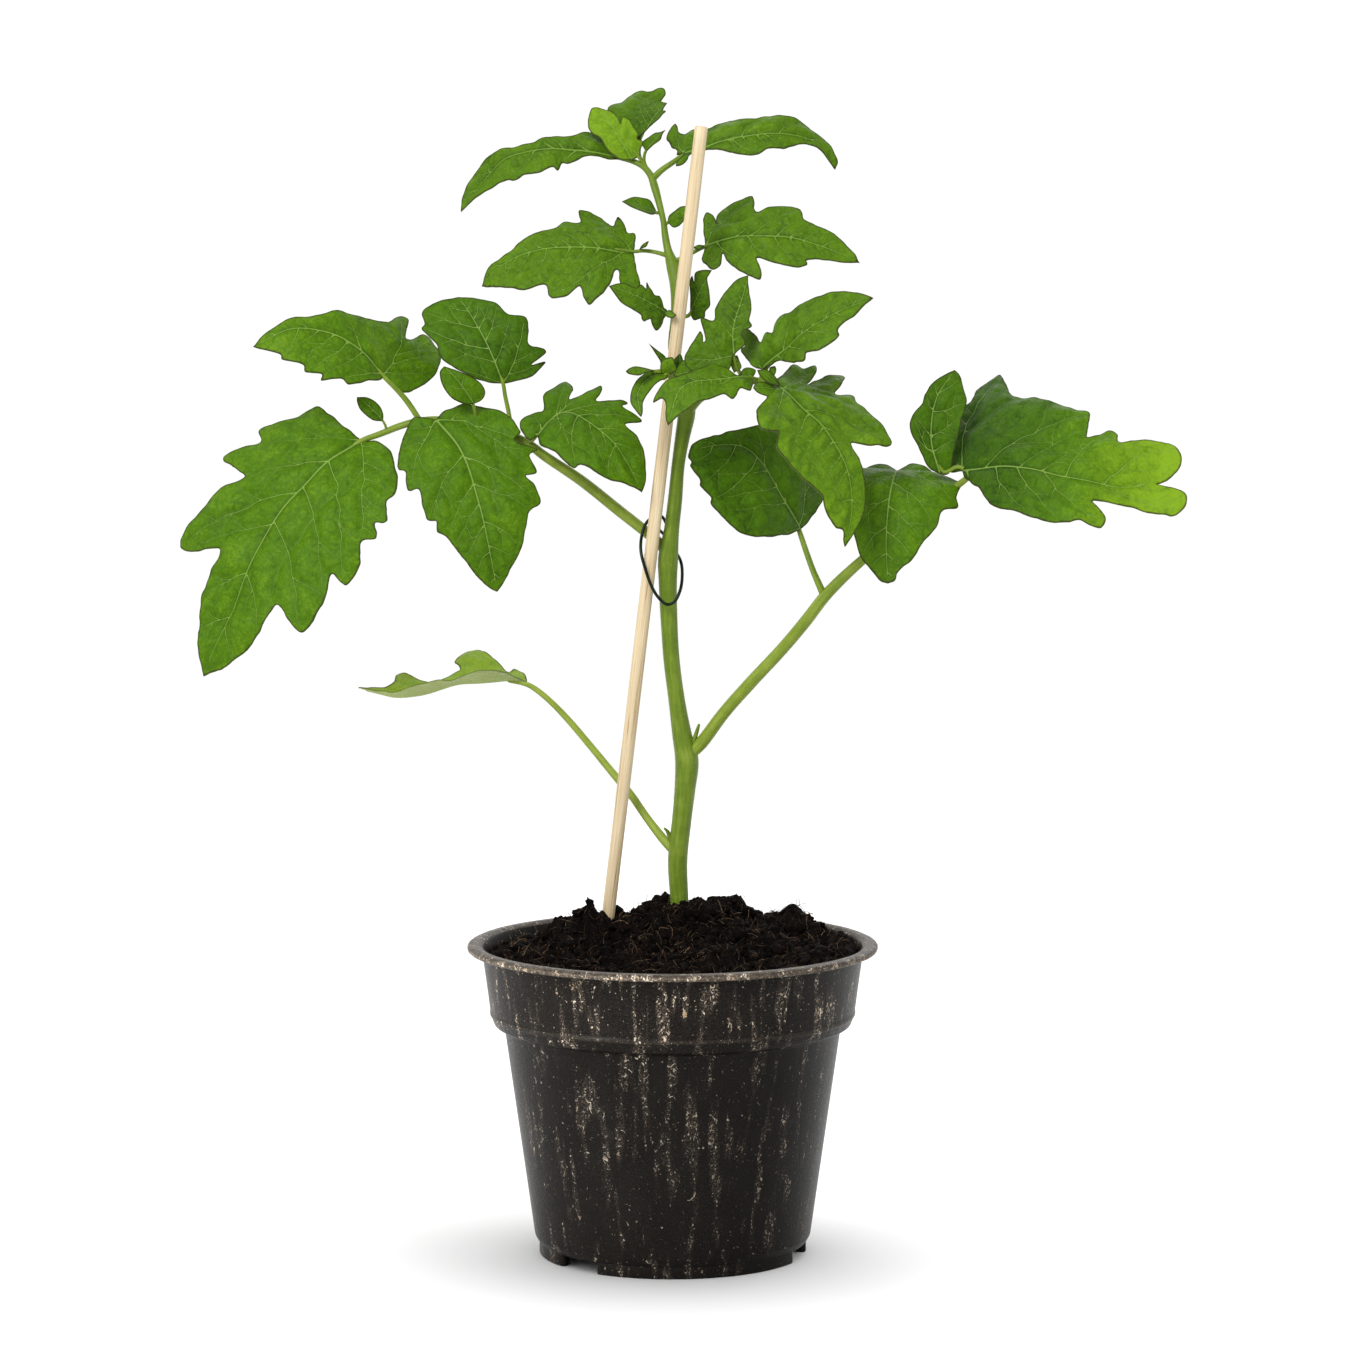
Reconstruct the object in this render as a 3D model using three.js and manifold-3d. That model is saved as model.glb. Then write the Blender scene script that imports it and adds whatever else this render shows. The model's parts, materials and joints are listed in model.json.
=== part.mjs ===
// A tomato plant in its nursery pot, about 37 cm tall: one leafy stem tied to a wooden stake,
// five compound leaves, the soil, and a plain 13 cm pot with feet.
//
// Millimetres. Z is up, the floor is z = 0, and the pot's axis is the Z axis.
// X runs to the right as the plant is seen from its front, which faces -Y.

import * as THREE from 'three';
import { mergeVertices } from 'three/addons/utils/BufferGeometryUtils.js';
import Module from 'manifold-3d';

// Driving dimensions

const CLEARANCE = 0.3; // between neighbouring pieces
const SHORTEST_EDGE = 0.02;

const POT = {
  rimRadius: 65, // a 13 cm nursery pot
  rimTop: 99,
  lipThickness: 1.6,
  mouthRadius: 61.4,
  bandTopRadius: 60.3,
  bandBottomRadius: 57.4,
  bandBottom: 76,
  bodyTopRadius: 53.1,
  bodyTop: 72,
  bodyBottomRadius: 43.7,
  bodyBottom: 6,
  baseRadius: 42.3,
  footHeight: 3.6,
  footWidth: 3.2,
  footSpan: 95, // degrees of the circle under each foot
  firstFootAngle: -75, // degrees from +X to the middle of the front foot
  feet: 3,
  wall: 1.4,
  drainHoles: 6,
  drainRadius: 3.5,
  drainCircle: 30,
  sides: 48,
};

const SOIL = {
  edgeHeight: 94.8, // at the pot's wall
  slope: [0.025, 0.03], // it lies a little higher on the right and at the back
  moundHeight: 13.5, // above the edge, round the stem
  moundSpread: 26,
  lump: 1.1, // height of the crumbs' relief
  rings: 9,
  sides: 40,
};

const STAKE = {
  foot: [-30.1, 21.5, 25], // deep in the soil
  top: [9, 2, 355],
  radius: 2.1,
  sides: 12,
};

const TIE = {
  wireRadius: 0.5,
  sides: 6,
  step: 1.8,
};

const STALK = {
  sides: 6,
  stemSides: 10,
  step: 6.5, // length between the rings of a stalk
};

const BLADE = {
  thickness: 0.8,
  ribSlant: 0.5, // how far a side rib leans forward for each millimetre it runs outwards
  midribSteps: 8,
};

const COLOURS = {
  pot: 0x2b2723,
  soil: 0x241812,
  stake: 0xe0c998,
  tie: 0x16301a,
  stem: 0x6b8c2c,
  lowerLeaf: 0x8aa544,
  leaf: 0x4a7a20,
  youngLeaf: 0x568a24,
};

// Routes. A point is [x, y, z, radius], and the tie's points have no radius.

const STEM_ROUTE = [
  [2.4, 18.3, 72, 2.6], [2.4, 18.2, 95, 2.8], [2, 18, 109.7, 2.9], [1.5, 17.4, 122.6, 3.1],
  [2.8, 16.8, 135.6, 3.1], [3.8, 16.4, 145.3, 3.3], [4.4, 16, 154.9, 3.7], [2.9, 15.6, 163, 3.1],
  [1.2, 15.1, 174.2, 2.6], [-0.4, 14.5, 187, 2.55], [-1.2, 13.9, 199.8, 2.65],
  [-1.6, 13.4, 212.5, 2.9], [-1.5, 13.1, 219.5, 3.15], [-0.4, 12.7, 228.4, 2.4],
  [0.7, 12.3, 237.9, 2.25], [1.7, 11.8, 249, 2.05], [3, 11.4, 257.5, 2.3], [4.4, 10.5, 265.8, 2.7],
  [4.1, 7, 271, 2.15], [1.1, -1, 276.1, 1.6], [-1.4, -7, 279.2, 1.1],
];

const BUD_ROUTES = [
  [[-0.2, 17.5, 128.4, 0.8], [-1.2, 17.5, 130.7, 0.7], [-1.8, 17, 132, 0.55], [-2.6, 16.5, 132.9, 0.35]],
  [[5.8, 15.6, 158.8, 0.9], [6.8, 15, 161.4, 0.75], [7.7, 14.5, 164.4, 0.6], [8.3, 14.3, 166.3, 0.4]],
];

const TIE_ROUTE = [
  [-4.3, 13.3, 228.5], [-2.4, 16.6, 226.2], [0.1, 18, 222.3], [2.5, 16.2, 218.3], [3, 12.5, 213.5],
  [2.2, 9.3, 209.1], [0.4, 8, 206], [-1.8, 7.9, 205.3], [-4.6, 7, 207.7], [-6.8, 6.8, 211.5],
  [-8.7, 7.2, 216.9], [-10, 9, 222.1], [-9.7, 12, 226.9], [-8.3, 13.2, 230.6], [-5.9, 14.2, 232.6],
  [-3.5, 15.2, 232.5], [-1.8, 17, 229.7], [0.4, 17.6, 226.4],
];

// Leaves. A leaf's first stalk is its rachis, and the others carry its leaflets.
// A leaflet runs from its base to its tip, and `face` is the way its upper side looks.
// Its outline is a list of [along, out] in millimetres from the base, on the left and on the
// right as seen from above, with the tip away. A third number sets where that point's side rib
// leaves the midrib, beside a deep slit. `arch` is the rise of the midrib, `wave` its double
// bend, `keel` the slope of the two halves and `cup` how they roll over.

const LEAVES = {
  lowerLeft: {
    stalks: [
      [[1, 17.5, 124.9, 1.6], [-2.8, 19, 128.8, 1.5], [-8, 22, 135.1, 1.3], [-13.4, 25, 142.5, 1.25],
       [-18.5, 27, 148.4, 1.2], [-25.9, 29, 157.2, 1.1], [-32.7, 30, 165.2, 1.05],
       [-38.4, 30, 171.3, 0.95], [-43.4, 30, 175.6, 0.9], [-46.6, 30, 177.5, 0.8],
       [-52.4, 30, 178.6, 0.5]],
    ],
    leaflets: {
      terminal: {
        base: [-46.6, 30, 177.7], tip: [-100.3, 28, 176], face: [0, 0, 1],
        arch: -0.4, keel: 0.5, cup: 0.004, wave: 2.0,
        left: [[2.5, -1.5], [5.5, -4.5], [8.5, -7.5], [12.5, -9.5], [16.5, -10.5], [20.5, -9], [24, -7.5],
          [27.5, -8], [32.5, -8], [38, -6.5], [42, -5], [46, -2.5], [50, -1.5]],
        right: [[0.5, 4], [2.5, 7], [4, 8], [6, 6], [8.5, 9.5], [11.5, 13], [15.5, 17.5], [18, 19],
          [20.5, 17], [23, 13], [21.5, 7], [28, 6], [32.5, 7], [37.5, 10], [40, 11], [42, 10],
          [43, 5.5], [45.5, 3], [49.5, 2]],
      },
    },
  },
  right: {
    stalks: [
      [[4.5, 16, 155.9, 1.9], [8.8, 14.5, 160.2, 2.05], [16.2, 10, 170.6, 1.95], [25, 5, 181.2, 1.95],
       [34.1, 1, 191.5, 1.9], [41.5, -3, 200.8, 1.9], [48.2, -6, 209.8, 1.8], [59, -10, 220.7, 1.55],
       [73.6, -15, 233.1, 1.25], [88.6, -20, 245.1, 1.05], [93.3, -22.5, 248.8, 0.8],
       [97.8, -24, 250.4, 0.5]],
      [[47.3, -5.5, 209.2, 1.2], [44, -4, 216.7, 0.95], [41.9, -1, 222.4, 0.9], [39.9, 2, 228.3, 0.8],
       [37.7, 1.5, 234.9, 0.5]],
      [[72.1, -14.5, 231.5, 0.9], [72.4, -8, 239.4, 0.8], [70.1, -8, 246.9, 0.65],
       [68.8, -11, 245.8, 0.5]],
      [[93.3, -22, 248.4, 0.8], [88.1, -21.5, 250.6, 0.7], [83.8, -21, 249, 0.6],
       [81.3, -20.5, 253.9, 0.45]],
    ],
    leaflets: {
      inner: {
        base: [39.9, 2, 229.2], tip: [5.4, -6, 254.8], face: [0, -0.75, 0.65],
        arch: 6, keel: 0.1, cup: 0.007,
        mid: [[12, 3], [22.5, 7.5], [32, 8.5]],
        left: [[3, -5], [9, -11.5], [15, -16], [20.5, -17.5], [26.5, -16], [31, -14], [31.5, -12.5],
          [36.5, -11], [37.5, -9], [42, -6], [42, -4.5], [43.5, -3]],
        right: [[-1, 3.5], [-2.5, 15], [-2, 24], [5.5, 29], [15, 27], [24, 22], [30.5, 17.5], [36, 12],
          [40, 7.5], [42.5, 5], [44, 2]],
      },
      front: {
        base: [69.8, -9, 248.5], tip: [66.1, -34, 215.6], face: [0, -0.75, 0.65],
        arch: 8, keel: 0.08, cup: 0.006, peak: 0.4,
        mid: [[14.5, 1.5], [29.5, 1.5]],
        left: [[-4, -4.5], [-0.5, -11], [4, -16.5], [6.5, -20], [13, -19], [16, -19.5], [18, -15.5],
          [24, -13.5], [28, -10.5], [34, -7], [38.5, -2.5], [40.5, -2]],
        right: [[-3, 3.5], [-1.5, 9], [7, 12.5], [17.5, 13.5], [27, 12], [35, 9], [38.5, 5], [41, 2]],
      },
      upright: {
        base: [82.6, -21, 248.4], tip: [87.4, -14, 280.4], face: [0.15, -0.85, 0.5],
        arch: 3, keel: 0.12, cup: 0.008,
        mid: [[9.5, -4.5], [22, -5]],
        left: [[1, -3.5], [6, -7.5], [11.5, -11.5], [16, -11.5], [20.5, -9], [23.5, -8.5], [28, -6],
          [31.5, -2]],
        right: [[0.5, 2.5], [7.5, 3], [15.5, 3.5], [23, 4.5], [27.5, 3], [31.5, 1.5]],
      },
      terminal: {
        base: [89.2, -23, 249.7], tip: [147.8, -40, 247], face: [0, -0.72, 0.7],
        arch: 8, keel: 0.1, cup: 0.005,
        mid: [[13, 2.5], [33, 7], [49.5, 6.5]],
        left: [[-4, -0.5], [-5.5, -13], [-7, -24.5], [-5.5, -28.5], [-3.5, -30], [-3, -37], [2.5, -44],
          [6, -38], [11.5, -29], [20, -26.5], [27.5, -24], [32.5, -21.5], [37, -20.5], [38.5, -9.5],
          [42, -11.5], [44.5, -14.5], [47, -13.5], [48, -10], [55, -14], [63, -15.5], [67, -10.5],
          [66, -4]],
        right: [[2.5, 4.5], [8, 11], [14, 18.5], [20, 21.5], [26.5, 24], [36.5, 25], [42.5, 23.5],
          [45.5, 24.5], [48.5, 24.5], [49.5, 20, 36], [44.5, 15, 37], [49, 14, 38], [55.5, 14],
          [64.5, 13.5], [69.5, 13], [71.5, 6], [67, 2.5]],
      },
    },
  },
  left: {
    stalks: [
      [[-1.5, 13.3, 221.4, 1.8], [-7.2, 15.5, 226.5, 1.75], [-16.6, 16.5, 233.9, 1.75],
       [-28.8, 17, 243.6, 1.7], [-40.5, 17, 251.5, 1.55], [-46.6, 17.5, 255.9, 1.4],
       [-57.7, 18.5, 260.3, 1.2], [-73.6, 20, 262.9, 1], [-80.6, 21, 262.3, 1.05],
       [-86.3, 21.5, 260.7, 1.1], [-92.6, 22, 258.2, 1], [-98.7, 22, 255.9, 0.85],
       [-104.4, 21.5, 252.2, 0.5]],
      [[-79.9, 21, 262.3, 0.9], [-84.3, 21, 268.9, 0.9], [-87.8, 21, 272.8, 0.75],
       [-91.6, 21, 276.6, 0.65], [-95.6, 20.7, 281.6, 0.45]],
      [[-51.1, 18, 258.4, 0.8], [-51.7, 18.5, 264.4, 0.7], [-53, 19, 270.7, 0.65],
       [-53.6, 19, 274.5, 0.6], [-55.8, 19.7, 279.8, 0.45]],
      [[-61.5, 18.7, 260.9, 0.6], [-62.3, 15, 265.5, 0.55], [-63.2, 14, 269.4, 0.45]],
      [[-73.6, 20, 262.9, 0.8], [-74.4, 18.4, 262.5, 0.7], [-70.3, 16.5, 257.5, 0.45]],
      [[-45.7, 17.5, 255.6, 0.8], [-43.7, 13, 257.4, 0.7], [-41.7, 11, 261.6, 0.55],
       [-38.5, 9.5, 265.5, 0.45]],
      [[-90.5, 21.8, 258.8, 0.45], [-91, 21, 261.1, 0.4], [-92.6, 21, 263.6, 0.35]],
    ],
    leaflets: {
      terminal: {
        base: [-98.7, 22, 256.3], tip: [-148.2, 10, 182.4], face: [-0.35, -0.85, 0.4],
        arch: 9, keel: 0.12, cup: 0.006,
        mid: [[14, 3], [38.5, 4], [68.5, 0.5]],
        left: [[-2.5, -5.5], [-1.5, -12], [5.5, -21], [9.5, -23], [12, -22.5], [17.5, -27], [19, -26.5],
          [20, -24], [24, -28], [27, -25], [33.5, -28.5], [41.5, -28.5], [41, -23], [49, -26],
          [61.5, -25.5], [60.5, -20], [58.5, -13], [69, -13], [81.5, -8]],
        right: [[-1.5, 14], [-1.5, 20.5], [6.5, 25], [12, 30], [15, 32], [17.5, 28], [21.5, 31.5],
          [28.5, 35.5], [29.5, 28], [30, 23], [37.5, 28], [47.5, 30], [59.5, 30.5], [58.5, 23.5],
          [53.5, 15], [61, 14], [69, 12.5], [78.5, 8.5], [86.5, 3]],
      },
      upperOuter: {
        base: [-91.6, 21, 276.6], tip: [-131.8, 12, 286.3], face: [-0.1, -0.8, 0.6],
        arch: 6, keel: 0.1, cup: 0.008,
        mid: [[8.5, 4.5], [19.5, 7.5], [32, 6]],
        left: [[0.5, -1.5], [4.5, -4.5], [12, -9], [13.5, -8], [20.5, -10], [20.5, -8], [26, -8.5],
          [26.5, -6.5], [33.5, -5], [34, -3.5], [39, -1.5]],
        right: [[-7, -3], [-14, 2.5], [-18, 8.5], [-19, 17], [-17.5, 19.5], [-13, 23], [-8, 17.5],
          [-6.5, 17], [-7, 26.5], [-5, 27], [0.5, 21], [6, 18.5], [14, 16.5], [17, 16.5], [24, 13],
          [32.5, 10], [39.5, 4.5]],
      },
      upperInner: {
        base: [-53.6, 19, 274.5], tip: [-68, 28, 301.3], face: [-0.1, -0.8, 0.6],
        arch: 4, keel: 0.12, cup: 0.006,
        mid: [[10.5, 0.5], [23, 0.5]],
        left: [[1, -3], [4.5, -7.5], [10, -12], [15, -14.5], [19.5, -14], [26.5, -15.5], [27.5, -14],
          [32, -12.5], [33, -6]],
        right: [[-0.5, 1.5], [-1.5, 5], [-2, 10], [0, 15], [1, 10.5], [2.5, 16.5], [3.5, 16.5], [7, 12.5],
          [11, 14.5], [15, 15.5], [18.5, 11], [23, 9.5], [27.5, 5.5]],
      },
      smallUpper: {
        base: [-62.6, 14, 268.1], tip: [-71.9, 14, 280], face: [0.1, -0.8, 0.5],
        arch: 1.5, keel: 0.2, cup: 0.01,
        left: [[1.5, -2.5], [6, -5.5], [11, -5], [14.5, -2.5]],
        right: [[-0.5, 3], [0.5, 5], [4, 5.5], [9.5, 3]],
      },
      hanging: {
        base: [-74.7, 18, 262.8], tip: [-55.1, 4, 209.7], face: [0.05, -0.9, 0.35],
        arch: 7, keel: 0.12, cup: 0.006,
        mid: [[12.5, -3.5], [32.5, -3], [46, -1.5]],
        left: [[-1.5, -2.5], [-2, -4], [-2, -10], [0.5, -14.5], [5.5, -21.5], [11.5, -23], [13.5, -23.5],
          [15, -20.5], [20.5, -26.5], [21.5, -23.5], [27.5, -23.5], [27.5, -20], [31, -21.5],
          [37, -21.5], [38.5, -17.5], [44, -14], [48.5, -11.5], [52, -7.5], [56.5, -3]],
        right: [[-2, 3.5], [-3, 6.5], [0, 10], [6, 14.5], [12.5, 17], [13.5, 15.5], [20, 16.5], [21, 13.5],
          [26.5, 14], [31, 14], [32.5, 11.5], [35.5, 12.5], [37.5, 10.5], [44, 8], [51.5, 5],
          [56.5, 2]],
      },
      lowerInner: {
        base: [-42.7, 11, 258.2], tip: [-9.6, 2, 240.7], face: [0.1, -0.75, 0.65],
        arch: 5, keel: 0.12, cup: 0.006,
        mid: [[2, -11], [11.5, -11.5], [26, -6.5]],
        left: [[-1, 2.5], [-7.5, -2.5], [-5.5, -8], [-3.5, -9.5], [-6.5, -15.5], [-5.5, -21], [-4, -25.5],
          [0, -22.5], [1.5, -17.5], [5.5, -23], [7.5, -26.5], [9, -24], [9.5, -20], [16.5, -24],
          [18.5, -24], [17.5, -22], [25.5, -21], [22, -16.5], [27.5, -15], [32.5, -11], [37, -4.5]],
        right: [[3.5, 3.5], [7, 4], [11, 5.5], [17.5, 7.5], [18.5, 5.5], [24.5, 5], [28, 4.5], [34, 1.5]],
      },
      smallOuter: {
        base: [-91.7, 21, 262.3], tip: [-99.8, 21, 269.9], face: [0, -0.8, 0.6],
        arch: 0.8, keel: 0.2, cup: 0.01,
        left: [[2.5, -2.5], [7.5, -3], [10, -1.5]],
        right: [[1.5, 1.5], [4, 2.5], [8.5, 2]],
      },
    },
  },
  centre: {
    stalks: [
      [[4.4, 10.5, 265.8, 1.8], [8.6, 5, 270.5, 1.5], [15.4, -4, 274, 1.3], [21.5, -12, 276.3, 1.2],
       [26.1, -17, 276.9, 1.1], [29.5, -20, 276.7, 1], [33.4, -22, 274.6, 0.8], [38.3, -25, 270.5, 0.5]],
      [[27.3, -18, 276.9, 0.8], [27.9, -18, 279.4, 0.7], [29.5, -18.5, 281.5, 0.6],
       [33.1, -19.5, 285.9, 0.45]],
      [[22.5, -13, 276.3, 0.7], [20.3, -15, 280.2, 0.6], [19, -16, 284.2, 0.5], [18.7, -15, 288.8, 0.4]],
      [[26.4, -17, 276.9, 0.7], [24.5, -20, 277.9, 0.65], [20.2, -22, 278.3, 0.5],
       [15.9, -24, 277.8, 0.4]],
    ],
    leaflets: {
      turnedBack: {
        base: [24.5, -20, 277.9], tip: [-1.3, -34, 264.2], face: [-0.1, -0.75, 0.6],
        arch: 4, keel: 0.12, cup: 0.008,
        mid: [[12.5, 4], [22, 7]],
        left: [[2, -3], [5, -5.5], [7, -3.5], [10.5, -5.5], [12.5, -6], [13.5, -3], [18.5, -2.5], [21, -1],
          [24.5, -0.5], [29, 0]],
        right: [[-3.5, 2.5], [-0.5, 4.5], [4, 2], [5.5, 6.5], [8.5, 9.5], [13, 9.5], [19.5, 11],
          [23.5, 12.5], [27.5, 11.5], [31, 9.5], [28.5, 8.5], [28.5, 6.5], [31.5, 2.5]],
      },
      upright: {
        base: [19, -16, 284.5], tip: [23.6, -8, 309.2], face: [0, -0.8, 0.5],
        arch: 3, keel: 0.15, cup: 0.008,
        mid: [[7.5, -1.5], [17.5, -0.5]],
        left: [[-1.5, -2], [-1.5, -7], [-3, -13.5], [-0.5, -14.5], [2.5, -12.5], [5, -11.5, 4],
          [4, -10.5, 4.5], [7.5, -11], [10, -12.5], [9.5, -8], [13, -8], [16.5, -7], [21, -5],
          [24.5, -2.5]],
        right: [[1.5, 1], [4, 3], [7, 1.5], [9.5, 4], [11, 3], [15, 3], [18.5, 2], [23, 0.5]],
      },
      outer: {
        base: [28.2, -18, 280.3], tip: [61.2, -34, 303], face: [0, -0.75, 0.7],
        arch: 6, keel: 0.1, cup: 0.007,
        mid: [[12, 1.5], [26.5, 1.5]],
        left: [[-2.5, -2.5], [-5, -7.5], [-7.5, -14.5], [-5.5, -14.5], [-6.5, -20], [-6.5, -22.5],
          [-2, -18.5], [2.5, -9], [5.5, -9.5], [8.5, -7], [10.5, -9.5], [14.5, -10], [17.5, -8.5],
          [21.5, -9], [28.5, -8], [35, -6], [40, -3]],
        right: [[3.5, 2], [8, 4], [14.5, 10], [18.5, 12], [19.5, 10], [24, 12], [28, 11], [31.5, 10],
          [31.5, 7.5], [36.5, 5], [40, 2]],
      },
      terminal: {
        base: [30.7, -20, 276.1], tip: [52, -52, 227.8], face: [0.35, -0.8, 0.5],
        arch: 9, keel: 0.08, cup: 0.006,
        mid: [[12.5, -2.5], [32, -7], [50.5, -5.5]],
        left: [[-3.5, -5.5], [-7.5, -12], [-5.5, -14], [-6, -18.5], [-2.5, -17], [2, -11.5, 6],
          [-0.5, -19, 8], [-0.5, -26, 9], [4.5, -22, 10], [9, -17.5, 13], [10.5, -23, 15], [14, -22],
          [18.5, -23.5], [28, -25], [33, -25], [32.5, -17.5, 30], [30, -12.5, 31.5], [37, -12.5],
          [46.5, -11.5], [53.5, -8.5], [59, -3.5]],
        right: [[6.5, 5.5], [12.5, 12.5], [19.5, 14.5], [21.5, 12], [22, 9.5], [28, 12.5], [35.5, 11],
          [40.5, 8.5], [44.5, 5.5], [47.5, 4], [52.5, 3.5], [56, 1.5], [57, -0.5], [60, 0]],
      },
      smallUpper: {
        base: [32.8, -24, 275.4], tip: [26, -26, 280.7], face: [0.2, -0.8, 0.4],
        arch: 0.8, keel: 0.2,
        left: [[4, -2], [7.5, -1.5]],
        right: [[1.5, 1], [6.5, 1.5]],
      },
      smallLower: {
        base: [31.8, -25, 274.5], tip: [24.7, -27, 275.2], face: [0.1, -0.8, 0.4],
        arch: 0.8, keel: 0.2,
        left: [[2.5, -3], [6, -2]],
        right: [[2, 1.5], [6.5, 1.5]],
      },
      smallTop: {
        base: [19, -15, 279.2], tip: [20.1, -14, 284.7], face: [0, -0.9, 0.3],
        arch: 0.5, keel: 0.2,
        left: [[2.5, -1.5], [5, -1]],
        right: [[2, 2], [4, 1]],
      },
      smallRight: {
        base: [29.1, -20, 277.9], tip: [31.6, -21, 281.7], face: [0.1, -0.9, 0.3],
        arch: 0.4, keel: 0.2,
        left: [[2, -0.5], [3.5, -1]],
        right: [[2, 1.5], [4, 1]],
      },
    },
  },
  top: {
    stalks: [
      [[4.4, 10.5, 265.8, 2.2], [2.9, 13.5, 273.2, 1.9], [1.1, 14.5, 279.4, 1.8],
       [0.3, 14.5, 286.6, 1.8], [1.2, 15, 295.1, 1.9], [1.7, 16.5, 300.7, 2.3], [1.5, 18, 306, 2.5],
       [0, 20, 311.6, 2.1], [-1.5, 22, 316.2, 1.3], [-2.4, 23.5, 320.9, 1.1], [-2.9, 25.5, 325, 0.95],
       [-4.3, 28.5, 330.9, 1.05], [-5.8, 31, 336.2, 1.25], [-6.9, 32.5, 339.4, 1.1],
       [-9.1, 34.5, 342.2, 1], [-12.3, 36, 343.9, 0.9], [-17.4, 36.5, 345.3, 0.75],
       [-23.1, 37.5, 346.9, 0.6], [-29.5, 38.5, 347.7, 0.45]],
      [[-6.2, 32.3, 338.7, 1.1], [-3.4, 32, 341.3, 0.95], [-0.2, 31.3, 343.5, 0.85],
       [3.6, 30, 346, 0.75], [8.6, 29.5, 347.7, 0.6], [13.7, 29, 349, 0.45]],
      [[-8.5, 34, 341.6, 0.7], [-9.7, 34.5, 344.1, 0.6], [-11.3, 34.3, 346, 0.55],
       [-13.2, 35.5, 349.1, 0.4]],
      [[-9.8, 35, 343.8, 0.6], [-10.7, 37, 346.3, 0.55], [-10.1, 40, 350.1, 0.4]],
      [[-7.8, 33.5, 340.6, 0.6], [-9.1, 33.7, 344.4, 0.5], [-8.5, 33, 347.3, 0.45],
       [-6.9, 32.3, 348.8, 0.35]],
      [[-1.2, 21, 314.4, 0.8], [-5.6, 22.5, 315.6, 0.65], [-9.4, 23.5, 316, 0.6],
       [-12.5, 24, 315.7, 0.55], [-18.2, 24, 316.5, 0.4]],
      [[-0.2, 20.3, 312.5, 0.9], [3.3, 20, 313.8, 0.75], [6.7, 20, 315.7, 0.65], [10.5, 20, 317.5, 0.6],
       [15.5, 19, 319.1, 0.4]],
      [[1.4, 15.2, 295.7, 0.8], [-1.5, 13.5, 296.1, 0.6], [-5.5, 12, 299, 0.4]],
      [[1.4, 15.2, 295.7, 0.8], [4.8, 13.3, 295.8, 0.6], [7.3, 11.5, 299.9, 0.4]],
      [[-3.7, 27, 327.8, 0.6], [-5.3, 28.7, 327.9, 0.5], [-8.4, 28.6, 329.2, 0.35]],
      [[-2.7, 25.2, 324, 0.6], [-1.5, 25, 324.8, 0.5], [0.1, 24, 326.3, 0.35]],
    ],
    leaflets: {
      lowerLeft: {
        base: [-12.5, 24, 315.6], tip: [-60.6, 24, 305], face: [0, -0.75, 0.65],
        arch: 5, keel: 0.1, cup: 0.006,
        mid: [[10, 1.5], [22, 3.5], [36.5, 5.5]],
        left: [[0, -7], [0, -13.5], [3, -17], [5.5, -14.5], [6, -7.5, 2.5], [10, -14.5], [13, -17],
          [17, -19.5], [18, -16.5], [18.5, -12.5], [22.5, -15], [27.5, -15.5], [28.5, -14], [29, -10],
          [35.5, -9], [43.5, -4.5]],
        right: [[-1, 3.5], [-1.5, 7], [0.5, 8], [1, 12], [2.5, 15], [4.5, 11], [8, 15], [11.5, 17.5],
          [14, 18], [14.5, 13], [19.5, 14], [22, 12.5], [25, 12.5], [31, 11], [38, 8.5], [45.5, 5]],
      },
      smallLowerLeft: {
        base: [-10.3, 23, 316.2], tip: [-7.5, 20, 319], face: [0, -0.7, 0.7],
        arch: 0.3,
        left: [[1.5, -0.5]],
        right: [[4, 1.5]],
      },
      lowerRight: {
        base: [10.5, 20, 317.5], tip: [58.6, 6, 312.3], face: [0, -0.75, 0.65],
        arch: 6, keel: 0.1, cup: 0.006,
        mid: [[11.5, -1.5], [26, -2.5], [40.5, -1.5]],
        left: [[-2.5, -6], [-4, -11.5], [-4, -14.5], [-1, -12.5], [1.5, -8, 4], [0.5, -12.5], [4, -16.5],
          [7.5, -18], [10.5, -19.5], [14, -12.5], [18.5, -13.5], [27, -14], [29, -12.5], [30.5, -10],
          [37.5, -8], [43.5, -6], [47.5, -3]],
        right: [[0, 5], [3.5, 9.5], [6, 11.5], [8, 10], [7, 4.5, 4.5], [11, 10], [17.5, 14], [22.5, 15],
          [22, 12], [19.5, 7.5], [26, 9], [33.5, 9], [35.5, 7], [35, 5.5], [42, 3.5], [47.5, 1.5]],
      },
      smallLowerRight: {
        base: [10.2, 20, 317.5], tip: [6.4, 18, 317.1], face: [0, -0.7, 0.7],
        arch: 0.3,
        left: [[3, -1.5]],
        right: [[2, 0.5]],
      },
      baseLeft: {
        base: [-1.5, 13, 296.4], tip: [-19.9, 8, 305.3], face: [0.1, -0.8, 0.5],
        arch: 2, keel: 0.15, cup: 0.01,
        left: [[0.5, -3.5], [2.5, -7.5], [5.5, -6], [8, -7], [13, -5.5], [17.5, -3]],
        right: [[1, 1.5], [4.5, 2.5], [8, 3.5], [10.5, 5], [11.5, 3], [16.5, 2.5]],
      },
      baseRight: {
        base: [5.5, 13, 296.4], tip: [12.3, 8, 310.3], face: [0, -0.8, 0.4],
        arch: 1.5, keel: 0.15, cup: 0.01,
        left: [[2, -2], [7.5, -3], [12, -4.5], [14, -3.5]],
        right: [[0.5, 3.5], [4.5, 4], [8, 4], [12, 2]],
      },
      smallLeft: {
        base: [-5, 29, 327.7], tip: [-16, 27, 331.4], face: [0, -0.6, 0.8],
        arch: 0.8, keel: 0.2,
        left: [[2, -3], [6, -3.5], [9, -2.5]],
        right: [[3, 3], [5.5, 3], [8.5, 2.5]],
      },
      smallRight: {
        base: [-1.5, 25, 325], tip: [4.8, 20, 330.1], face: [0, -0.8, 0.5],
        arch: 0.8, keel: 0.2,
        left: [[1.5, -1], [4.5, -1], [7.5, -1]],
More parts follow.
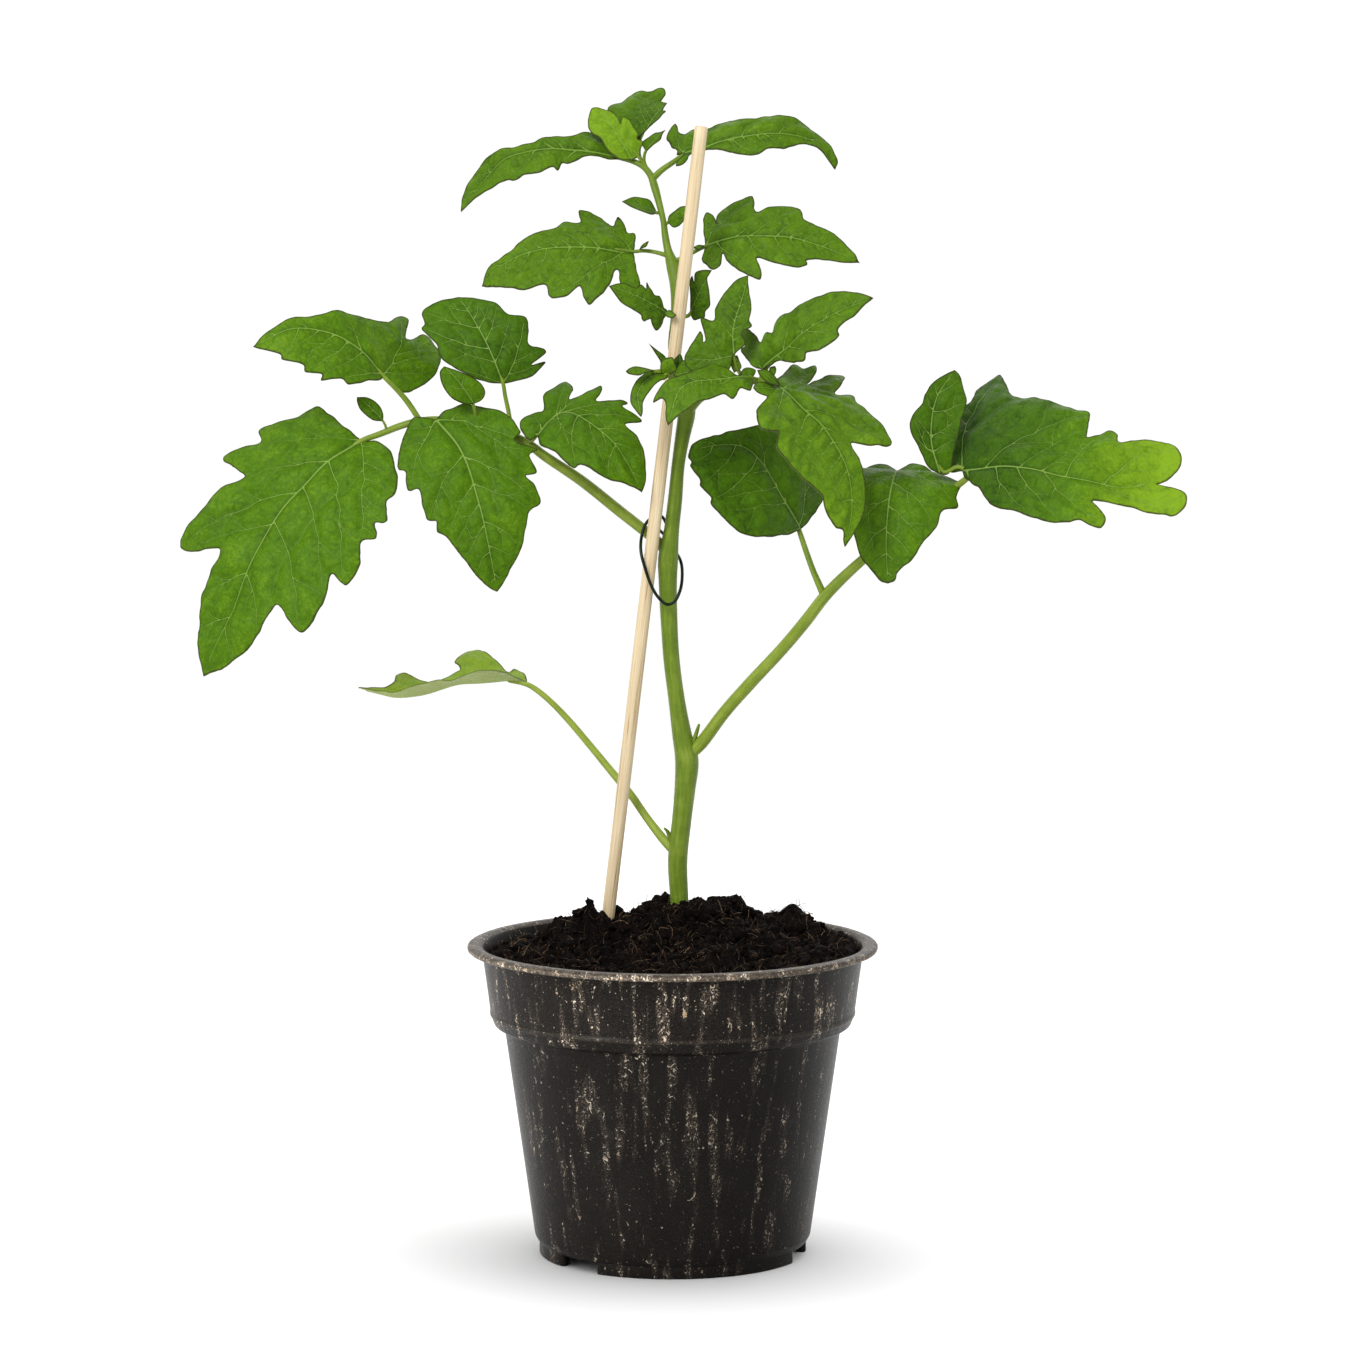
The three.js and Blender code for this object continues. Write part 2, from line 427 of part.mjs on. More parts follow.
        right: [[2.5, 4], [5, 5], [7.5, 4]],
      },
      topLeft: {
        base: [-14.2, 36, 344.4], tip: [-67.6, 42, 328], face: [0, -0.75, 0.65],
        arch: 10, keel: 0.1, cup: 0.005,
        mid: [[10.5, 3], [22.5, 5.5], [37, 8]],
        left: [[4.5, 0], [9, 1], [12, 1.5], [18, -1], [19.5, -0.5], [21.5, -3], [22.5, -1.5], [26.5, -3],
          [32, -1.5], [36, -2], [38, -0.5], [44, 0], [50.5, 0.5]],
        right: [[1, 4], [3.5, 9], [9.5, 11], [15.5, 9.5], [22.5, 10.5], [26.5, 10], [32, 11], [38.5, 11.5],
          [44, 11], [50, 8.5], [54.5, 5]],
      },
      pale: {
        base: [-11.3, 34, 345.4], tip: [-19.3, 40, 359.6], face: [0.1, -0.8, 0.3],
        arch: 1.5, keel: 0.1, cup: 0.01,
        left: [[3.5, -4.5], [8.5, -8.5], [13.5, -10], [18.5, -8], [21, -5], [20, -2]],
        right: [[2, 3], [5, 3], [9, 4], [13, 3.5], [14.5, 1.5]],
      },
      terminal: {
        base: [-11.4, 38, 347.5], tip: [-2.8, 50, 364.4], face: [-0.2, -0.7, 0.5],
        arch: 2, keel: 0.1, cup: 0.01,
        left: [[2, -5], [7.5, -12], [13, -15.5], [16, -12.5], [22, -10], [23.5, -5.5], [25.5, -2.5]],
        right: [[5.5, 0], [10.5, 2.5], [15.5, 3.5], [19, 3]],
      },
      smallTop: {
        base: [-8.5, 33, 347.3], tip: [-2.4, 30, 353.9], face: [0, -0.8, 0.5],
        arch: 0.6, keel: 0.2,
        left: [[0.5, -1.5], [4.5, -2]],
        right: [[4, 1.5], [7.5, 1]],
      },
      topRight: {
        base: [3.6, 30, 346], tip: [51.2, 24, 341.6], face: [0, -0.75, 0.65],
        arch: 10, keel: 0.1, cup: 0.006,
        mid: [[7, 0.5], [19.5, -1.5], [33.5, -4.5], [42, -5]],
        left: [[-3, -3], [-6.5, -7.5], [-6.5, -11.5], [-5, -13.5], [-3, -9], [0.5, -9], [6.5, -8], [11, -9],
          [21.5, -9], [24.5, -10.5], [31, -11.5], [35.5, -11.5], [40.5, -9.5], [45, -7.5],
          [48.5, -3.5]],
        right: [[-2, 4], [0.5, 3], [2, 2], [7, 1.5], [13, 3.5], [18, 5.5], [24.5, 5.5], [27.5, 3], [30.5, 2],
          [32.5, 1.5], [34, 0], [40.5, -3], [43.5, -3], [46, -1.5]],
      },
    },
  },
};

const GROWING_TIP = {
  stalks: [
    [[-1.4, -7, 279.2, 1.1], [-3.2, -8.2, 279.4, 0.75], [-5.4, -9, 279.4, 0.6],
     [-7, -9.8, 279.6, 0.4]],
    [[-1.4, -7, 279.2, 1.1], [-1.8, -8.1, 278.7, 0.9], [-2.7, -9.4, 277.2, 0.5]],
    [[-1.4, -7, 279.2, 1], [-2.5, -6.4, 280.6, 0.8], [-3.5, -6.2, 282.6, 0.45]],
    [[-1.4, -7, 279.2, 1], [-1.4, -7.8, 280, 0.7], [-1.2, -8.2, 281.4, 0.45]],
  ],
  leaflets: {
    drooping: {
      base: [-1.7, -8, 278.9], tip: [-9.7, -16, 265.7], face: [-0.2, -0.8, 0.5],
      arch: 2, keel: 0.15, cup: 0.01,
      mid: [[4, 3.5], [11, 4]],
      left: [[2, -1.5], [4.5, 0], [10, 1], [13.5, 1], [16, 0]],
      right: [[1, 4.5], [5.5, 6.5], [10, 6.5], [14.5, 5], [16.5, 2]],
    },
    upright: {
      base: [-3, -6, 281.3], tip: [-7.6, -8, 288.3], face: [-0.2, -0.8, 0.4],
      arch: 0.6, keel: 0.2,
      left: [[2.5, 0], [6, 0]],
      right: [[1.5, 2], [5.5, 1]],
    },
    left: {
      base: [-5.4, -9, 279.3], tip: [-14.4, -14, 279.8], face: [0, -0.7, 0.6],
      arch: 1, keel: 0.2,
      left: [[5, -2], [7.5, -3], [10, -1.5]],
      right: [[4, 0.5], [7.5, 1], [9.5, 0.5]],
    },
    budLeft: {
      base: [-1.4, -8, 279.5], tip: [-0.2, -9, 284.1], face: [0, -0.9, 0.3],
      arch: 0.5, keel: 0.2,
      left: [[1.5, -1.5], [4, -1]],
      right: [[3, 1.5], [4.5, 1]],
    },
    budRight: {
      base: [0.5, -6, 278.5], tip: [2.6, -6, 284.9], face: [0.2, -0.9, 0.3],
      arch: 0.5, keel: 0.2,
      left: [[3, -1.5], [5.5, -1]],
      right: [[3.5, 1.5], [5.5, 1]],
    },
  },
};

const wasm = await Module();
wasm.setup();

// Helpers

const vec = (point) => new THREE.Vector3(point[0], point[1], point[2]);
const lerp = THREE.MathUtils.lerp;

function meshGeometry(points, triangles) {
  const geometry = new THREE.BufferGeometry();
  geometry.setAttribute('position', new THREE.Float32BufferAttribute(points.flat(), 3));
  geometry.setIndex(triangles.flat());
  return geometry;
}

function toSolid(geometry) {
  const bare = geometry.clone();
  bare.deleteAttribute('normal');
  bare.deleteAttribute('uv');
  const merged = mergeVertices(bare, 1e-4);
  const mesh = new wasm.Mesh({
    numProp: 3,
    vertProperties: Float32Array.from(merged.attributes.position.array),
    triVerts: Uint32Array.from(merged.index.array),
  });
  return new wasm.Manifold(mesh);
}

// Joining leaves slivers where surfaces nearly meet, so edges shorter than this collapse.
function toGeometry(solid) {
  const mesh = solid.asOriginal().simplify(SHORTEST_EDGE).getMesh();
  const geometry = new THREE.BufferGeometry();
  geometry.setAttribute('position', new THREE.BufferAttribute(mesh.vertProperties, 3));
  geometry.setIndex(new THREE.BufferAttribute(mesh.triVerts, 1));
  geometry.computeVertexNormals();
  return geometry;
}

function unite(solids) {
  return solids.reduce((sum, solid) => sum.add(solid));
}

// A closed round tube along a route, whose radius follows the route's fourth numbers.
// `grow` makes it that much thicker, and longer at its first end.
function tube(route, { sides, step, grow = 0, radius = null }) {
  const knots = route.map(vec);
  const inwards = knots[0].clone().sub(knots[1]).normalize();
  knots[0].addScaledVector(inwards, grow);
  const curve = new THREE.CatmullRomCurve3(knots, false, 'centripetal');
  const steps = Math.max(3, Math.round(curve.getLength() / step));
  const frames = curve.computeFrenetFrames(steps, false);
  const points = [];
  const triangles = [];
  for (let i = 0; i <= steps; i += 1) {
    const along = curve.getUtoTmapping(i / steps) * (route.length - 1);
    const knot = Math.min(Math.floor(along), route.length - 2);
    const own = radius ?? lerp(route[knot][3], route[knot + 1][3], along - knot);
    const centre = curve.getPointAt(i / steps);
    for (let k = 0; k < sides; k += 1) {
      const angle = (2 * Math.PI * k) / sides;
      const point = centre
        .clone()
        .addScaledVector(frames.normals[i], (own + grow) * Math.cos(angle))
        .addScaledVector(frames.binormals[i], (own + grow) * Math.sin(angle));
      points.push(point.toArray());
    }
  }
  for (let i = 0; i < steps; i += 1) {
    for (let k = 0; k < sides; k += 1) {
      const here = i * sides;
      const next = here + sides;
      const side = (k + 1) % sides;
      triangles.push([here + k, here + side, next + side], [here + k, next + side, next + k]);
    }
  }
  const first = points.push(curve.getPointAt(0).toArray()) - 1;
  const last = points.push(curve.getPointAt(1).toArray()) - 1;
  for (let k = 0; k < sides; k += 1) {
    const side = (k + 1) % sides;
    triangles.push([first, side, k], [last, steps * sides + k, steps * sides + side]);
  }
  return meshGeometry(points, triangles);
}

// Leaflets

// The midrib's curve in the leaflet's own plane: from the base, through `mid`, to the tip.
function midribOf(leaflet, length) {
  const knots = [[0, 0], ...(leaflet.mid ?? []), [length, 0]];
  const curve = new THREE.SplineCurve(knots.map(([along, out]) => new THREE.Vector2(along, out)));
  return { curve, length: curve.getLength(), samples: curve.getSpacedPoints(200) };
}

// Where the side rib of an outline point leaves the midrib, as a length from the base.
function ribStart(midrib, [along, out, given]) {
  if (given !== undefined) return given;
  const point = new THREE.Vector2(along, out);
  const distances = midrib.samples.map((sample) => sample.distanceTo(point));
  const nearest = distances.indexOf(Math.min(...distances));
  const position = (nearest / (midrib.samples.length - 1)) * midrib.length;
  return position - BLADE.ribSlant * distances[nearest];
}

// Joins two rows of vertices, each running from the base to the tip, with triangles.
function zip(rowA, rowB) {
  const triangles = [];
  let a = 0;
  let b = 0;
  while (a < rowA.length - 1 || b < rowB.length - 1) {
    const nextA = rowA[a + 1]?.position ?? Infinity;
    const nextB = rowB[b + 1]?.position ?? Infinity;
    const stepA = nextA <= nextB;
    const third = stepA ? rowA[a + 1] : rowB[b + 1];
    triangles.push([rowA[a].index, third.index, rowB[b].index]);
    if (stepA) a += 1;
    else b += 1;
  }
  return triangles.filter((ids) => new Set(ids).size === 3);
}

// One leaflet: a thin arched blade with its toothed outline.
function blade(leaflet) {
  const base = vec(leaflet.base);
  const axis = vec(leaflet.tip).sub(base);
  const length = axis.length();
  axis.divideScalar(length);
  const face = vec(leaflet.face);
  face.addScaledVector(axis, -face.dot(axis)).normalize();
  const side = new THREE.Vector3().crossVectors(axis, face);
  const midrib = midribOf(leaflet, length);
  const peak = Math.log(0.5) / Math.log(leaflet.peak ?? 0.5);

  const height = (along, fromMidrib) => {
    const part = THREE.MathUtils.clamp(along / length, 0, 1) ** peak;
    const arched = (leaflet.arch ?? 0) * 4 * part * (1 - part);
    const waved = (leaflet.wave ?? 0) * Math.sin(2 * Math.PI * part);
    const behind = Math.min(along / length, 0) * 2 * (leaflet.arch ?? 0);
    const across = (leaflet.keel ?? 0) * fromMidrib - (leaflet.cup ?? 0) * fromMidrib ** 2;
    return arched + waved + behind + across;
  };

  const middle = [];
  const addVertex = (along, out, fromMidrib) => {
    const point = base
      .clone()
      .addScaledVector(axis, along)
      .addScaledVector(side, out)
      .addScaledVector(face, height(along, fromMidrib));
    return middle.push(point) - 1;
  };

  const spine = [];
  for (let i = 0; i <= BLADE.midribSteps; i += 1) {
    const position = (i / BLADE.midribSteps) * midrib.length;
    const point = midrib.curve.getPointAt(i / BLADE.midribSteps);
    spine.push({ position, index: addVertex(point.x, point.y, 0) });
  }

  const faces = [];
  const edges = [];
  for (const [name, reversed] of [['left', false], ['right', true]]) {
    const rows = { half: [spine[0]], edge: [spine[0]] };
    let position = 0;
    for (const corner of leaflet[name]) {
      const start = THREE.MathUtils.clamp(ribStart(midrib, corner), 0, midrib.length * 0.97);
      position = Math.max(position, start);
      const root = midrib.curve.getPointAt(position / midrib.length);
      const reach = Math.hypot(corner[0] - root.x, corner[1] - root.y);
      const halfAlong = lerp(root.x, corner[0], 0.5);
      const halfOut = lerp(root.y, corner[1], 0.5);
      rows.half.push({ position, index: addVertex(halfAlong, halfOut, reach / 2) });
      rows.edge.push({ position, index: addVertex(corner[0], corner[1], reach) });
    }
    rows.half.push(spine.at(-1));
    rows.edge.push(spine.at(-1));
    const inner = zip(spine, rows.half);
    const outer = zip(rows.half, rows.edge);
    const flip = ([p, q, r]) => [p, r, q];
    const rim = rows.edge.slice(1).map((corner, i) => [corner.index, rows.edge[i].index]);
    faces.push(...(reversed ? [...inner, ...outer].map(flip) : [...inner, ...outer]));
    edges.push(...(reversed ? rim.map(([p, q]) => [q, p]) : rim));
  }

  // The same triangles above and below, half the thickness away, joined round the rim.
  const count = middle.length;
  const half = BLADE.thickness / 2;
  const above = middle.map((point) => point.clone().addScaledVector(face, half).toArray());
  const below = middle.map((point) => point.clone().addScaledVector(face, -half).toArray());
  const bottom = faces.map(([p, q, r]) => [p + count, r + count, q + count]);
  const rim = edges.flatMap(([p, q]) => [
    [q, p, p + count],
    [q, p + count, q + count],
  ]);
  return meshGeometry([...above, ...below], [...faces, ...bottom, ...rim]);
}

function leafSolids({ stalks, leaflets }) {
  const stalkForm = { sides: STALK.sides, step: STALK.step };
  return [
    ...stalks.map((route) => toSolid(tube(route, stalkForm))),
    ...Object.values(leaflets).map((leaflet) => toSolid(blade(leaflet))),
  ];
}

// Pot: a thin-walled turned shell with a flat lip and a wide band, on three curved feet.

function potProfile(inset) {
  const { rimRadius, rimTop, lipThickness, mouthRadius, footHeight, wall } = POT;
  const floorTop = footHeight + wall + 0.2;
  const outside = [
    [0, footHeight],
    [POT.baseRadius, footHeight],
    [POT.bodyBottomRadius, POT.bodyBottom],
    [POT.bodyTopRadius, POT.bodyTop],
    [lerp(POT.bodyTopRadius, POT.bandBottomRadius, 0.75), POT.bodyTop + 1.4],
    [POT.bandBottomRadius, POT.bandBottom],
    [POT.bandTopRadius, rimTop - lipThickness - 0.6],
    [rimRadius - 0.4, rimTop - lipThickness - 0.6],
    [rimRadius, rimTop - lipThickness],
    [rimRadius, rimTop - 0.9],
    [rimRadius - 0.6, rimTop - 0.4],
    [mouthRadius, rimTop],
  ];
  const inside = [
    [POT.bandTopRadius - wall + 0.9, rimTop - 1],
    [POT.bandTopRadius - wall, rimTop - 4],
    [POT.bandBottomRadius - wall, POT.bandBottom + 0.5],
    [POT.bodyTopRadius - wall, POT.bodyTop + 0.5],
    [POT.bodyBottomRadius - wall, POT.bodyBottom + 1],
    [POT.bodyBottomRadius - wall - 1.6, floorTop],
    [0, floorTop],
  ];
  if (inset === 0) return [...outside, ...inside];
  return inside.map(([radius, height]) => [Math.max(radius - inset, 0), height]).reverse();
}

function turned(profile) {
  const points = profile.map(([radius, height]) => new THREE.Vector2(radius, height));
  return new THREE.LatheGeometry(points, POT.sides).rotateX(Math.PI / 2);
}

function footGeometry(index) {
  const middle = THREE.MathUtils.degToRad(POT.firstFootAngle + (360 / POT.feet) * index);
  const half = THREE.MathUtils.degToRad(POT.footSpan / 2);
  const outer = POT.baseRadius;
  const inner = outer - POT.footWidth;
  const shape = new THREE.Shape();
  shape.absarc(0, 0, outer, middle - half, middle + half, false);
  const end = middle + half;
  const centre = (outer + inner) / 2;
  shape.absarc(Math.cos(end) * centre, Math.sin(end) * centre, POT.footWidth / 2, end, end + Math.PI);
  shape.absarc(0, 0, inner, end, middle - half, true);
  const start = middle - half;
  const startX = Math.cos(start) * centre;
  const startY = Math.sin(start) * centre;
  shape.absarc(startX, startY, POT.footWidth / 2, start + Math.PI, start + 2 * Math.PI);
  const depth = POT.footHeight + 0.6;
  return new THREE.ExtrudeGeometry(shape, { depth, bevelEnabled: false, curveSegments: 8 });
}

function makePot() {
  const shell = toSolid(turned(potProfile(0)));
  const feet = Array.from({ length: POT.feet }, (_, index) => toSolid(footGeometry(index)));
  let pot = unite([shell, ...feet]);
  for (let i = 0; i < POT.drainHoles; i += 1) {
    const angle = (2 * Math.PI * (i + 0.5)) / POT.drainHoles;
    const hole = new THREE.CylinderGeometry(POT.drainRadius, POT.drainRadius, 12, 8);
    hole.rotateX(Math.PI / 2);
    hole.translate(POT.drainCircle * Math.cos(angle), POT.drainCircle * Math.sin(angle), 5);
    pot = pot.subtract(toSolid(hole));
  }
  return toGeometry(pot);
}

// Soil: fills the pot, mounded round the stem, with a crumbly top.

function soilHeight(x, y) {
  const [stemX, stemY] = STEM_ROUTE[2];
  const away = Math.hypot(x - stemX, y - stemY);
  const slope = SOIL.slope[0] * x + SOIL.slope[1] * y;
  const mound = SOIL.moundHeight * Math.exp(-((away / SOIL.moundSpread) ** 2));
  const coarse = Math.sin(x * 0.31 + 1.7) * Math.cos(y * 0.27 - 0.6);
  const fine = Math.sin(x * 0.83 - y * 0.71) * Math.cos(y * 0.93 + x * 0.37);
  return SOIL.edgeHeight + slope + mound + SOIL.lump * (coarse + 0.7 * fine);
}

function soilGeometry() {
  const wall = potProfile(CLEARANCE).map(([radius, height]) => [radius, height + CLEARANCE]);
  const rimIndex = wall.findIndex(([, height]) => height > SOIL.edgeHeight - 5);
  const lower = wall[rimIndex - 1];
  const upper = wall[rimIndex];
  const part = (SOIL.edgeHeight - 4 - lower[1]) / (upper[1] - lower[1]);
  const edgeRadius = lerp(lower[0], upper[0], part);
  const rings = wall.slice(1, rimIndex).map(([radius, height]) => ({ radius, height: () => height }));
  for (let i = 0; i < SOIL.rings; i += 1) {
    rings.push({ radius: edgeRadius * (1 - i / SOIL.rings), height: soilHeight });
  }
  const points = [];
  const triangles = [];
  rings.forEach(({ radius, height }) => {
    for (let k = 0; k < SOIL.sides; k += 1) {
      const angle = (2 * Math.PI * k) / SOIL.sides;
      const x = radius * Math.cos(angle);
      const y = radius * Math.sin(angle);
      points.push([x, y, height(x, y)]);
    }
  });
  for (let i = 0; i < rings.length - 1; i += 1) {
    for (let k = 0; k < SOIL.sides; k += 1) {
      const here = i * SOIL.sides;
      const next = here + SOIL.sides;
      const side = (k + 1) % SOIL.sides;
      triangles.push([here + k, here + side, next + side], [here + k, next + side, next + k]);
    }
  }
  const bottom = points.push([0, 0, wall[0][1]]) - 1;
  const top = points.push([0, 0, soilHeight(0, 0)]) - 1;
  const lastRing = (rings.length - 1) * SOIL.sides;
  for (let k = 0; k < SOIL.sides; k += 1) {
    const side = (k + 1) % SOIL.sides;
    triangles.push([bottom, side, k], [top, lastRing + k, lastRing + side]);
  }
  return meshGeometry(points, triangles);
}

function stakeGeometry(grow = 0) {
  const foot = vec(STAKE.foot);
  const top = vec(STAKE.top);
  const length = foot.distanceTo(top) + 2 * grow;
  const radius = STAKE.radius + grow;
  const geometry = new THREE.CylinderGeometry(radius, radius, length, STAKE.sides);
  const upright = new THREE.Vector3(0, 1, 0);
  const lean = new THREE.Quaternion().setFromUnitVectors(upright, top.clone().sub(foot).normalize());
  geometry.applyQuaternion(lean);
  const middle = foot.add(top).multiplyScalar(0.5);
  return geometry.translate(middle.x, middle.y, middle.z);
}

function stemTube(grow = 0) {
  return toSolid(tube(STEM_ROUTE, { sides: STALK.stemSides, step: 5, grow }));
}

function makeSoil() {
  const holes = unite([stemTube(CLEARANCE), toSolid(stakeGeometry(CLEARANCE))]);
  return toGeometry(toSolid(soilGeometry()).subtract(holes));
}

// The stem holds the growing tip and the two buds in its lower axils.
function makeStem() {
  const buds = BUD_ROUTES.map((route) => toSolid(tube(route, { sides: 5, step: 2.5 })));
  return toGeometry(unite([stemTube(), ...buds, ...leafSolids(GROWING_TIP)]));
}

// A leaf's stalk starts inside the stem, and is cut back to stand just clear of it.
function makeLeaf(leaf) {
  const buds = BUD_ROUTES.map((route) => toSolid(tube(route, { sides: 5, step: 2.5, grow: CLEARANCE })));
  const stemRoom = unite([stemTube(CLEARANCE), ...buds]);
  return toGeometry(unite(leafSolids(leaf)).subtract(stemRoom));
}

// Assembly

const plant = new THREE.Group();

function addPiece(name, geometry, color, roughness) {
  const material = new THREE.MeshStandardMaterial({ color, roughness, metalness: 0 });
  const mesh = new THREE.Mesh(geometry, material);
  mesh.name = name;
  plant.add(mesh);
}

addPiece('pot', makePot(), COLOURS.pot, 0.6);
addPiece('soil', makeSoil(), COLOURS.soil, 0.95);
addPiece('stake', stakeGeometry(), COLOURS.stake, 0.7);
addPiece('tie', tube(TIE_ROUTE, { ...TIE, radius: TIE.wireRadius }), COLOURS.tie, 0.45);
addPiece('stem', makeStem(), COLOURS.stem, 0.6);
addPiece('leaf_lower_left', makeLeaf(LEAVES.lowerLeft), COLOURS.lowerLeaf, 0.6);
addPiece('leaf_right', makeLeaf(LEAVES.right), COLOURS.leaf, 0.55);
addPiece('leaf_left', makeLeaf(LEAVES.left), COLOURS.leaf, 0.55);
addPiece('leaf_centre', makeLeaf(LEAVES.centre), COLOURS.youngLeaf, 0.55);
addPiece('leaf_top', makeLeaf(LEAVES.top), COLOURS.youngLeaf, 0.55);

export default plant;
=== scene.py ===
"""Looks of a tomato plant in its nursery pot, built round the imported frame.

Lengths are in millimetres until a mesh is made, and Blender's objects are in metres. Z is up,
the floor is z = 0 and the pot's axis is the Z axis. X runs to the right as the plant is seen
from its front, which faces -Y.
"""

import json
import logging
import math
from collections.abc import Callable, Iterator, Mapping, Sequence
from dataclasses import dataclass, field
from enum import Enum
from functools import partial
from typing import Any

import bpy
import numpy as np
from bpy.types import Material, Mesh, NodeSocket, NodeTree, Object
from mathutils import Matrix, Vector, noise
from mathutils.geometry import delaunay_2d_cdt

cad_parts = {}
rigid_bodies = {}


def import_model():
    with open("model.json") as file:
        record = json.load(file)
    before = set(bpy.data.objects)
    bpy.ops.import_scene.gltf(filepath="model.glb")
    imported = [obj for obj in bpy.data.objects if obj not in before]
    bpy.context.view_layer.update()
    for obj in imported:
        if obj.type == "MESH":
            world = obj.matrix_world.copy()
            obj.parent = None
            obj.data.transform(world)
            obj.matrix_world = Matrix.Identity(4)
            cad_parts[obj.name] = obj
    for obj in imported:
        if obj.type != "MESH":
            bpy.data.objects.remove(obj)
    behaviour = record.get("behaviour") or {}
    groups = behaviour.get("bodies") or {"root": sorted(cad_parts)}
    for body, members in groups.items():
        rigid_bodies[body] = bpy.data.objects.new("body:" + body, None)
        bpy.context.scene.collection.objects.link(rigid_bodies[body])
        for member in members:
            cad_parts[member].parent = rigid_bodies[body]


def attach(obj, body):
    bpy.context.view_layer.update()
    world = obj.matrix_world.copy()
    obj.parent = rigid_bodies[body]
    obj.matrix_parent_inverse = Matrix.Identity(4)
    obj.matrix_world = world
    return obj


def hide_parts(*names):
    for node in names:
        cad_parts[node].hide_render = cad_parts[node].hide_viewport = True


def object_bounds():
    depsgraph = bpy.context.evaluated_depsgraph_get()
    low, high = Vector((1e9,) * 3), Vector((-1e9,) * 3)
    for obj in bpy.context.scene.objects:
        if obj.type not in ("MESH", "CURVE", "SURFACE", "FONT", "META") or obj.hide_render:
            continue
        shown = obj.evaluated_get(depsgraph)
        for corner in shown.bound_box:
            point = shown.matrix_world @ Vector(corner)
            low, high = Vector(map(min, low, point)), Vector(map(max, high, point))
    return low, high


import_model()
CAD_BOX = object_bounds()  # of the solids, before any piece is replaced

log = logging.getLogger("tomato_plant")

MM = 0.001
BODY = "root"
CHANNELS = ("tone", "rib", "under", "edge", "hairy")
GAP = 0.1 * MM  # that a piece stays within the solids' box
THINNEST_STALK = 0.25  # its radius

Point = tuple[float, ...]
Route = Sequence[Point]
Node = Callable[..., NodeSocket]  # `add_node` for one tree


@dataclass(frozen=True)
class Leaflet:
    """One leaflet as it grows, with its upper side towards `face`.

    The outlines are (along, out) from the base, on the left and the right as seen from above with
    the tip away. A third number sets where that point's side rib leaves the midrib. `arch` is the
    rise of the midrib, `wave` its double bend, `keel` the slope of the two halves and `cup` how
    they roll over. `tone` runs from 0, dark, to 1, pale, at the base and at the tip.
    """

    base: Point
    tip: Point
    face: Point
    left: Route
    right: Route
    mid: Route = ()
    arch: float = 0.0
    wave: float = 0.0
    keel: float = 0.0
    cup: float = 0.0
    peak: float = 0.5
    tone: tuple[float, float] = (0.45, 0.5)


# Routes and leaves. A point of a route is (x, y, z, radius), and the tie has one radius.

STEM_ROUTE = (
    (2.4, 18.3, 72, 2.6), (2.4, 18.2, 95, 2.8), (2, 18, 109.7, 2.9), (1.5, 17.4, 122.6, 3.1),
    (2.8, 16.8, 135.6, 3.1), (3.8, 16.4, 145.3, 3.3), (4.4, 16, 154.9, 3.7), (2.9, 15.6, 163, 3.1),
    (1.2, 15.1, 174.2, 2.6), (-0.4, 14.5, 187, 2.55), (-1.2, 13.9, 199.8, 2.65),
    (-1.6, 13.4, 212.5, 2.9), (-1.5, 13.1, 219.5, 3.15), (-0.4, 12.7, 228.4, 2.4),
    (0.7, 12.3, 237.9, 2.25), (1.7, 11.8, 249, 2.05), (3, 11.4, 257.5, 2.3),
    (4.4, 10.5, 265.8, 2.7), (4.1, 7, 271, 2.15), (1.1, -1, 276.1, 1.6), (-1.4, -7, 279.2, 1.1),
)

TIE_ROUTE = (
    (-4.3, 13.3, 228.5), (-2.4, 16.6, 226.2), (0.1, 18, 222.3), (2.5, 16.2, 218.3),
    (3, 12.5, 213.5), (2.2, 9.3, 209.1), (0.4, 8, 206), (-1.8, 7.9, 205.3), (-4.6, 7, 207.7),
    (-6.8, 6.8, 211.5), (-8.7, 7.2, 216.9), (-10, 9, 222.1), (-9.7, 12, 226.9),
    (-8.3, 13.2, 230.6), (-5.9, 14.2, 232.6), (-3.5, 15.2, 232.5), (-1.8, 17, 229.7),
    (0.4, 17.6, 226.4),
)

BUD_ROUTES = (
    (
        (-0.2, 17.5, 128.4, 0.8), (-1.2, 17.5, 130.7, 0.7), (-1.8, 17, 132, 0.55),
        (-2.6, 16.5, 132.9, 0.35),
    ),
    (
        (5.8, 15.6, 158.8, 0.9), (6.8, 15, 161.4, 0.75), (7.7, 14.5, 164.4, 0.6),
        (8.3, 14.3, 166.3, 0.4),
    ),
)

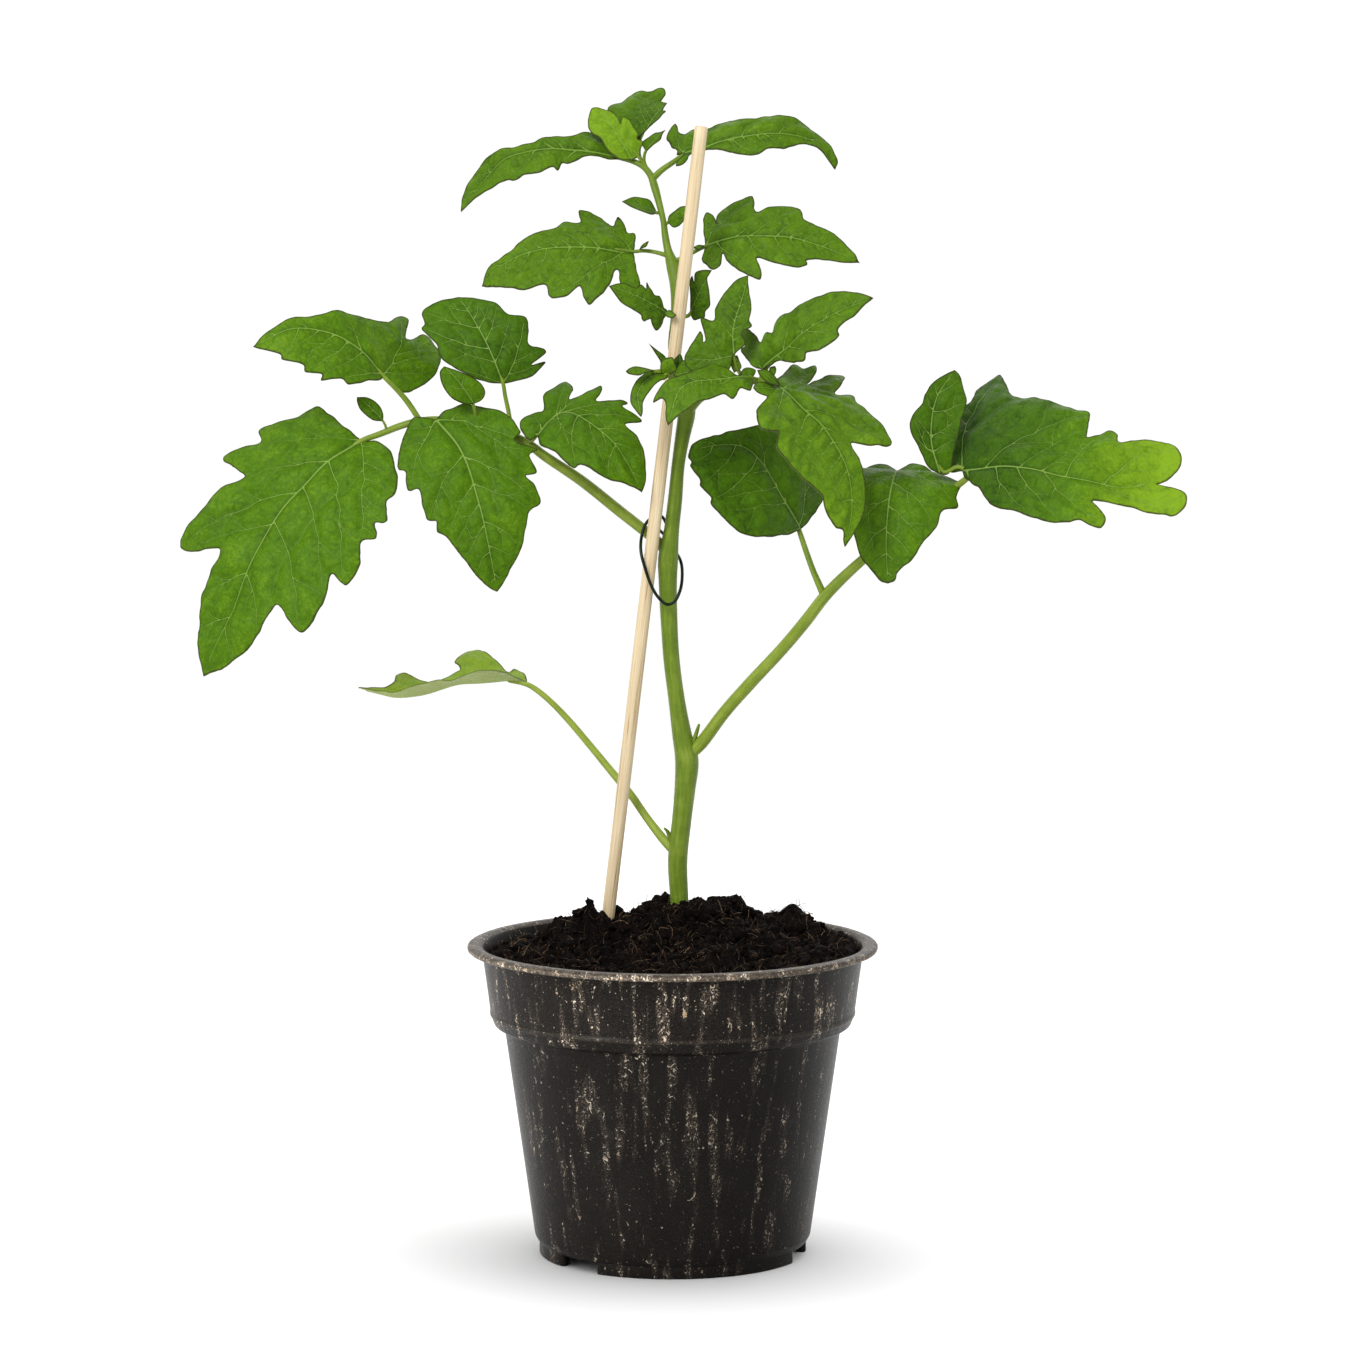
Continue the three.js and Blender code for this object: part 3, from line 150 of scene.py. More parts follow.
LOWER_LEFT_STALKS = (
    (
        (1, 17.5, 124.9, 1.6), (-2.8, 19, 128.8, 1.5), (-8, 22, 135.1, 1.3),
        (-13.4, 25, 142.5, 1.25), (-18.5, 27, 148.4, 1.2), (-25.9, 29, 157.2, 1.1),
        (-32.7, 30, 165.2, 1.05), (-38.4, 30, 171.3, 0.95), (-43.4, 30, 175.6, 0.9),
        (-46.6, 30, 177.5, 0.8), (-52.4, 30, 178.6, 0.5),
    ),
)
LOWER_LEFT_LEAFLETS = {
    "terminal": Leaflet(
        (-46.6, 30, 177.7), (-100.3, 28, 176), (0, 0, 1),
        ((2.5, -1.5), (5.5, -4.5), (8.5, -7.5), (12.5, -9.5), (16.5, -10.5), (20.5, -9),
            (24, -7.5), (27.5, -8), (32.5, -8), (38, -6.5), (42, -5), (46, -2.5), (50, -1.5)),
        ((0.5, 4), (2.5, 7), (4, 8), (6, 6), (8.5, 9.5), (11.5, 13), (15.5, 17.5), (18, 19),
            (20.5, 17), (23, 13), (21.5, 7), (28, 6), (32.5, 7), (37.5, 10), (40, 11), (42, 10),
            (43, 5.5), (45.5, 3), (49.5, 2)),
        arch=-0.4, wave=2, keel=0.5, cup=0.004, tone=(0.6, 0.8),
    ),
}

RIGHT_STALKS = (
    (
        (4.5, 16, 155.9, 1.9), (8.8, 14.5, 160.2, 2.05), (16.2, 10, 170.6, 1.95),
        (25, 5, 181.2, 1.95), (34.1, 1, 191.5, 1.9), (41.5, -3, 200.8, 1.9),
        (48.2, -6, 209.8, 1.8), (59, -10, 220.7, 1.55), (73.6, -15, 233.1, 1.25),
        (88.6, -20, 245.1, 1.05), (93.3, -22.5, 248.8, 0.8), (97.8, -24, 250.4, 0.5),
    ),
    (
        (47.3, -5.5, 209.2, 1.2), (44, -4, 216.7, 0.95), (41.9, -1, 222.4, 0.9),
        (39.9, 2, 228.3, 0.8), (37.7, 1.5, 234.9, 0.5),
    ),
    (
        (72.1, -14.5, 231.5, 0.9), (72.4, -8, 239.4, 0.8), (70.1, -8, 246.9, 0.65),
        (68.8, -11, 245.8, 0.5),
    ),
    (
        (93.3, -22, 248.4, 0.8), (88.1, -21.5, 250.6, 0.7), (83.8, -21, 249, 0.6),
        (81.3, -20.5, 253.9, 0.45),
    ),
)
RIGHT_LEAFLETS = {
    "inner": Leaflet(
        (39.9, 2, 229.2), (5.4, -6, 254.8), (0, -0.75, 0.65),
        ((3, -5), (9, -11.5), (15, -16), (20.5, -17.5), (26.5, -16), (31, -14), (31.5, -12.5),
            (36.5, -11), (37.5, -9), (42, -6), (42, -4.5), (43.5, -3)),
        ((-1, 3.5), (-2.5, 15), (-2, 24), (5.5, 29), (15, 27), (24, 22), (30.5, 17.5), (36, 12),
            (40, 7.5), (42.5, 5), (44, 2)),
        arch=6, keel=0.1, cup=0.007, tone=(0.38, 0.25), mid=((12, 3), (22.5, 7.5), (32, 8.5)),
    ),
    "front": Leaflet(
        (69.8, -9, 248.5), (66.1, -34, 215.6), (0, -0.75, 0.65),
        ((-4, -4.5), (-0.5, -11), (4, -16.5), (6.5, -20), (13, -19), (16, -19.5), (18, -15.5),
            (24, -13.5), (28, -10.5), (34, -7), (38.5, -2.5), (40.5, -2)),
        ((-3, 3.5), (-1.5, 9), (7, 12.5), (17.5, 13.5), (27, 12), (35, 9), (38.5, 5), (41, 2)),
        arch=8, keel=0.08, cup=0.006, peak=0.4, tone=(0.5, 0.5), mid=((14.5, 1.5), (29.5, 1.5)),
    ),
    "upright": Leaflet(
        (82.6, -21, 248.4), (87.4, -14, 280.4), (0.15, -0.85, 0.5),
        ((1, -3.5), (6, -7.5), (11.5, -11.5), (16, -11.5), (20.5, -9), (23.5, -8.5), (28, -6),
            (31.5, -2)),
        ((0.5, 2.5), (7.5, 3), (15.5, 3.5), (23, 4.5), (27.5, 3), (31.5, 1.5)),
        arch=3, keel=0.12, cup=0.008, tone=(0.3, 0.35), mid=((9.5, -4.5), (22, -5)),
    ),
    "terminal": Leaflet(
        (89.2, -23, 249.7), (147.8, -40, 247), (0, -0.72, 0.7),
        ((-4, -0.5), (-5.5, -13), (-7, -24.5), (-5.5, -28.5), (-3.5, -30), (-3, -37), (2.5, -44),
            (6, -38), (11.5, -29), (20, -26.5), (27.5, -24), (32.5, -21.5), (37, -20.5, 8),
            (38.5, -9.5), (42, -11.5), (44.5, -14.5), (47, -13.5), (48, -10), (55, -14),
            (63, -15.5), (67, -10.5), (66, -4)),
        ((2.5, 4.5), (8, 11), (14, 18.5), (20, 21.5), (26.5, 24), (36.5, 25), (42.5, 23.5),
            (45.5, 24.5), (48.5, 24.5), (49.5, 20, 36), (44.5, 15, 37), (49, 14, 38), (55.5, 14),
            (64.5, 13.5), (69.5, 13), (71.5, 6), (67, 2.5)),
        arch=8, keel=0.1, cup=0.005, tone=(0.12, 1), mid=((13, 2.5), (33, 7), (49.5, 6.5)),
    ),
}

LEFT_STALKS = (
    (
        (-1.5, 13.3, 221.4, 1.8), (-7.2, 15.5, 226.5, 1.75), (-16.6, 16.5, 233.9, 1.75),
        (-28.8, 17, 243.6, 1.7), (-40.5, 17, 251.5, 1.55), (-46.6, 17.5, 255.9, 1.4),
        (-57.7, 18.5, 260.3, 1.2), (-73.6, 20, 262.9, 1), (-80.6, 21, 262.3, 1.05),
        (-86.3, 21.5, 260.7, 1.1), (-92.6, 22, 258.2, 1), (-98.7, 22, 255.9, 0.85),
        (-104.4, 21.5, 252.2, 0.5),
    ),
    (
        (-79.9, 21, 262.3, 0.9), (-84.3, 21, 268.9, 0.9), (-87.8, 21, 272.8, 0.75),
        (-91.6, 21, 276.6, 0.65), (-95.6, 20.7, 281.6, 0.45),
    ),
    (
        (-51.1, 18, 258.4, 0.8), (-51.7, 18.5, 264.4, 0.7), (-53, 19, 270.7, 0.65),
        (-53.6, 19, 274.5, 0.6), (-55.8, 19.7, 279.8, 0.45),
    ),
    (
        (-61.5, 18.7, 260.9, 0.6), (-62.3, 15, 265.5, 0.55), (-63.2, 14, 269.4, 0.45),
    ),
    (
        (-73.6, 20, 262.9, 0.8), (-74.4, 18.4, 262.5, 0.7), (-70.3, 16.5, 257.5, 0.45),
    ),
    (
        (-45.7, 17.5, 255.6, 0.8), (-43.7, 13, 257.4, 0.7), (-42.6, 11.6, 258.6, 0.55),
    ),
    (
        (-90.5, 21.8, 258.8, 0.45), (-91, 21, 261.1, 0.4), (-92.6, 21, 263.6, 0.35),
    ),
)
LEFT_LEAFLETS = {
    "terminal": Leaflet(
        (-98.7, 22, 256.3), (-148.2, 10, 182.4), (-0.35, -0.85, 0.4),
        ((-2.5, -5.5), (-1.5, -12), (5.5, -21), (9.5, -23), (12, -22.5), (17.5, -27),
            (19, -26.5), (20, -24), (24, -28), (27, -25), (33.5, -28.5), (41.5, -28.5),
            (41, -23), (49, -26), (61.5, -25.5), (60.5, -20), (58.5, -13), (69, -13), (81.5, -8)),
        ((-1.5, 14), (-1.5, 20.5), (6.5, 25), (12, 30), (15, 32), (17.5, 28), (21.5, 31.5),
            (28.5, 35.5), (29.5, 28), (30, 23), (37.5, 28), (47.5, 30), (59.5, 30.5),
            (58.5, 23.5), (53.5, 15), (61, 14), (69, 12.5), (78.5, 8.5), (86.5, 3)),
        arch=9, keel=0.12, cup=0.006, tone=(0.5, 0.48), mid=((14, 3), (38.5, 4), (68.5, 0.5)),
    ),
    "upper_outer": Leaflet(
        (-91.6, 21, 276.6), (-131.8, 12, 286.3), (-0.1, -0.8, 0.6),
        ((0.5, -1.5), (4.5, -4.5), (12, -9), (13.5, -8), (20.5, -10), (20.5, -8), (26, -8.5),
            (26.5, -6.5), (33.5, -5), (34, -3.5), (39, -1.5)),
        ((-7, -3), (-14, 2.5), (-18, 8.5), (-19, 17), (-17.5, 19.5), (-13, 23), (-8, 17.5),
            (-6.5, 17), (-7, 26.5), (-5, 27), (0.5, 21), (6, 18.5), (14, 16.5), (17, 16.5),
            (24, 13), (32.5, 10), (39.5, 4.5)),
        arch=6, keel=0.1, cup=0.008, tone=(0.5, 0.62), mid=((8.5, 4.5), (19.5, 7.5), (32, 6)),
    ),
    "upper_inner": Leaflet(
        (-53.6, 19, 274.5), (-68, 28, 301.3), (-0.1, -0.8, 0.6),
        ((1, -3), (4.5, -7.5), (10, -12), (15, -14.5), (19.5, -14), (26.5, -15.5), (27.5, -14),
            (32, -12.5), (33, -6)),
        ((-0.5, 1.5), (-1.5, 5), (-2, 10), (0, 15), (1, 10.5), (2.5, 16.5), (3.5, 16.5),
            (7, 12.5), (11, 14.5), (15, 15.5), (18.5, 11), (23, 9.5), (27.5, 5.5)),
        arch=4, keel=0.12, cup=0.006, tone=(0.3, 0.4), mid=((10.5, 0.5), (23, 0.5)),
    ),
    "small_upper": Leaflet(
        (-62.6, 14, 268.1), (-71.9, 14, 280), (0.1, -0.8, 0.5),
        ((1.5, -2.5), (6, -5.5), (11, -5), (14.5, -2.5)),
        ((-0.5, 3), (0.5, 5), (4, 5.5), (9.5, 3)),
        arch=1.5, keel=0.2, cup=0.01,
    ),
    "hanging": Leaflet(
        (-74.7, 18, 262.8), (-55.1, 4, 209.7), (0.05, -0.9, 0.35),
        ((-1.5, -2.5), (-2, -4), (-2, -10), (0.5, -14.5), (5.5, -21.5), (11.5, -23),
            (13.5, -23.5), (15, -20.5), (20.5, -26.5), (21.5, -23.5), (27.5, -23.5), (27.5, -20),
            (31, -21.5), (37, -21.5), (38.5, -17.5), (44, -14), (48.5, -11.5), (52, -7.5),
            (56.5, -3)),
        ((-2, 3.5), (-3, 6.5), (0, 10), (6, 14.5), (12.5, 17), (13.5, 15.5), (20, 16.5),
            (21, 13.5), (26.5, 14), (31, 14), (32.5, 11.5), (35.5, 12.5), (37.5, 10.5), (44, 8),
            (51.5, 5), (56.5, 2)),
        arch=7, keel=0.12, cup=0.006, tone=(0.45, 0.5), mid=((12.5, -3.5), (32.5, -3), (46, -1.5)),
    ),
    "lower_inner": Leaflet(
        (-42.7, 11, 258.2), (-9.6, 2, 240.7), (0.1, -0.75, 0.65),
        ((-1, 2.5), (-7.5, -2.5), (-5.5, -8), (-3.5, -9.5), (-6.5, -15.5), (-5.5, -21),
            (-4, -25.5), (0, -22.5), (1.5, -17.5), (5.5, -23), (7.5, -26.5), (9, -24),
            (9.5, -20), (16.5, -24), (18.5, -24), (17.5, -22), (25.5, -21), (22, -16.5),
            (27.5, -15), (32.5, -11), (37, -4.5)),
        ((3.5, 3.5), (7, 4), (11, 5.5), (17.5, 7.5), (18.5, 5.5), (24.5, 5), (28, 4.5), (34, 1.5)),
        arch=5, keel=0.12, cup=0.006, tone=(0.42, 0.52), mid=((2, -11), (11.5, -11.5), (26, -6.5)),
    ),
    "small_outer": Leaflet(
        (-91.7, 21, 262.3), (-99.8, 21, 269.9), (0, -0.8, 0.6),
        ((2.5, -2.5), (7.5, -3), (10, -1.5)),
        ((1.5, 1.5), (4, 2.5), (8.5, 2)),
        arch=0.8, keel=0.2, cup=0.01,
    ),
}

CENTRE_STALKS = (
    (
        (4.4, 10.5, 265.8, 1.8), (8.6, 5, 270.5, 1.5), (15.4, -4, 274, 1.3),
        (21.5, -12, 276.3, 1.2), (26.1, -17, 276.9, 1.1), (29.5, -20, 276.7, 1),
        (33.4, -22, 274.6, 0.8), (38.3, -25, 270.5, 0.5),
    ),
    (
        (27.3, -18, 276.9, 0.8), (27.9, -18, 279.4, 0.7), (29.5, -18.5, 281.5, 0.6),
        (33.1, -19.5, 285.9, 0.45),
    ),
    (
        (22.5, -13, 276.3, 0.7), (20.3, -15, 280.2, 0.6), (19, -16, 284.2, 0.5),
        (18.7, -15, 288.8, 0.4),
    ),
    (
        (26.4, -17, 276.9, 0.7), (24.5, -20, 277.9, 0.65), (20.2, -22, 278.3, 0.5),
        (15.9, -24, 277.8, 0.4),
    ),
)
CENTRE_LEAFLETS = {
    "turned_back": Leaflet(
        (24.5, -20, 277.9), (-1.3, -34, 264.2), (-0.1, -0.75, 0.6),
        ((2, -3), (5, -5.5), (7, -3.5), (10.5, -5.5), (12.5, -6), (13.5, -3), (18.5, -2.5),
            (21, -1), (24.5, -0.5), (29, 0)),
        ((-3.5, 2.5), (-0.5, 4.5), (4, 2), (5.5, 6.5), (8.5, 9.5), (13, 9.5), (19.5, 11),
            (23.5, 12.5), (27.5, 11.5), (31, 9.5), (28.5, 8.5), (28.5, 6.5), (31.5, 2.5)),
        arch=4, keel=0.12, cup=0.008, mid=((12.5, 4), (22, 7)),
    ),
    "upright": Leaflet(
        (19, -16, 284.5), (23.6, -8, 309.2), (0, -0.8, 0.5),
        ((-4.5, -1), (-6.5, -5), (-7, -10), (-5.5, -14), (-3, -15), (-0.5, -14.5), (2.5, -13),
            (5.5, -11.5), (4.5, -10.5), (2.5, -10), (3, -9.5), (6, -10.5), (9, -12),
            (9.5, -11.5), (9.5, -8), (13, -8), (16.5, -7), (21, -5), (24.5, -2.5)),
        ((1.5, 1), (4, 3), (7, 1.5), (9.5, 4), (11, 3), (15, 3), (18.5, 2), (23, 0.5)),
        arch=3, keel=0.15, cup=0.008, tone=(0.4, 0.5), mid=((7.5, -1.5), (17.5, -0.5)),
    ),
    "outer": Leaflet(
        (28.2, -18, 280.3), (61.2, -34, 303), (0, -0.75, 0.7),
        ((-2.5, -2.5), (-5, -7.5), (-7.5, -14.5), (-5.5, -14.5), (-6.5, -20), (-6.5, -22.5),
            (-2, -18.5), (2.5, -9), (5.5, -9.5), (8.5, -7), (10.5, -9.5), (14.5, -10),
            (17.5, -8.5), (21.5, -9), (28.5, -8), (35, -6), (40, -3)),
        ((3.5, 2), (8, 4), (14.5, 10), (18.5, 12), (19.5, 10), (24, 12), (28, 11), (31.5, 10),
            (31.5, 7.5), (36.5, 5), (40, 2)),
        arch=6, keel=0.1, cup=0.007, tone=(0.4, 0.5), mid=((12, 1.5), (26.5, 1.5)),
    ),
    "terminal": Leaflet(
        (30.7, -20, 276.1), (52, -52, 227.8), (0.35, -0.8, 0.5),
        ((-3.5, -5.5), (-7.5, -12), (-5.5, -14), (-6, -18.5), (-2.5, -17), (2, -11.5, 6),
            (-0.5, -19, 8), (-0.5, -26, 9), (4.5, -22, 10), (9, -17.5, 13), (10.5, -23, 15),
            (14, -22), (18.5, -23.5), (28, -25), (33, -25), (32.5, -17.5, 30), (30, -12.5, 31.5),
            (37, -12.5), (46.5, -11.5), (53.5, -8.5), (59, -3.5)),
        ((6.5, 5.5), (12.5, 12.5), (19.5, 14.5), (21.5, 12), (22, 9.5), (28, 12.5), (35.5, 11),
            (40.5, 8.5), (44.5, 5.5), (47.5, 4), (52.5, 3.5), (56, 1.5), (57, -0.5), (60, 0)),
        arch=9, keel=0.08, cup=0.006, tone=(0.45, 0.62),
        mid=((12.5, -2.5), (32, -7), (50.5, -5.5)),
    ),
    "small_upper": Leaflet(
        (32.8, -24, 275.4), (26, -26, 280.7), (0.2, -0.8, 0.4),
        ((4, -2), (7.5, -1.5)),
        ((1.5, 1), (6.5, 1.5)),
        arch=0.8, keel=0.2,
    ),
    "small_lower": Leaflet(
        (31.8, -25, 274.5), (24.7, -27, 275.2), (0.1, -0.8, 0.4),
        ((2.5, -3), (6, -2)),
        ((2, 1.5), (6.5, 1.5)),
        arch=0.8, keel=0.2,
    ),
    "small_top": Leaflet(
        (19, -15, 279.2), (20.1, -14, 284.7), (0, -0.9, 0.3),
        ((2.5, -1.5), (5, -1)),
        ((2, 2), (4, 1)),
        arch=0.5, keel=0.2,
    ),
    "small_right": Leaflet(
        (29.1, -20, 277.9), (31.6, -21, 281.7), (0.1, -0.9, 0.3),
        ((2, -0.5), (3.5, -1)),
        ((2, 1.5), (4, 1)),
        arch=0.4, keel=0.2,
    ),
}

TOP_STALKS = (
    (
        (4.4, 10.5, 265.8, 2.2), (2.9, 13.5, 273.2, 1.9), (1.1, 14.5, 279.4, 1.8),
        (0.3, 14.5, 286.6, 1.8), (1.2, 15, 295.1, 1.9), (1.7, 16.5, 300.7, 2.3),
        (1.5, 18, 306, 2.5), (0, 20, 311.6, 2.1), (-1.5, 22, 316.2, 1.3), (-2.4, 23.5, 320.9, 1.1),
        (-2.9, 25.5, 325, 0.95), (-4.3, 28.5, 330.9, 1.05), (-5.8, 31, 336.2, 1.25),
        (-6.9, 32.5, 339.4, 1.1), (-9.1, 34.5, 342.2, 1), (-12.3, 36, 343.9, 0.9),
        (-17.4, 36.5, 345.3, 0.75), (-23.1, 37.5, 346.9, 0.6), (-29.5, 38.5, 347.7, 0.45),
    ),
    (
        (-6.2, 32.3, 338.7, 1.1), (-3.4, 32, 341.3, 0.95), (-0.2, 31.3, 343.5, 0.85),
        (3.6, 30, 346, 0.75), (8.6, 29.5, 347.7, 0.6), (13.7, 29, 349, 0.45),
    ),
    (
        (-8.5, 34, 341.6, 0.7), (-9.7, 34.5, 344.1, 0.6), (-11.3, 34.3, 346, 0.55),
        (-13.2, 35.5, 349.1, 0.4),
    ),
    (
        (-9.8, 35, 343.8, 0.6), (-10.7, 37, 346.3, 0.55), (-10.1, 40, 350.1, 0.4),
    ),
    (
        (-7.8, 33.5, 340.6, 0.6), (-9.1, 33.7, 344.4, 0.5), (-8.5, 33, 347.3, 0.45),
        (-6.9, 32.3, 348.8, 0.35),
    ),
    (
        (-1.2, 21, 314.4, 0.8), (-5.6, 22.5, 315.6, 0.65), (-9.4, 23.5, 316, 0.6),
        (-12.5, 24, 315.7, 0.55), (-18.2, 24, 316.5, 0.4),
    ),
    (
        (-0.2, 20.3, 312.5, 0.9), (3.3, 20, 313.8, 0.75), (6.7, 20, 315.7, 0.65),
        (10.5, 20, 317.5, 0.6), (15.5, 19, 319.1, 0.4),
    ),
    (
        (1.4, 15.2, 295.7, 0.8), (-1.5, 13.5, 296.1, 0.6), (-5.5, 12, 299, 0.4),
    ),
    (
        (1.4, 15.2, 295.7, 0.8), (4.8, 13.3, 295.8, 0.6), (7.3, 11.5, 299.9, 0.4),
    ),
    (
        (-3.7, 27, 327.8, 0.6), (-5.3, 28.7, 327.9, 0.5), (-8.4, 28.6, 329.2, 0.35),
    ),
    (
        (-2.7, 25.2, 324, 0.6), (-1.5, 25, 324.8, 0.5), (0.1, 24, 326.3, 0.35),
    ),
)
TOP_LEAFLETS = {
    "lower_left": Leaflet(
        (-12.5, 24, 315.6), (-60.6, 24, 305), (0, -0.75, 0.65),
        ((0, -7), (0, -13.5), (3, -17), (5.5, -14.5), (6, -7.5, 2.5), (10, -14.5), (13, -17),
            (17, -19.5), (18, -16.5), (18.5, -12.5), (22.5, -15), (27.5, -15.5), (28.5, -14),
            (29, -10), (35.5, -9), (43.5, -4.5)),
        ((-1, 3.5), (-1.5, 7), (0.5, 8), (1, 12), (2.5, 15), (4.5, 11), (8, 15), (11.5, 17.5),
            (14, 18), (14.5, 13), (19.5, 14), (22, 12.5), (25, 12.5), (31, 11), (38, 8.5),
            (45.5, 5)),
        arch=5, keel=0.1, cup=0.006, tone=(0.45, 0.55), mid=((10, 1.5), (22, 3.5), (36.5, 5.5)),
    ),
    "small_lower_left": Leaflet(
        (-10.3, 23, 316.2), (-7.5, 20, 319), (0, -0.7, 0.7),
        ((1.5, -0.5),),
        ((4, 1.5),),
        arch=0.3,
    ),
    "lower_right": Leaflet(
        (10.5, 20, 317.5), (58.6, 6, 312.3), (0, -0.75, 0.65),
        ((-2.5, -6), (-4, -11.5), (-4, -14.5), (-1, -12.5), (1.5, -8, 4), (0.5, -12.5),
            (4, -16.5), (7.5, -18), (10.5, -19.5), (14, -12.5), (18.5, -13.5), (27, -14),
            (29, -12.5), (30.5, -10), (37.5, -8), (43.5, -6), (47.5, -3)),
        ((0, 5), (3.5, 9.5), (6, 11.5), (8, 10), (7, 4.5, 4.5), (11, 10), (17.5, 14), (22.5, 15),
            (22, 12), (19.5, 7.5), (26, 9), (33.5, 9), (35.5, 7), (35, 5.5), (42, 3.5),
            (47.5, 1.5)),
        arch=6, keel=0.1, cup=0.006, mid=((11.5, -1.5), (26, -2.5), (40.5, -1.5)),
    ),
    "small_lower_right": Leaflet(
        (10.2, 20, 317.5), (6.4, 18, 317.1), (0, -0.7, 0.7),
        ((3, -1.5),),
        ((2, 0.5),),
        arch=0.3,
    ),
    "base_left": Leaflet(
        (-1.5, 13, 296.4), (-19.9, 8, 305.3), (0.1, -0.8, 0.5),
        ((1, -2.5), (1, -4.5), (1.5, -6.5), (2.5, -8), (4, -7.5), (5, -6.5), (5.5, -5.5),
            (6.5, -6.5), (7.5, -7.5), (8.5, -7), (9, -6), (12.5, -5.5), (17, -4)),
        ((1, 1), (2, 1), (3, 2), (4, 3), (5, 3.5), (6.5, 3), (8, 4), (9, 4.5), (10.5, 5.5),
            (10, 3.5), (12, 4), (13, 2.5), (16.5, 2.5), (19, 1.5)),
        arch=2, keel=0.15, cup=0.01, tone=(0.35, 0.5),
    ),
    "base_right": Leaflet(
        (5.5, 13, 296.4), (12.3, 8, 310.3), (0, -0.8, 0.4),
        ((1.5, -0.5), (4.5, -1.5), (7.5, -3), (10.5, -4.5), (12, -4.5), (10.5, -3), (12.5, -4),
            (13.5, -4), (15, -2.5)),
        ((-1, 2), (0.5, 3.5), (2, 5), (4, 4.5), (6.5, 5), (8.5, 4), (10.5, 2.5), (12, 1),
            (13.5, 0), (14.5, 0)),
        arch=1.5, keel=0.15, cup=0.01, tone=(0.35, 0.45),
    ),
    "small_left": Leaflet(
        (-5, 29, 327.7), (-16, 27, 331.4), (0, -0.6, 0.8),
        ((2, -3), (6, -3.5), (9, -2.5)),
        ((3, 3), (5.5, 3), (8.5, 2.5)),
        arch=0.8, keel=0.2,
    ),
    "small_right": Leaflet(
        (-1.5, 25, 325), (4.8, 20, 330.1), (0, -0.8, 0.5),
        ((1.5, -1), (4.5, -1), (7.5, -1)),
        ((2.5, 4), (5, 5), (7.5, 4)),
        arch=0.8, keel=0.2,
    ),
    "top_left": Leaflet(
        (-14.2, 36, 344.4), (-67.6, 42, 328), (0, -0.75, 0.65),
        ((4.5, 0), (9, 1), (12, 1.5), (18, -1), (19.5, -0.5), (21.5, -3), (22.5, -1.5),
            (26.5, -3), (32, -1.5), (36, -2), (38, -0.5), (44, 0), (50.5, 0.5)),
        ((1, 4), (3.5, 9), (9.5, 11), (15.5, 9.5), (22.5, 10.5), (26.5, 10), (32, 11),
            (38.5, 11.5), (44, 11), (50, 8.5), (54.5, 5)),
        arch=10, keel=0.1, cup=0.005, tone=(0.42, 0.45), mid=((10.5, 3), (22.5, 5.5), (37, 8)),
    ),
    "pale": Leaflet(
        (-12.9, 34, 344.4), (-24.1, 40, 361.1), (0.1, -0.8, 0.3),
        ((1.5, -3), (4.5, -5), (7, -5.5), (10.5, -5.5), (13.5, -6.5), (16, -6.5), (18.5, -5),
            (20.5, -3), (21.5, -1.5)),
        ((0, 3), (1.5, 4), (2.5, 5.5), (3.5, 6), (5, 5), (6, 6), (8.5, 6), (11.5, 6), (13.5, 5),
            (13.5, 4.5), (12, 3), (14, 3.5), (17, 3), (19, 1.5)),
        arch=1.5, keel=0.1, cup=0.01, tone=(0.8, 0.95),
    ),
    "terminal": Leaflet(
        (-11.4, 38, 347.5), (-1.9, 50, 362.4), (-0.2, -0.7, 0.5),
        ((2, -5), (7.5, -12), (12.5, -17), (14, -17), (15, -16), (16, -14), (17.5, -13.5),
            (20.5, -13), (22.5, -12.5), (23.5, -11.5), (24, -10.5), (24, -8.5), (24.5, -7),
            (26, -5.5), (26.5, -4), (26, -3), (24.5, -2), (23, -2), (21.5, -2)),
        ((3.5, -1), (6.5, 0), (9.5, 1), (12.5, 2), (15, 2), (17, 2), (17, 1), (18.5, 0.5)),
        arch=2, keel=0.1, cup=0.01, tone=(0.3, 0.4),
    ),
    "small_top": Leaflet(
        (-8.5, 33, 347.3), (-2.4, 30, 353.9), (0, -0.8, 0.5),
        ((0.5, -2), (1.5, -2.5), (4, -2), (6.5, -1.5), (8, -0.5)),
        ((1, 0.5), (3.5, 1), (6.5, 1.5), (8, 0.5)),
        arch=0.6, keel=0.2,
    ),
    "top_right": Leaflet(
        (3.6, 30, 346), (51.2, 24, 341.6), (0, -0.75, 0.65),
        ((-2.5, 0), (-2.5, -1.5), (-4.5, -4), (-6, -6.5), (-7, -8.5), (-6.5, -11.5), (-6, -13),
            (-5, -14), (-4, -12.5), (-3.5, -10.5), (-2.5, -9), (-1, -8), (0, -8.5), (1.5, -9),
            (6.5, -8), (11, -9), (21.5, -9), (24.5, -10.5), (31, -11.5), (35.5, -11.5),
            (40.5, -9.5), (45, -7.5), (48.5, -3.5)),
        ((-2, 4.5), (0.5, 4.5), (1.5, 3.5), (2, 2), (7, 1.5), (13, 3.5), (18, 5.5), (24.5, 5.5),
            (27.5, 3), (30.5, 2), (32.5, 1.5), (34, 0), (40.5, -3), (43.5, -3), (46, -1.5)),
        arch=10, keel=0.1, cup=0.006, tone=(0.4, 0.45),
        mid=((7, 0.5), (19.5, -1.5), (33.5, -4.5), (42, -5)),
    ),
    "base_knob": Leaflet(
        (-2.7, 7, 296.9), (1.1, 1.5, 296.7), (0, -0.8, 0.5),
        ((2.5, -1), (4.5, -0.5)),
        ((5, 2), (7, 1.5)),
        arch=0.5, keel=0.1, tone=(0.5, 0.6),
    ),
}

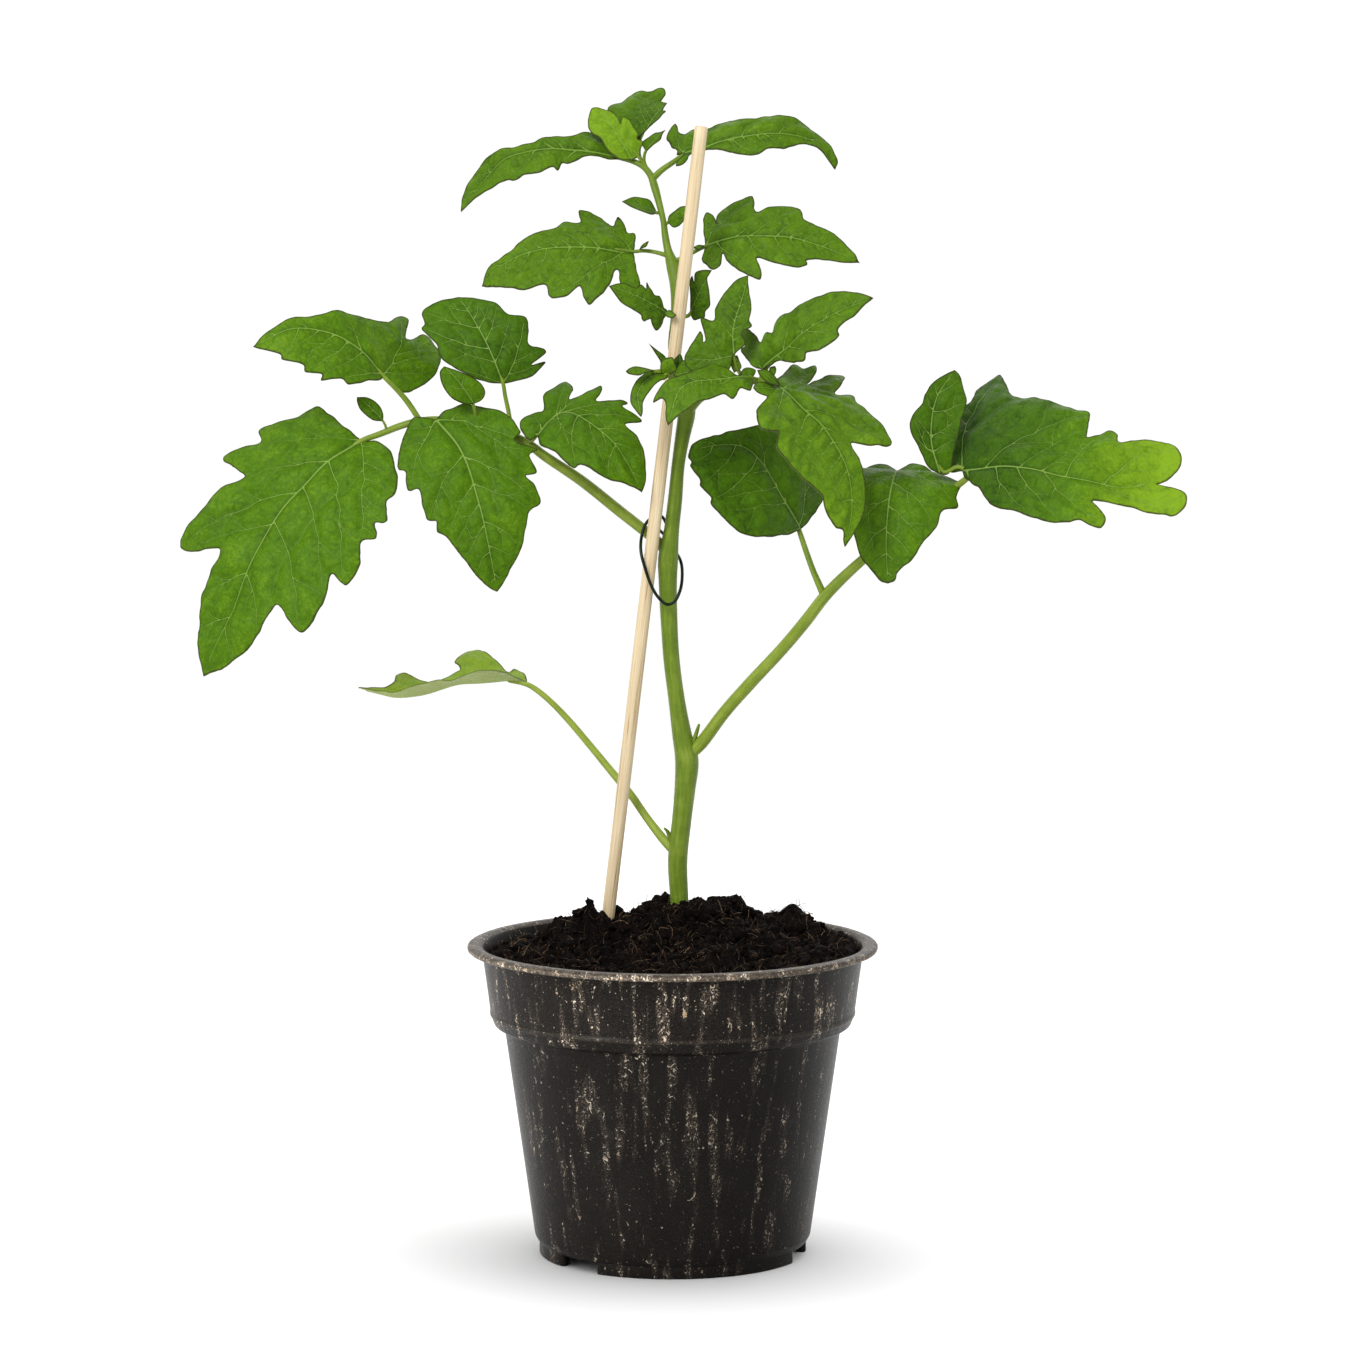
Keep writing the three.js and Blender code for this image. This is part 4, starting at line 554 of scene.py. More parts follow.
TIP_STALKS = (
    (
        (-1.4, -7, 279.2, 1.1), (-3.2, -8.2, 279.4, 0.75), (-5.4, -9, 279.4, 0.6),
        (-7, -9.8, 279.6, 0.4),
    ),
    (
        (-1.4, -7, 279.2, 1.1), (-1.8, -8.1, 278.7, 0.9), (-2.7, -9.4, 277.2, 0.5),
    ),
    (
        (-1.4, -7, 279.2, 1), (-2.5, -6.4, 280.6, 0.8), (-3.5, -6.2, 282.6, 0.45),
    ),
    (
        (-1.4, -7, 279.2, 1), (-1.4, -7.8, 280, 0.7), (-1.2, -8.2, 281.4, 0.45),
    ),
)
TIP_LEAFLETS = {
    "drooping": Leaflet(
        (-1.7, -8, 278.9), (-9.7, -16, 265.7), (-0.2, -0.8, 0.5),
        ((2, -1.5), (4.5, 0), (10, 1), (13.5, 1), (16, 0)),
        ((1, 4.5), (5.5, 6.5), (10, 6.5), (14.5, 5), (16.5, 2)),
        arch=2, keel=0.15, cup=0.01, tone=(0.4, 0.5), mid=((4, 3.5), (11, 4)),
    ),
    "upright": Leaflet(
        (-3, -6, 281.3), (-7.6, -8, 288.3), (-0.2, -0.8, 0.4),
        ((2.5, 0), (6, 0)),
        ((1.5, 2), (5.5, 1)),
        arch=0.6, keel=0.2,
    ),
    "left": Leaflet(
        (-5.4, -9, 279.3), (-14.4, -14, 279.8), (0, -0.7, 0.6),
        ((5, -2), (7.5, -3), (10, -1.5)),
        ((4, 0.5), (7.5, 1), (9.5, 0.5)),
        arch=1, keel=0.2,
    ),
    # The folded tip leaflet has a lit half and a shaded half. The difference is painted light and
    # shade: the lit half is drawn pale and the shaded one dark.
    "fold_painted_light": Leaflet(
        (-0.2, -8, 278.6), (-1.4, -10, 283.8), (-0.2, -0.9, 0.4),
        ((0.5, -2.5), (2.5, -3), (4.5, -2.5), (5.5, -1.5)),
        ((1.5, 2), (3.5, 2), (5.5, 1.5)),
        arch=0.6, keel=0.15, tone=(0.6, 0.7),
    ),
    "fold_painted_shade": Leaflet(
        (2.3, -6.5, 278.5), (2.2, -7, 284.9), (0.1, -0.9, 0.3),
        ((1, -2), (2.5, -2.5), (4.5, -2), (6, -0.5)),
        ((1.5, 1), (3, 1.5), (4.5, 1), (6, 0.5)),
        arch=0.6, keel=0.15, tone=(0.12, 0.2),
    ),
    "fold_right": Leaflet(
        (0.5, -9, 278), (8.2, -13, 279.7), (0.1, -0.9, 0.4),
        ((3, -3.5), (5, -4), (7, -2.5), (8.5, -1)),
        ((4, 2), (7, 2)),
        arch=0.8, keel=0.15, tone=(0.4, 0.5),
    ),
}


# Shared tools


def linear(code: str) -> tuple[float, float, float, float]:
    """Turns an sRGB hex colour into a linear one.

    Args:
        code: The colour, such as "#5d8025".

    Returns:
        Red, green, blue and an alpha of 1.
    """
    parts = [int(code[i : i + 2], 16) / 255 for i in (1, 3, 5)]
    levels = [c / 12.92 if c <= 0.04045 else ((c + 0.055) / 1.055) ** 2.4 for c in parts]
    return (levels[0], levels[1], levels[2], 1.0)


def add_node(
    tree: NodeTree,
    kind: str,
    inputs: Mapping[int | str, Any] | Sequence[Any] = (),
    output: int | str = 0,
    **settings: Any,
) -> NodeSocket | None:
    """Adds one node with its settings and links.

    Args:
        tree: The tree that gets the node.
        kind: The node's type.
        inputs: A value, or the socket to link from, for each input by its name or number, or
            in order.
        output: Name or number of the socket to give back.
        settings: The node's own properties.

    Returns:
        The output socket, or None for a node that has none.
    """
    node = tree.nodes.new(kind)
    for name, value in settings.items():
        setattr(node, name, value)
    for key, value in inputs.items() if isinstance(inputs, Mapping) else enumerate(inputs):
        if isinstance(value, NodeSocket):
            tree.links.new(value, node.inputs[key])
        else:
            node.inputs[key].default_value = value
    return node.outputs[output] if node.outputs else None


def per_mm(grain: float) -> float:
    """Gives the texture scale whose lumps are `grain` millimetres across."""
    return 1 / (grain * MM)


def smooth_path(knots: Route, step: float, axes: int = 3) -> np.ndarray:
    """Draws a smooth curve through every knot.

    Args:
        knots: One row for each knot. The numbers after its place are carried along smoothly.
        step: Greatest length between samples.
        axes: How many of a row's numbers are its place.

    Returns:
        The samples, one row each, with every knot among them.
    """
    rows = np.asarray(knots, float)
    padded = np.vstack([2 * rows[:1] - rows[1:2], rows, 2 * rows[-1:] - rows[-2:-1]])
    spans = np.linalg.norm(np.diff(padded[:, :axes], axis=0), axis=1)
    gaps = np.sqrt(np.maximum(spans, 1e-6))
    parts = []
    for i in range(len(rows) - 1):
        p0, p1, p2, p3 = padded[i : i + 4]
        d0, d1, d2 = gaps[i : i + 3]
        leave = ((p1 - p0) / d0 - (p2 - p0) / (d0 + d1) + (p2 - p1) / d1) * d1
        arrive = ((p2 - p1) / d1 - (p3 - p1) / (d1 + d2) + (p3 - p2) / d2) * d1
        count = max(1, math.ceil(spans[i + 1] / step))
        t = np.linspace(0, 1, count, endpoint=False)[:, None]
        parts.append(
            (2 * t**3 - 3 * t**2 + 1) * p1
            + (t**3 - 2 * t**2 + t) * leave
            + (3 * t**2 - 2 * t**3) * p2
            + (t**3 - t**2) * arrive
        )
    return np.vstack([*parts, rows[-1:]])


def lengths_along(path: np.ndarray, axes: int) -> np.ndarray:
    """Gives each sample's length from the start of a path."""
    steps = np.linalg.norm(np.diff(path[:, :axes], axis=0), axis=1)
    return np.concatenate([[0.0], np.cumsum(steps)])


def wobble(places: np.ndarray, grain: float, seed: float) -> np.ndarray:
    """Gives smooth noise from -1 to 1 at each place.

    Args:
        places: Rows of 3 numbers in millimetres.
        grain: Size of the lumps in millimetres.
        seed: Moves the pattern.

    Returns:
        One number for each place.
    """
    shift = Vector((seed * 13.7, seed * 7.3, seed * 3.1))
    return np.array([noise.noise(Vector(p) / grain + shift) for p in places])


def in_scene(thing: Object) -> Object:
    """Puts a new object in the scene and gives it back."""
    bpy.context.scene.collection.objects.link(thing)
    return thing


def evaluated(thing: Object) -> Mesh:
    """Gives a new mesh of an object as its modifiers make it."""
    graph = bpy.context.evaluated_depsgraph_get()
    return bpy.data.meshes.new_from_object(
        thing.evaluated_get(graph), preserve_all_data_layers=True, depsgraph=graph
    )


def full_turn(count: int) -> np.ndarray:
    """Gives evenly spaced angles all the way round."""
    return np.linspace(0, math.tau, count, endpoint=False)


def arc(radius: np.ndarray | float, angles: np.ndarray | float) -> np.ndarray:
    """Gives the points at a radius and angles round the origin."""
    return np.column_stack([np.cos(angles) * radius, np.sin(angles) * radius])


def raised(flat: np.ndarray, height: float) -> np.ndarray:
    """Lifts points of the floor to a height."""
    return np.column_stack([flat, np.full(len(flat), height)])


@dataclass
class Draft:
    """A mesh that is being put together in millimetres, with values at its points."""

    SHARP = math.radians(48)  # a steeper edge stays crisp
    # Of the rings of a tube's domed end, from the pole: radius and reach as shares of its radius.
    DOME = ((0.25, 0.95), (0.72, 0.66))

    points: list[np.ndarray] = field(default_factory=list)
    faces: list[tuple[int, ...]] = field(default_factory=list)
    slots: list[int] = field(default_factory=list)
    grain: list[np.ndarray] = field(default_factory=list)
    values: dict[str, list[np.ndarray]] = field(default_factory=dict)
    count: int = 0

    def add(
        self,
        points: np.ndarray,
        faces: Sequence[Sequence[int]],
        slot: int = 0,
        grain: np.ndarray | None = None,
        **values: np.ndarray | float,
    ) -> None:
        """Adds a closed form.

        Args:
            points: Rows of 3 numbers.
            faces: Numbers of the points round each face, from 0 for this form.
            slot: The finish's number.
            grain: Coordinates along the form, for patterns that follow it.
            values: A number, or one for each point, for a channel.
        """
        size = len(points)
        self.points.append(points)
        self.faces.extend(tuple(int(i) + self.count for i in face) for face in faces)
        self.slots.extend([slot] * len(faces))
        self.grain.append(points if grain is None else grain)
        for name in CHANNELS:
            channel = np.broadcast_to(np.asarray(values.get(name, 0.0), float), (size,))
            self.values.setdefault(name, []).append(channel)
        self.count += size

    def build(self, name: str, finishes: Sequence[Material]) -> Object:
        """Makes the object, in metres, at the origin.

        Args:
            name: The piece's name.
            finishes: Its materials in the order of the slots.

        Returns:
            The new object.
        """
        mesh = bpy.data.meshes.new(name)
        mesh.from_pydata((np.vstack(self.points) * MM).tolist(), [], self.faces)
        for material in finishes:
            mesh.materials.append(material)
        mesh.polygons.foreach_set("material_index", self.slots)
        for channel, rows in self.values.items():
            layer = mesh.attributes.new(channel, "FLOAT", "POINT")
            layer.data.foreach_set("value", np.concatenate(rows).astype(np.float32))
        layer = mesh.attributes.new("grain", "FLOAT_VECTOR", "POINT")
        layer.data.foreach_set("vector", (np.vstack(self.grain) * MM).astype(np.float32).ravel())
        mesh.shade_smooth()
        mesh.set_sharp_from_angle(angle=self.SHARP)
        mesh.update()
        return in_scene(bpy.data.objects.new(name, mesh))

    def add_rings(
        self,
        rings: Sequence[np.ndarray],
        slot: int = 0,
        grain: np.ndarray | None = None,
        **values: np.ndarray | float,
    ) -> None:
        """Adds a closed form through rings of as many points each.

        Args:
            rings: The rings, each anticlockwise as seen from the last one.
            slot: The finish's number.
            grain: Coordinates along the form.
            values: Channel values, as for `add`.
        """
        sides, last = len(rings[0]), (len(rings) - 1) * len(rings[0])
        faces: list[Sequence[int]] = []
        for low in range(0, last, sides):
            for k, j in zip(range(sides), [*range(1, sides), 0]):
                faces.append((low + k, low + j, low + sides + j, low + sides + k))
        faces += [range(sides)[::-1], range(last, last + sides)]
        self.add(np.vstack(rings), faces, slot, grain, **values)

    def add_tube(
        self, path: np.ndarray, sides: int, slot: int = 0, ridges: float = 0.0, **values: Any
    ) -> None:
        """Adds a closed round tube with domed ends.

        Args:
            path: Rows of place and radius.
            sides: Number of sides.
            slot: The finish's number.
            ridges: Share of the radius that the long ridges stand proud.
            values: Channel values, as for `add`.
        """
        lengths = lengths_along(path, 3)
        ahead = np.gradient(path[:, :3], axis=0)
        ahead /= np.linalg.norm(ahead, axis=1)[:, None]
        across = np.cross(ahead[0], (0.31, 0.95, 0.05))
        angles = full_turn(sides)
        proud = 1 + ridges * (np.cos(angles * 5 + 0.4) + 0.6 * np.cos(angles * 3 + 1.9))
        rings: list[np.ndarray] = []
        grain: list[np.ndarray] = []

        def add_ring(i: int, share: float, shift: float) -> None:
            """Adds one ring at sample i, narrowed by share and moved along by shift."""
            radius = path[i, 3] * share
            turned = arc(radius * proud, angles) @ (across, up)
            rings.append(path[i, :3] + ahead[i] * shift + turned)
            grain.append(raised(arc(radius, angles), lengths[i] + shift))

        for i in range(len(path)):
            across = across - ahead[i] * (across @ ahead[i])
            across = across / np.linalg.norm(across)
            up = np.cross(ahead[i], across)
            if i == 0:
                for share, reach in self.DOME:
                    add_ring(i, share, -reach * path[i, 3])
            add_ring(i, 1.0, 0.0)
            if i == len(path) - 1:
                for share, reach in self.DOME[::-1]:
                    add_ring(i, share, reach * path[i, 3])
        self.add_rings(rings, slot, np.vstack(grain), **values)

    def add_turned(self, profile: np.ndarray, sides: int, slot: int = 0, **values: Any) -> None:
        """Adds a closed form turned round the Z axis.

        Args:
            profile: Rows of radius and height, from the lower pole round the outside to the
                upper pole. The poles have a radius of 0.
            sides: Number of sides.
            slot: The finish's number.
            values: Channel values, one number for each row of the profile, or for all.
        """
        rings = profile[1:-1]
        points = [[[0, 0, profile[0, 1]]], [[0, 0, profile[-1, 1]]]]
        points += [raised(arc(radius, full_turn(sides)), height) for radius, height in rings]
        faces: list[tuple[int, ...]] = []
        last = 2 + (len(rings) - 1) * sides
        for k in range(sides):
            j = (k + 1) % sides
            faces.append((0, 2 + j, 2 + k))
            faces.append((1, last + k, last + j))
            for start in range(2, last, sides):
                faces.append((start + k, start + j, start + sides + j, start + sides + k))
        spread = {}
        for name, channel in values.items():
            rows = np.broadcast_to(np.asarray(channel, float), (len(profile),))
            spread[name] = np.concatenate([rows[[0, -1]], np.repeat(rows[1:-1], sides)])
        self.add(np.vstack(points), faces, slot, **spread)


def rounded(profile: Route, radius: float) -> list[Point]:
    """Rounds the corners of a profile a little.

    Args:
        profile: Rows of radius and height, whose first and last stay as they are.
        radius: Greatest length that a corner is cut back by.

    Returns:
        The new profile.
    """
    rows = [np.array(row, float) for row in profile]
    result = [tuple(rows[0])]
    for before, corner, after in zip(rows, rows[1:], rows[2:]):
        ends = []
        for other in (before, after):
            gap = np.linalg.norm(other - corner)
            ends.append(corner + (other - corner) * min(radius, gap * 0.4) / gap)
        result += [tuple(ends[0]), tuple((ends[0] + ends[1] + 2 * corner) / 4), tuple(ends[1])]
    return [*result, tuple(rows[-1])]


class Litter(Enum):
    """What is strewn over a surface."""

    HAIR = "hair"
    CRUMB = "crumb"
    FIBRE = "fibre"


@dataclass(frozen=True)
class Strewing:
    """How small things stand or lie on a surface. Sizes are in millimetres."""

    VALUES = ("Density", "Smallest", "Largest", "Thickness", "Lean", "Rarity")

    kind: Litter
    density: float  # for each square millimetre where `weight` is 1
    weight: str  # the channel that says where they are
    size: tuple[float, float]  # smallest and largest length
    thickness: float
    lean: float  # how far they lean from the surface's normal
    rarity: float  # 1 for even sizes, and more for fewer large ones
    seed: int

    def tree(self) -> NodeTree:
        """Builds the tree of geometry nodes that strews them.

        Returns:
            The tree, with an input for each of the sizes.
        """
        tree = bpy.data.node_groups.new(f"strew_{self.kind.value}", "GeometryNodeTree")
        kinds = {"Geometry": "Geometry", **dict.fromkeys(self.VALUES, "Float")}
        kinds |= {"Seed": "Int", "Finish": "Material"}
        for name, kind in kinds.items():
            tree.interface.new_socket(name, in_out="INPUT", socket_type=f"NodeSocket{kind}")
        made = {"in_out": "OUTPUT", "socket_type": "NodeSocketGeometry"}
        tree.interface.new_socket("Geometry", **made)
        node = partial(add_node, tree)
        given = {socket.name: socket for socket in tree.nodes.new("NodeGroupInput").outputs}
        seed = given["Seed"]
        draw = partial(node, "FunctionNodeRandomValue")
        look = {"Name": self.weight}
        weight = node("GeometryNodeInputNamedAttribute", look, "Attribute", data_type="FLOAT")
        look = (weight, given["Density"])
        density = node("ShaderNodeMath", look, operation="MULTIPLY")
        look = {"Mesh": given["Geometry"], "Density": density, "Seed": seed}
        spots = node("GeometryNodeDistributePointsOnFaces", look, "Points")
        look = {0: (-1.0, -1.0, -1.0), 1: (1.0, 1.0, 1.0), "Seed": seed}
        look = {0: draw(look, data_type="FLOAT_VECTOR"), "Scale": given["Lean"]}
        lean = node("ShaderNodeVectorMath", look, operation="SCALE")
        look = (spots.node.outputs["Normal"], lean)
        aim = node("ShaderNodeVectorMath", look, operation="ADD")
        turn = node("FunctionNodeAlignRotationToVector", {"Vector": aim}, axis="Z")
        spin_seed, tone_seed = (
            node("ShaderNodeMath", (seed, step), operation="ADD") for step in (3.0, 7.0)
        )
        spin = draw({3: math.tau, "Seed": spin_seed}, 1, data_type="FLOAT")
        spin = node("ShaderNodeCombineXYZ", {2: spin})
        look = {"Rotation": turn, "Rotate By": spin}
        turn = node("FunctionNodeRotateRotation", look, rotation_space="LOCAL")
        chance = draw({"Seed": seed}, 1, data_type="FLOAT")
        rare = node("ShaderNodeMath", (chance, given["Rarity"]), operation="POWER")
        look = (given["Largest"], given["Smallest"])
        span = node("ShaderNodeMath", look, operation="SUBTRACT")
        look = (rare, span, given["Smallest"])
        length = node("ShaderNodeMath", look, operation="MULTIPLY_ADD")
        flat = given["Thickness"] if self.kind is Litter.HAIR else length
        look = {
            "Points": spots,
            "Instance": self.form(node),
            "Rotation": turn,
            "Scale": node("ShaderNodeCombineXYZ", (flat, flat, length)),
        }
        placed = node("GeometryNodeInstanceOnPoints", look)
        shade = draw({"Seed": tone_seed}, 1, data_type="FLOAT")
        look = {"Geometry": placed, "Name": "tone", "Value": shade}
        kept = {"data_type": "FLOAT", "domain": "INSTANCE"}
        toned = node("GeometryNodeStoreNamedAttribute", look, **kept)
        real = node("GeometryNodeRealizeInstances", {"Geometry": toned})
        finished = node("GeometryNodeSetMaterial", {"Geometry": real, "Material": given["Finish"]})
        node("NodeGroupOutput", {"Geometry": finished})
        return tree

    def form(self, node: Node) -> NodeSocket:
        """Makes the one thing that is repeated, about one unit long.

        Args:
            node: Adds a node to the strewing's tree.

        Returns:
            The form's geometry.
        """
        if self.kind is Litter.HAIR:
            cone = {"Vertices": 3, "Radius Top": 0.12, "Radius Bottom": 1.0, "Depth": 1.0}
            return node("GeometryNodeMeshCone", cone, fill_type="NONE")
        if self.kind is Litter.CRUMB:
            ball = {"Segments": 8, "Rings": 5, "Radius": 0.5}  # 40 faces
            ball = node("GeometryNodeMeshUVSphere", ball)
            look = {"Vector": node("GeometryNodeInputPosition"), "Scale": 2.6, "Detail": 1.0}
            look = (node("ShaderNodeTexNoise", look, 1), (0.5, 0.5, 0.5))
            look = {0: node("ShaderNodeVectorMath", look, operation="SUBTRACT"), "Scale": 0.95}
            push = node("ShaderNodeVectorMath", look, operation="SCALE")
            return node("GeometryNodeSetPosition", {"Geometry": ball, "Offset": push})
        bow = {"Start": (-0.5, 0, 0), "Middle": (0.05, 0.32, 0.2), "End": (0.5, 0, 0)}
        bow["Resolution"] = 6
        look = {"Resolution": 3, "Radius": self.thickness / self.size[1]}
        ring = node("GeometryNodeCurvePrimitiveCircle", look)
        line = node("GeometryNodeCurveQuadraticBezier", bow)
        thread = {"Curve": line, "Profile Curve": ring, "Fill Caps": True}
        return node("GeometryNodeCurveToMesh", thread)

    def strew(self, host: Object, name: str, finish: Material) -> Object:
        """Strews them over a surface.

        Args:
            host: The piece that they stand on, which stays as it is.
            name: The new piece's name.
            finish: Its material.

        Returns:
            The new piece, as a plain mesh.
        """
        carrier = in_scene(bpy.data.objects.new(f"{name}_carrier", host.data.copy()))
        modifier = carrier.modifiers.new("strewing", "NODES")
        modifier.node_group = self.tree()
        smallest, largest, thickness = (length * MM for length in (*self.size, self.thickness))
        values = (self.density / MM**2, smallest, largest, thickness, self.lean, self.rarity)
        given = dict(zip(self.VALUES, values)) | {"Seed": self.seed, "Finish": finish}
        for item in modifier.node_group.interface.items_tree:
            if item.in_out == "INPUT" and item.name in given:
                modifier[item.identifier] = given[item.name]
        mesh = evaluated(carrier)
        mesh.name = name
        bpy.data.objects.remove(carrier)
        return in_scene(bpy.data.objects.new(name, mesh))


def keep_in_box(mesh: Mesh) -> None:
    """Brings the few points that stand out of the solids' box back into it.

    Args:
        mesh: A finished piece's mesh.
    """
    places = np.empty(len(mesh.vertices) * 3, np.float32)
    mesh.vertices.foreach_get("co", places)
    low, high = (np.array(corner) for corner in CAD_BOX)
    rows = np.clip(places.reshape(-1, 3), low + (GAP, GAP, 0), high - GAP)
    mesh.vertices.foreach_set("co", rows.astype(np.float32).ravel())
    mesh.update()


def carry(piece: Object, replaced: Sequence[str] = (), smooth: bool = False) -> Object:
    """Fixes a finished piece to the plant's body and reports it.

    Args:
        piece: The finished piece.
        replaced: The solids that it stands for.
        smooth: Whether its faces are shaded smoothly from here.

    Returns:
        The piece.
    """
    if smooth:
        piece.data.shade_smooth()
    keep_in_box(piece.data)
    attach(piece, BODY)
    if replaced:
        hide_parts(*replaced)
    triangles = sum(len(face.vertices) - 2 for face in piece.data.polygons)
    log.info("%s: %d triangles", piece.name, triangles)
    return piece


# Finishes


def mottle(
    node: Node,
    place: NodeSocket,
    grain: float,
    low: float,
    high: float,
    detail: float = 2.0,
) -> NodeSocket:
    """Makes soft noise between two values.

    Args:
        node: Adds a node to the finish.
        place: Where the noise is read.
        grain: Size of its lumps in millimetres.
        low: Value in its hollows.
        high: Value on its lumps.
        detail: How many finer layers it has.

    Returns:
        The value's socket.
    """
    look = {"Vector": place, "Scale": per_mm(grain), "Detail": detail}
    cloud = node("ShaderNodeTexNoise", look)
    return node("ShaderNodeMapRange", (cloud, 0.3, 0.7, low, high))


def bent(node: Node, place: NodeSocket, grain: float, reach: float) -> NodeSocket:
    """Shifts places about, so that what is drawn there is uneven.

    Args:
        node: Adds a node to the finish.
        place: The places.
        grain: Size of the bends in millimetres.
        reach: How far they shift in millimetres.

    Returns:
        The socket of the new places.
    """
    look = {"Vector": place, "Scale": per_mm(grain), "Detail": 2.0}
    shift = node("ShaderNodeTexNoise", look, 1)
    shift = node("ShaderNodeVectorMath", {0: shift, 3: reach * MM}, operation="SCALE")
    return node("ShaderNodeVectorMath", (place, shift), operation="ADD")


def laid_over(
    node: Node,
    colour: NodeSocket | tuple[float, ...],
    layers: Sequence[tuple[NodeSocket, NodeSocket | str]],
) -> NodeSocket:
    """Lays colours over one another.

    Args:
        node: Adds a node to the finish.
        colour: The lowest one.
        layers: The share of each layer from 0 to 1, and its colour.

    Returns:
        The colour's socket.
    """
    for share, tint in layers:
        tint = linear(tint) if isinstance(tint, str) else tint
        look = {0: share, 6: colour, 7: tint}
        colour = node("ShaderNodeMix", look, 2, data_type="RGBA")
    return colour


def three_tones(node: Node, level: NodeSocket, codes: tuple[str, str, str]) -> NodeSocket:
    """Shades from a dark colour through a middle one to a pale one.

    Args:
        node: Adds a node to the finish.
        level: 0 for the dark colour to 1 for the pale one.
        codes: The three colours.

    Returns:
        The colour's socket.
    """
    low = node("ShaderNodeMapRange", (level, 0.0, 0.5))
    high = node("ShaderNodeMapRange", (level, 0.5, 1.0))
    return laid_over(node, linear(codes[0]), [(low, codes[1]), (high, codes[2])])


def end_finish(
    node: Node, colour: NodeSocket, relief: NodeSocket, depth: float, **shader: Any
) -> None:
    """Ends a finish with its relief and its shader.

    Args:
        node: Adds a node to the finish.
        colour: The colour.
        relief: Height of the fine relief, about 0 to 1.
        depth: What 1 stands for in millimetres.
        shader: Roughness, IOR and level of the shader's specular part.
    """
    bump = {"Height": relief, "Distance": depth * MM, "Strength": 0.8}
    names = {"roughness": "Roughness", "ior": "IOR", "specular": "Specular IOR Level"}
    look = {names[name]: value for name, value in shader.items()}
    look["Base Color"] = colour
    look["Normal"] = node("ShaderNodeBump", bump)
    surface = node("ShaderNodeBsdfPrincipled", look)
    node("ShaderNodeOutputMaterial", {"Surface": surface})


class Finish:
    """A finish made of shader nodes."""

    name: str

    def lay(self, node: Node) -> None:
        """Lays out its nodes."""
        raise NotImplementedError

    def material(self) -> Material:
        """Builds the material."""
        material = bpy.data.materials.new(self.name)
        material.use_nodes = True
        material.node_tree.nodes.clear()
        self.lay(partial(add_node, material.node_tree))
        return material


@dataclass(frozen=True)
class LeafTissue(Finish):
    """Living tomato leaf: a soft, matt skin over green tissue, with thin pale veins.

    A net of finer veins lies between the main ones, and the underside is yellower and lighter
    than the top.
    """

    name: str
    dark: str = "#203c02"
    middle: str = "#3f6104"
    pale: str = "#688814"
    vein: str = "#86a24a"
    vein_share: float = 0.54
    # Painted shade: how much darker the tissue is drawn in the furrow along a vein.
    painted_furrow_shade: float = 0.16  # how much darker the tissue is along a vein
    # Painted shade: how much darker the tissue is drawn in the creases between its cushions.
    painted_crease_shade: float = 0.1  # how much darker it is in the creases between its small cushions
    under: str = "#87945a"
    # The margin's colour lies just inside the outline: partly the margin's own browner colour,
    # partly painted shade at the blade's edge.
    margin: str = "#241f0c"
    mesh_width: float = 3.4  # between the small veins, in millimetres

    def lay(self, node: Node) -> None:
        """Lays out its nodes.

        Args:
            node: Adds a node to the material.
        """
        place = node("ShaderNodeTexCoord", (), "Object")
        level, rib, under, edge = (
            node("ShaderNodeAttribute", (), "Fac", attribute_name=name)
            for name in ("tone", "rib", "under", "edge")
        )
        # The net of small veins. Real ones are 0.05 mm wide and are drawn about 0.15 mm wide.
        cell = {"Vector": bent(node, place, 3, 2.4), "Scale": per_mm(self.mesh_width)}
        net = node("ShaderNodeTexVoronoi", cell, "Distance", feature="DISTANCE_TO_EDGE")
        # The threads fade in and out over about 7 mm, and the painted shade of the creases between
        # the cushions differs over about 4 mm.
        faint = mottle(node, place, 7, 0.0, 0.16)
        thread = node("ShaderNodeMapRange", (net, 0.015, 0.05, 1.0, 0.0))
        # Painted shade: darkest along the creases of the net, and a little lighter on the
        # cushions.
        shade = mottle(node, place, 4, -self.painted_crease_shade * 2.5, self.painted_crease_shade)
        shade = node("ShaderNodeMapRange", (net, 0.0, 0.2, shade, 0.04))
        parts = (
            shade,
            # Broad patches about 12 mm across, and a finer mottle of about 0.9 mm.
            mottle(node, place, 12, -0.05, 0.05),
            mottle(node, place, 0.9, -0.09, 0.09, 3.0),
            node("ShaderNodeMath", (thread, faint), operation="MULTIPLY"),
            # Painted shade: the tissue is drawn darker in a furrow along each main vein.
            node("ShaderNodeMapRange", (rib, 1.2, 5.0, -self.painted_furrow_shade, 0.0)),
        )
        for part in parts:
            level = node("ShaderNodeMath", (level, part), operation="ADD")
        green = three_tones(node, level, (self.dark, self.middle, self.pale))
        line = node("ShaderNodeMapRange", (rib, 0.3, 1.3, self.vein_share, 0.0))
        below = node("ShaderNodeMath", (under, 0.8), operation="MULTIPLY")
        # The dark rim is partly the margin's own browner colour and partly painted edge shade,
        # weaker on the underside.
        rim = node("ShaderNodeMapRange", (edge, 0.35, 0.9, 0.0, 0.9))
        shown = node("ShaderNodeMapRange", {0: under, 3: 1.0, 4: 0.35})
        rim = node("ShaderNodeMath", (rim, shown), operation="MULTIPLY")
        layers = [(line, self.vein), (below, self.under), (rim, self.margin)]
        green = laid_over(node, green, layers)
        # Small cushions stand up between the threads, with a grit of about 0.45 mm.
        cushion = node("ShaderNodeMapRange", (net, 0.0, 0.3, 0.0, 0.5))
        grit = mottle(node, place, 0.45, 0.0, 0.3)
        relief = node("ShaderNodeMath", (cushion, grit), operation="ADD")
        rough = mottle(node, place, 1.1, 0.42, 0.58)
        end_finish(node, green, relief, 0.3, roughness=rough, ior=1.42, specular=0.1)


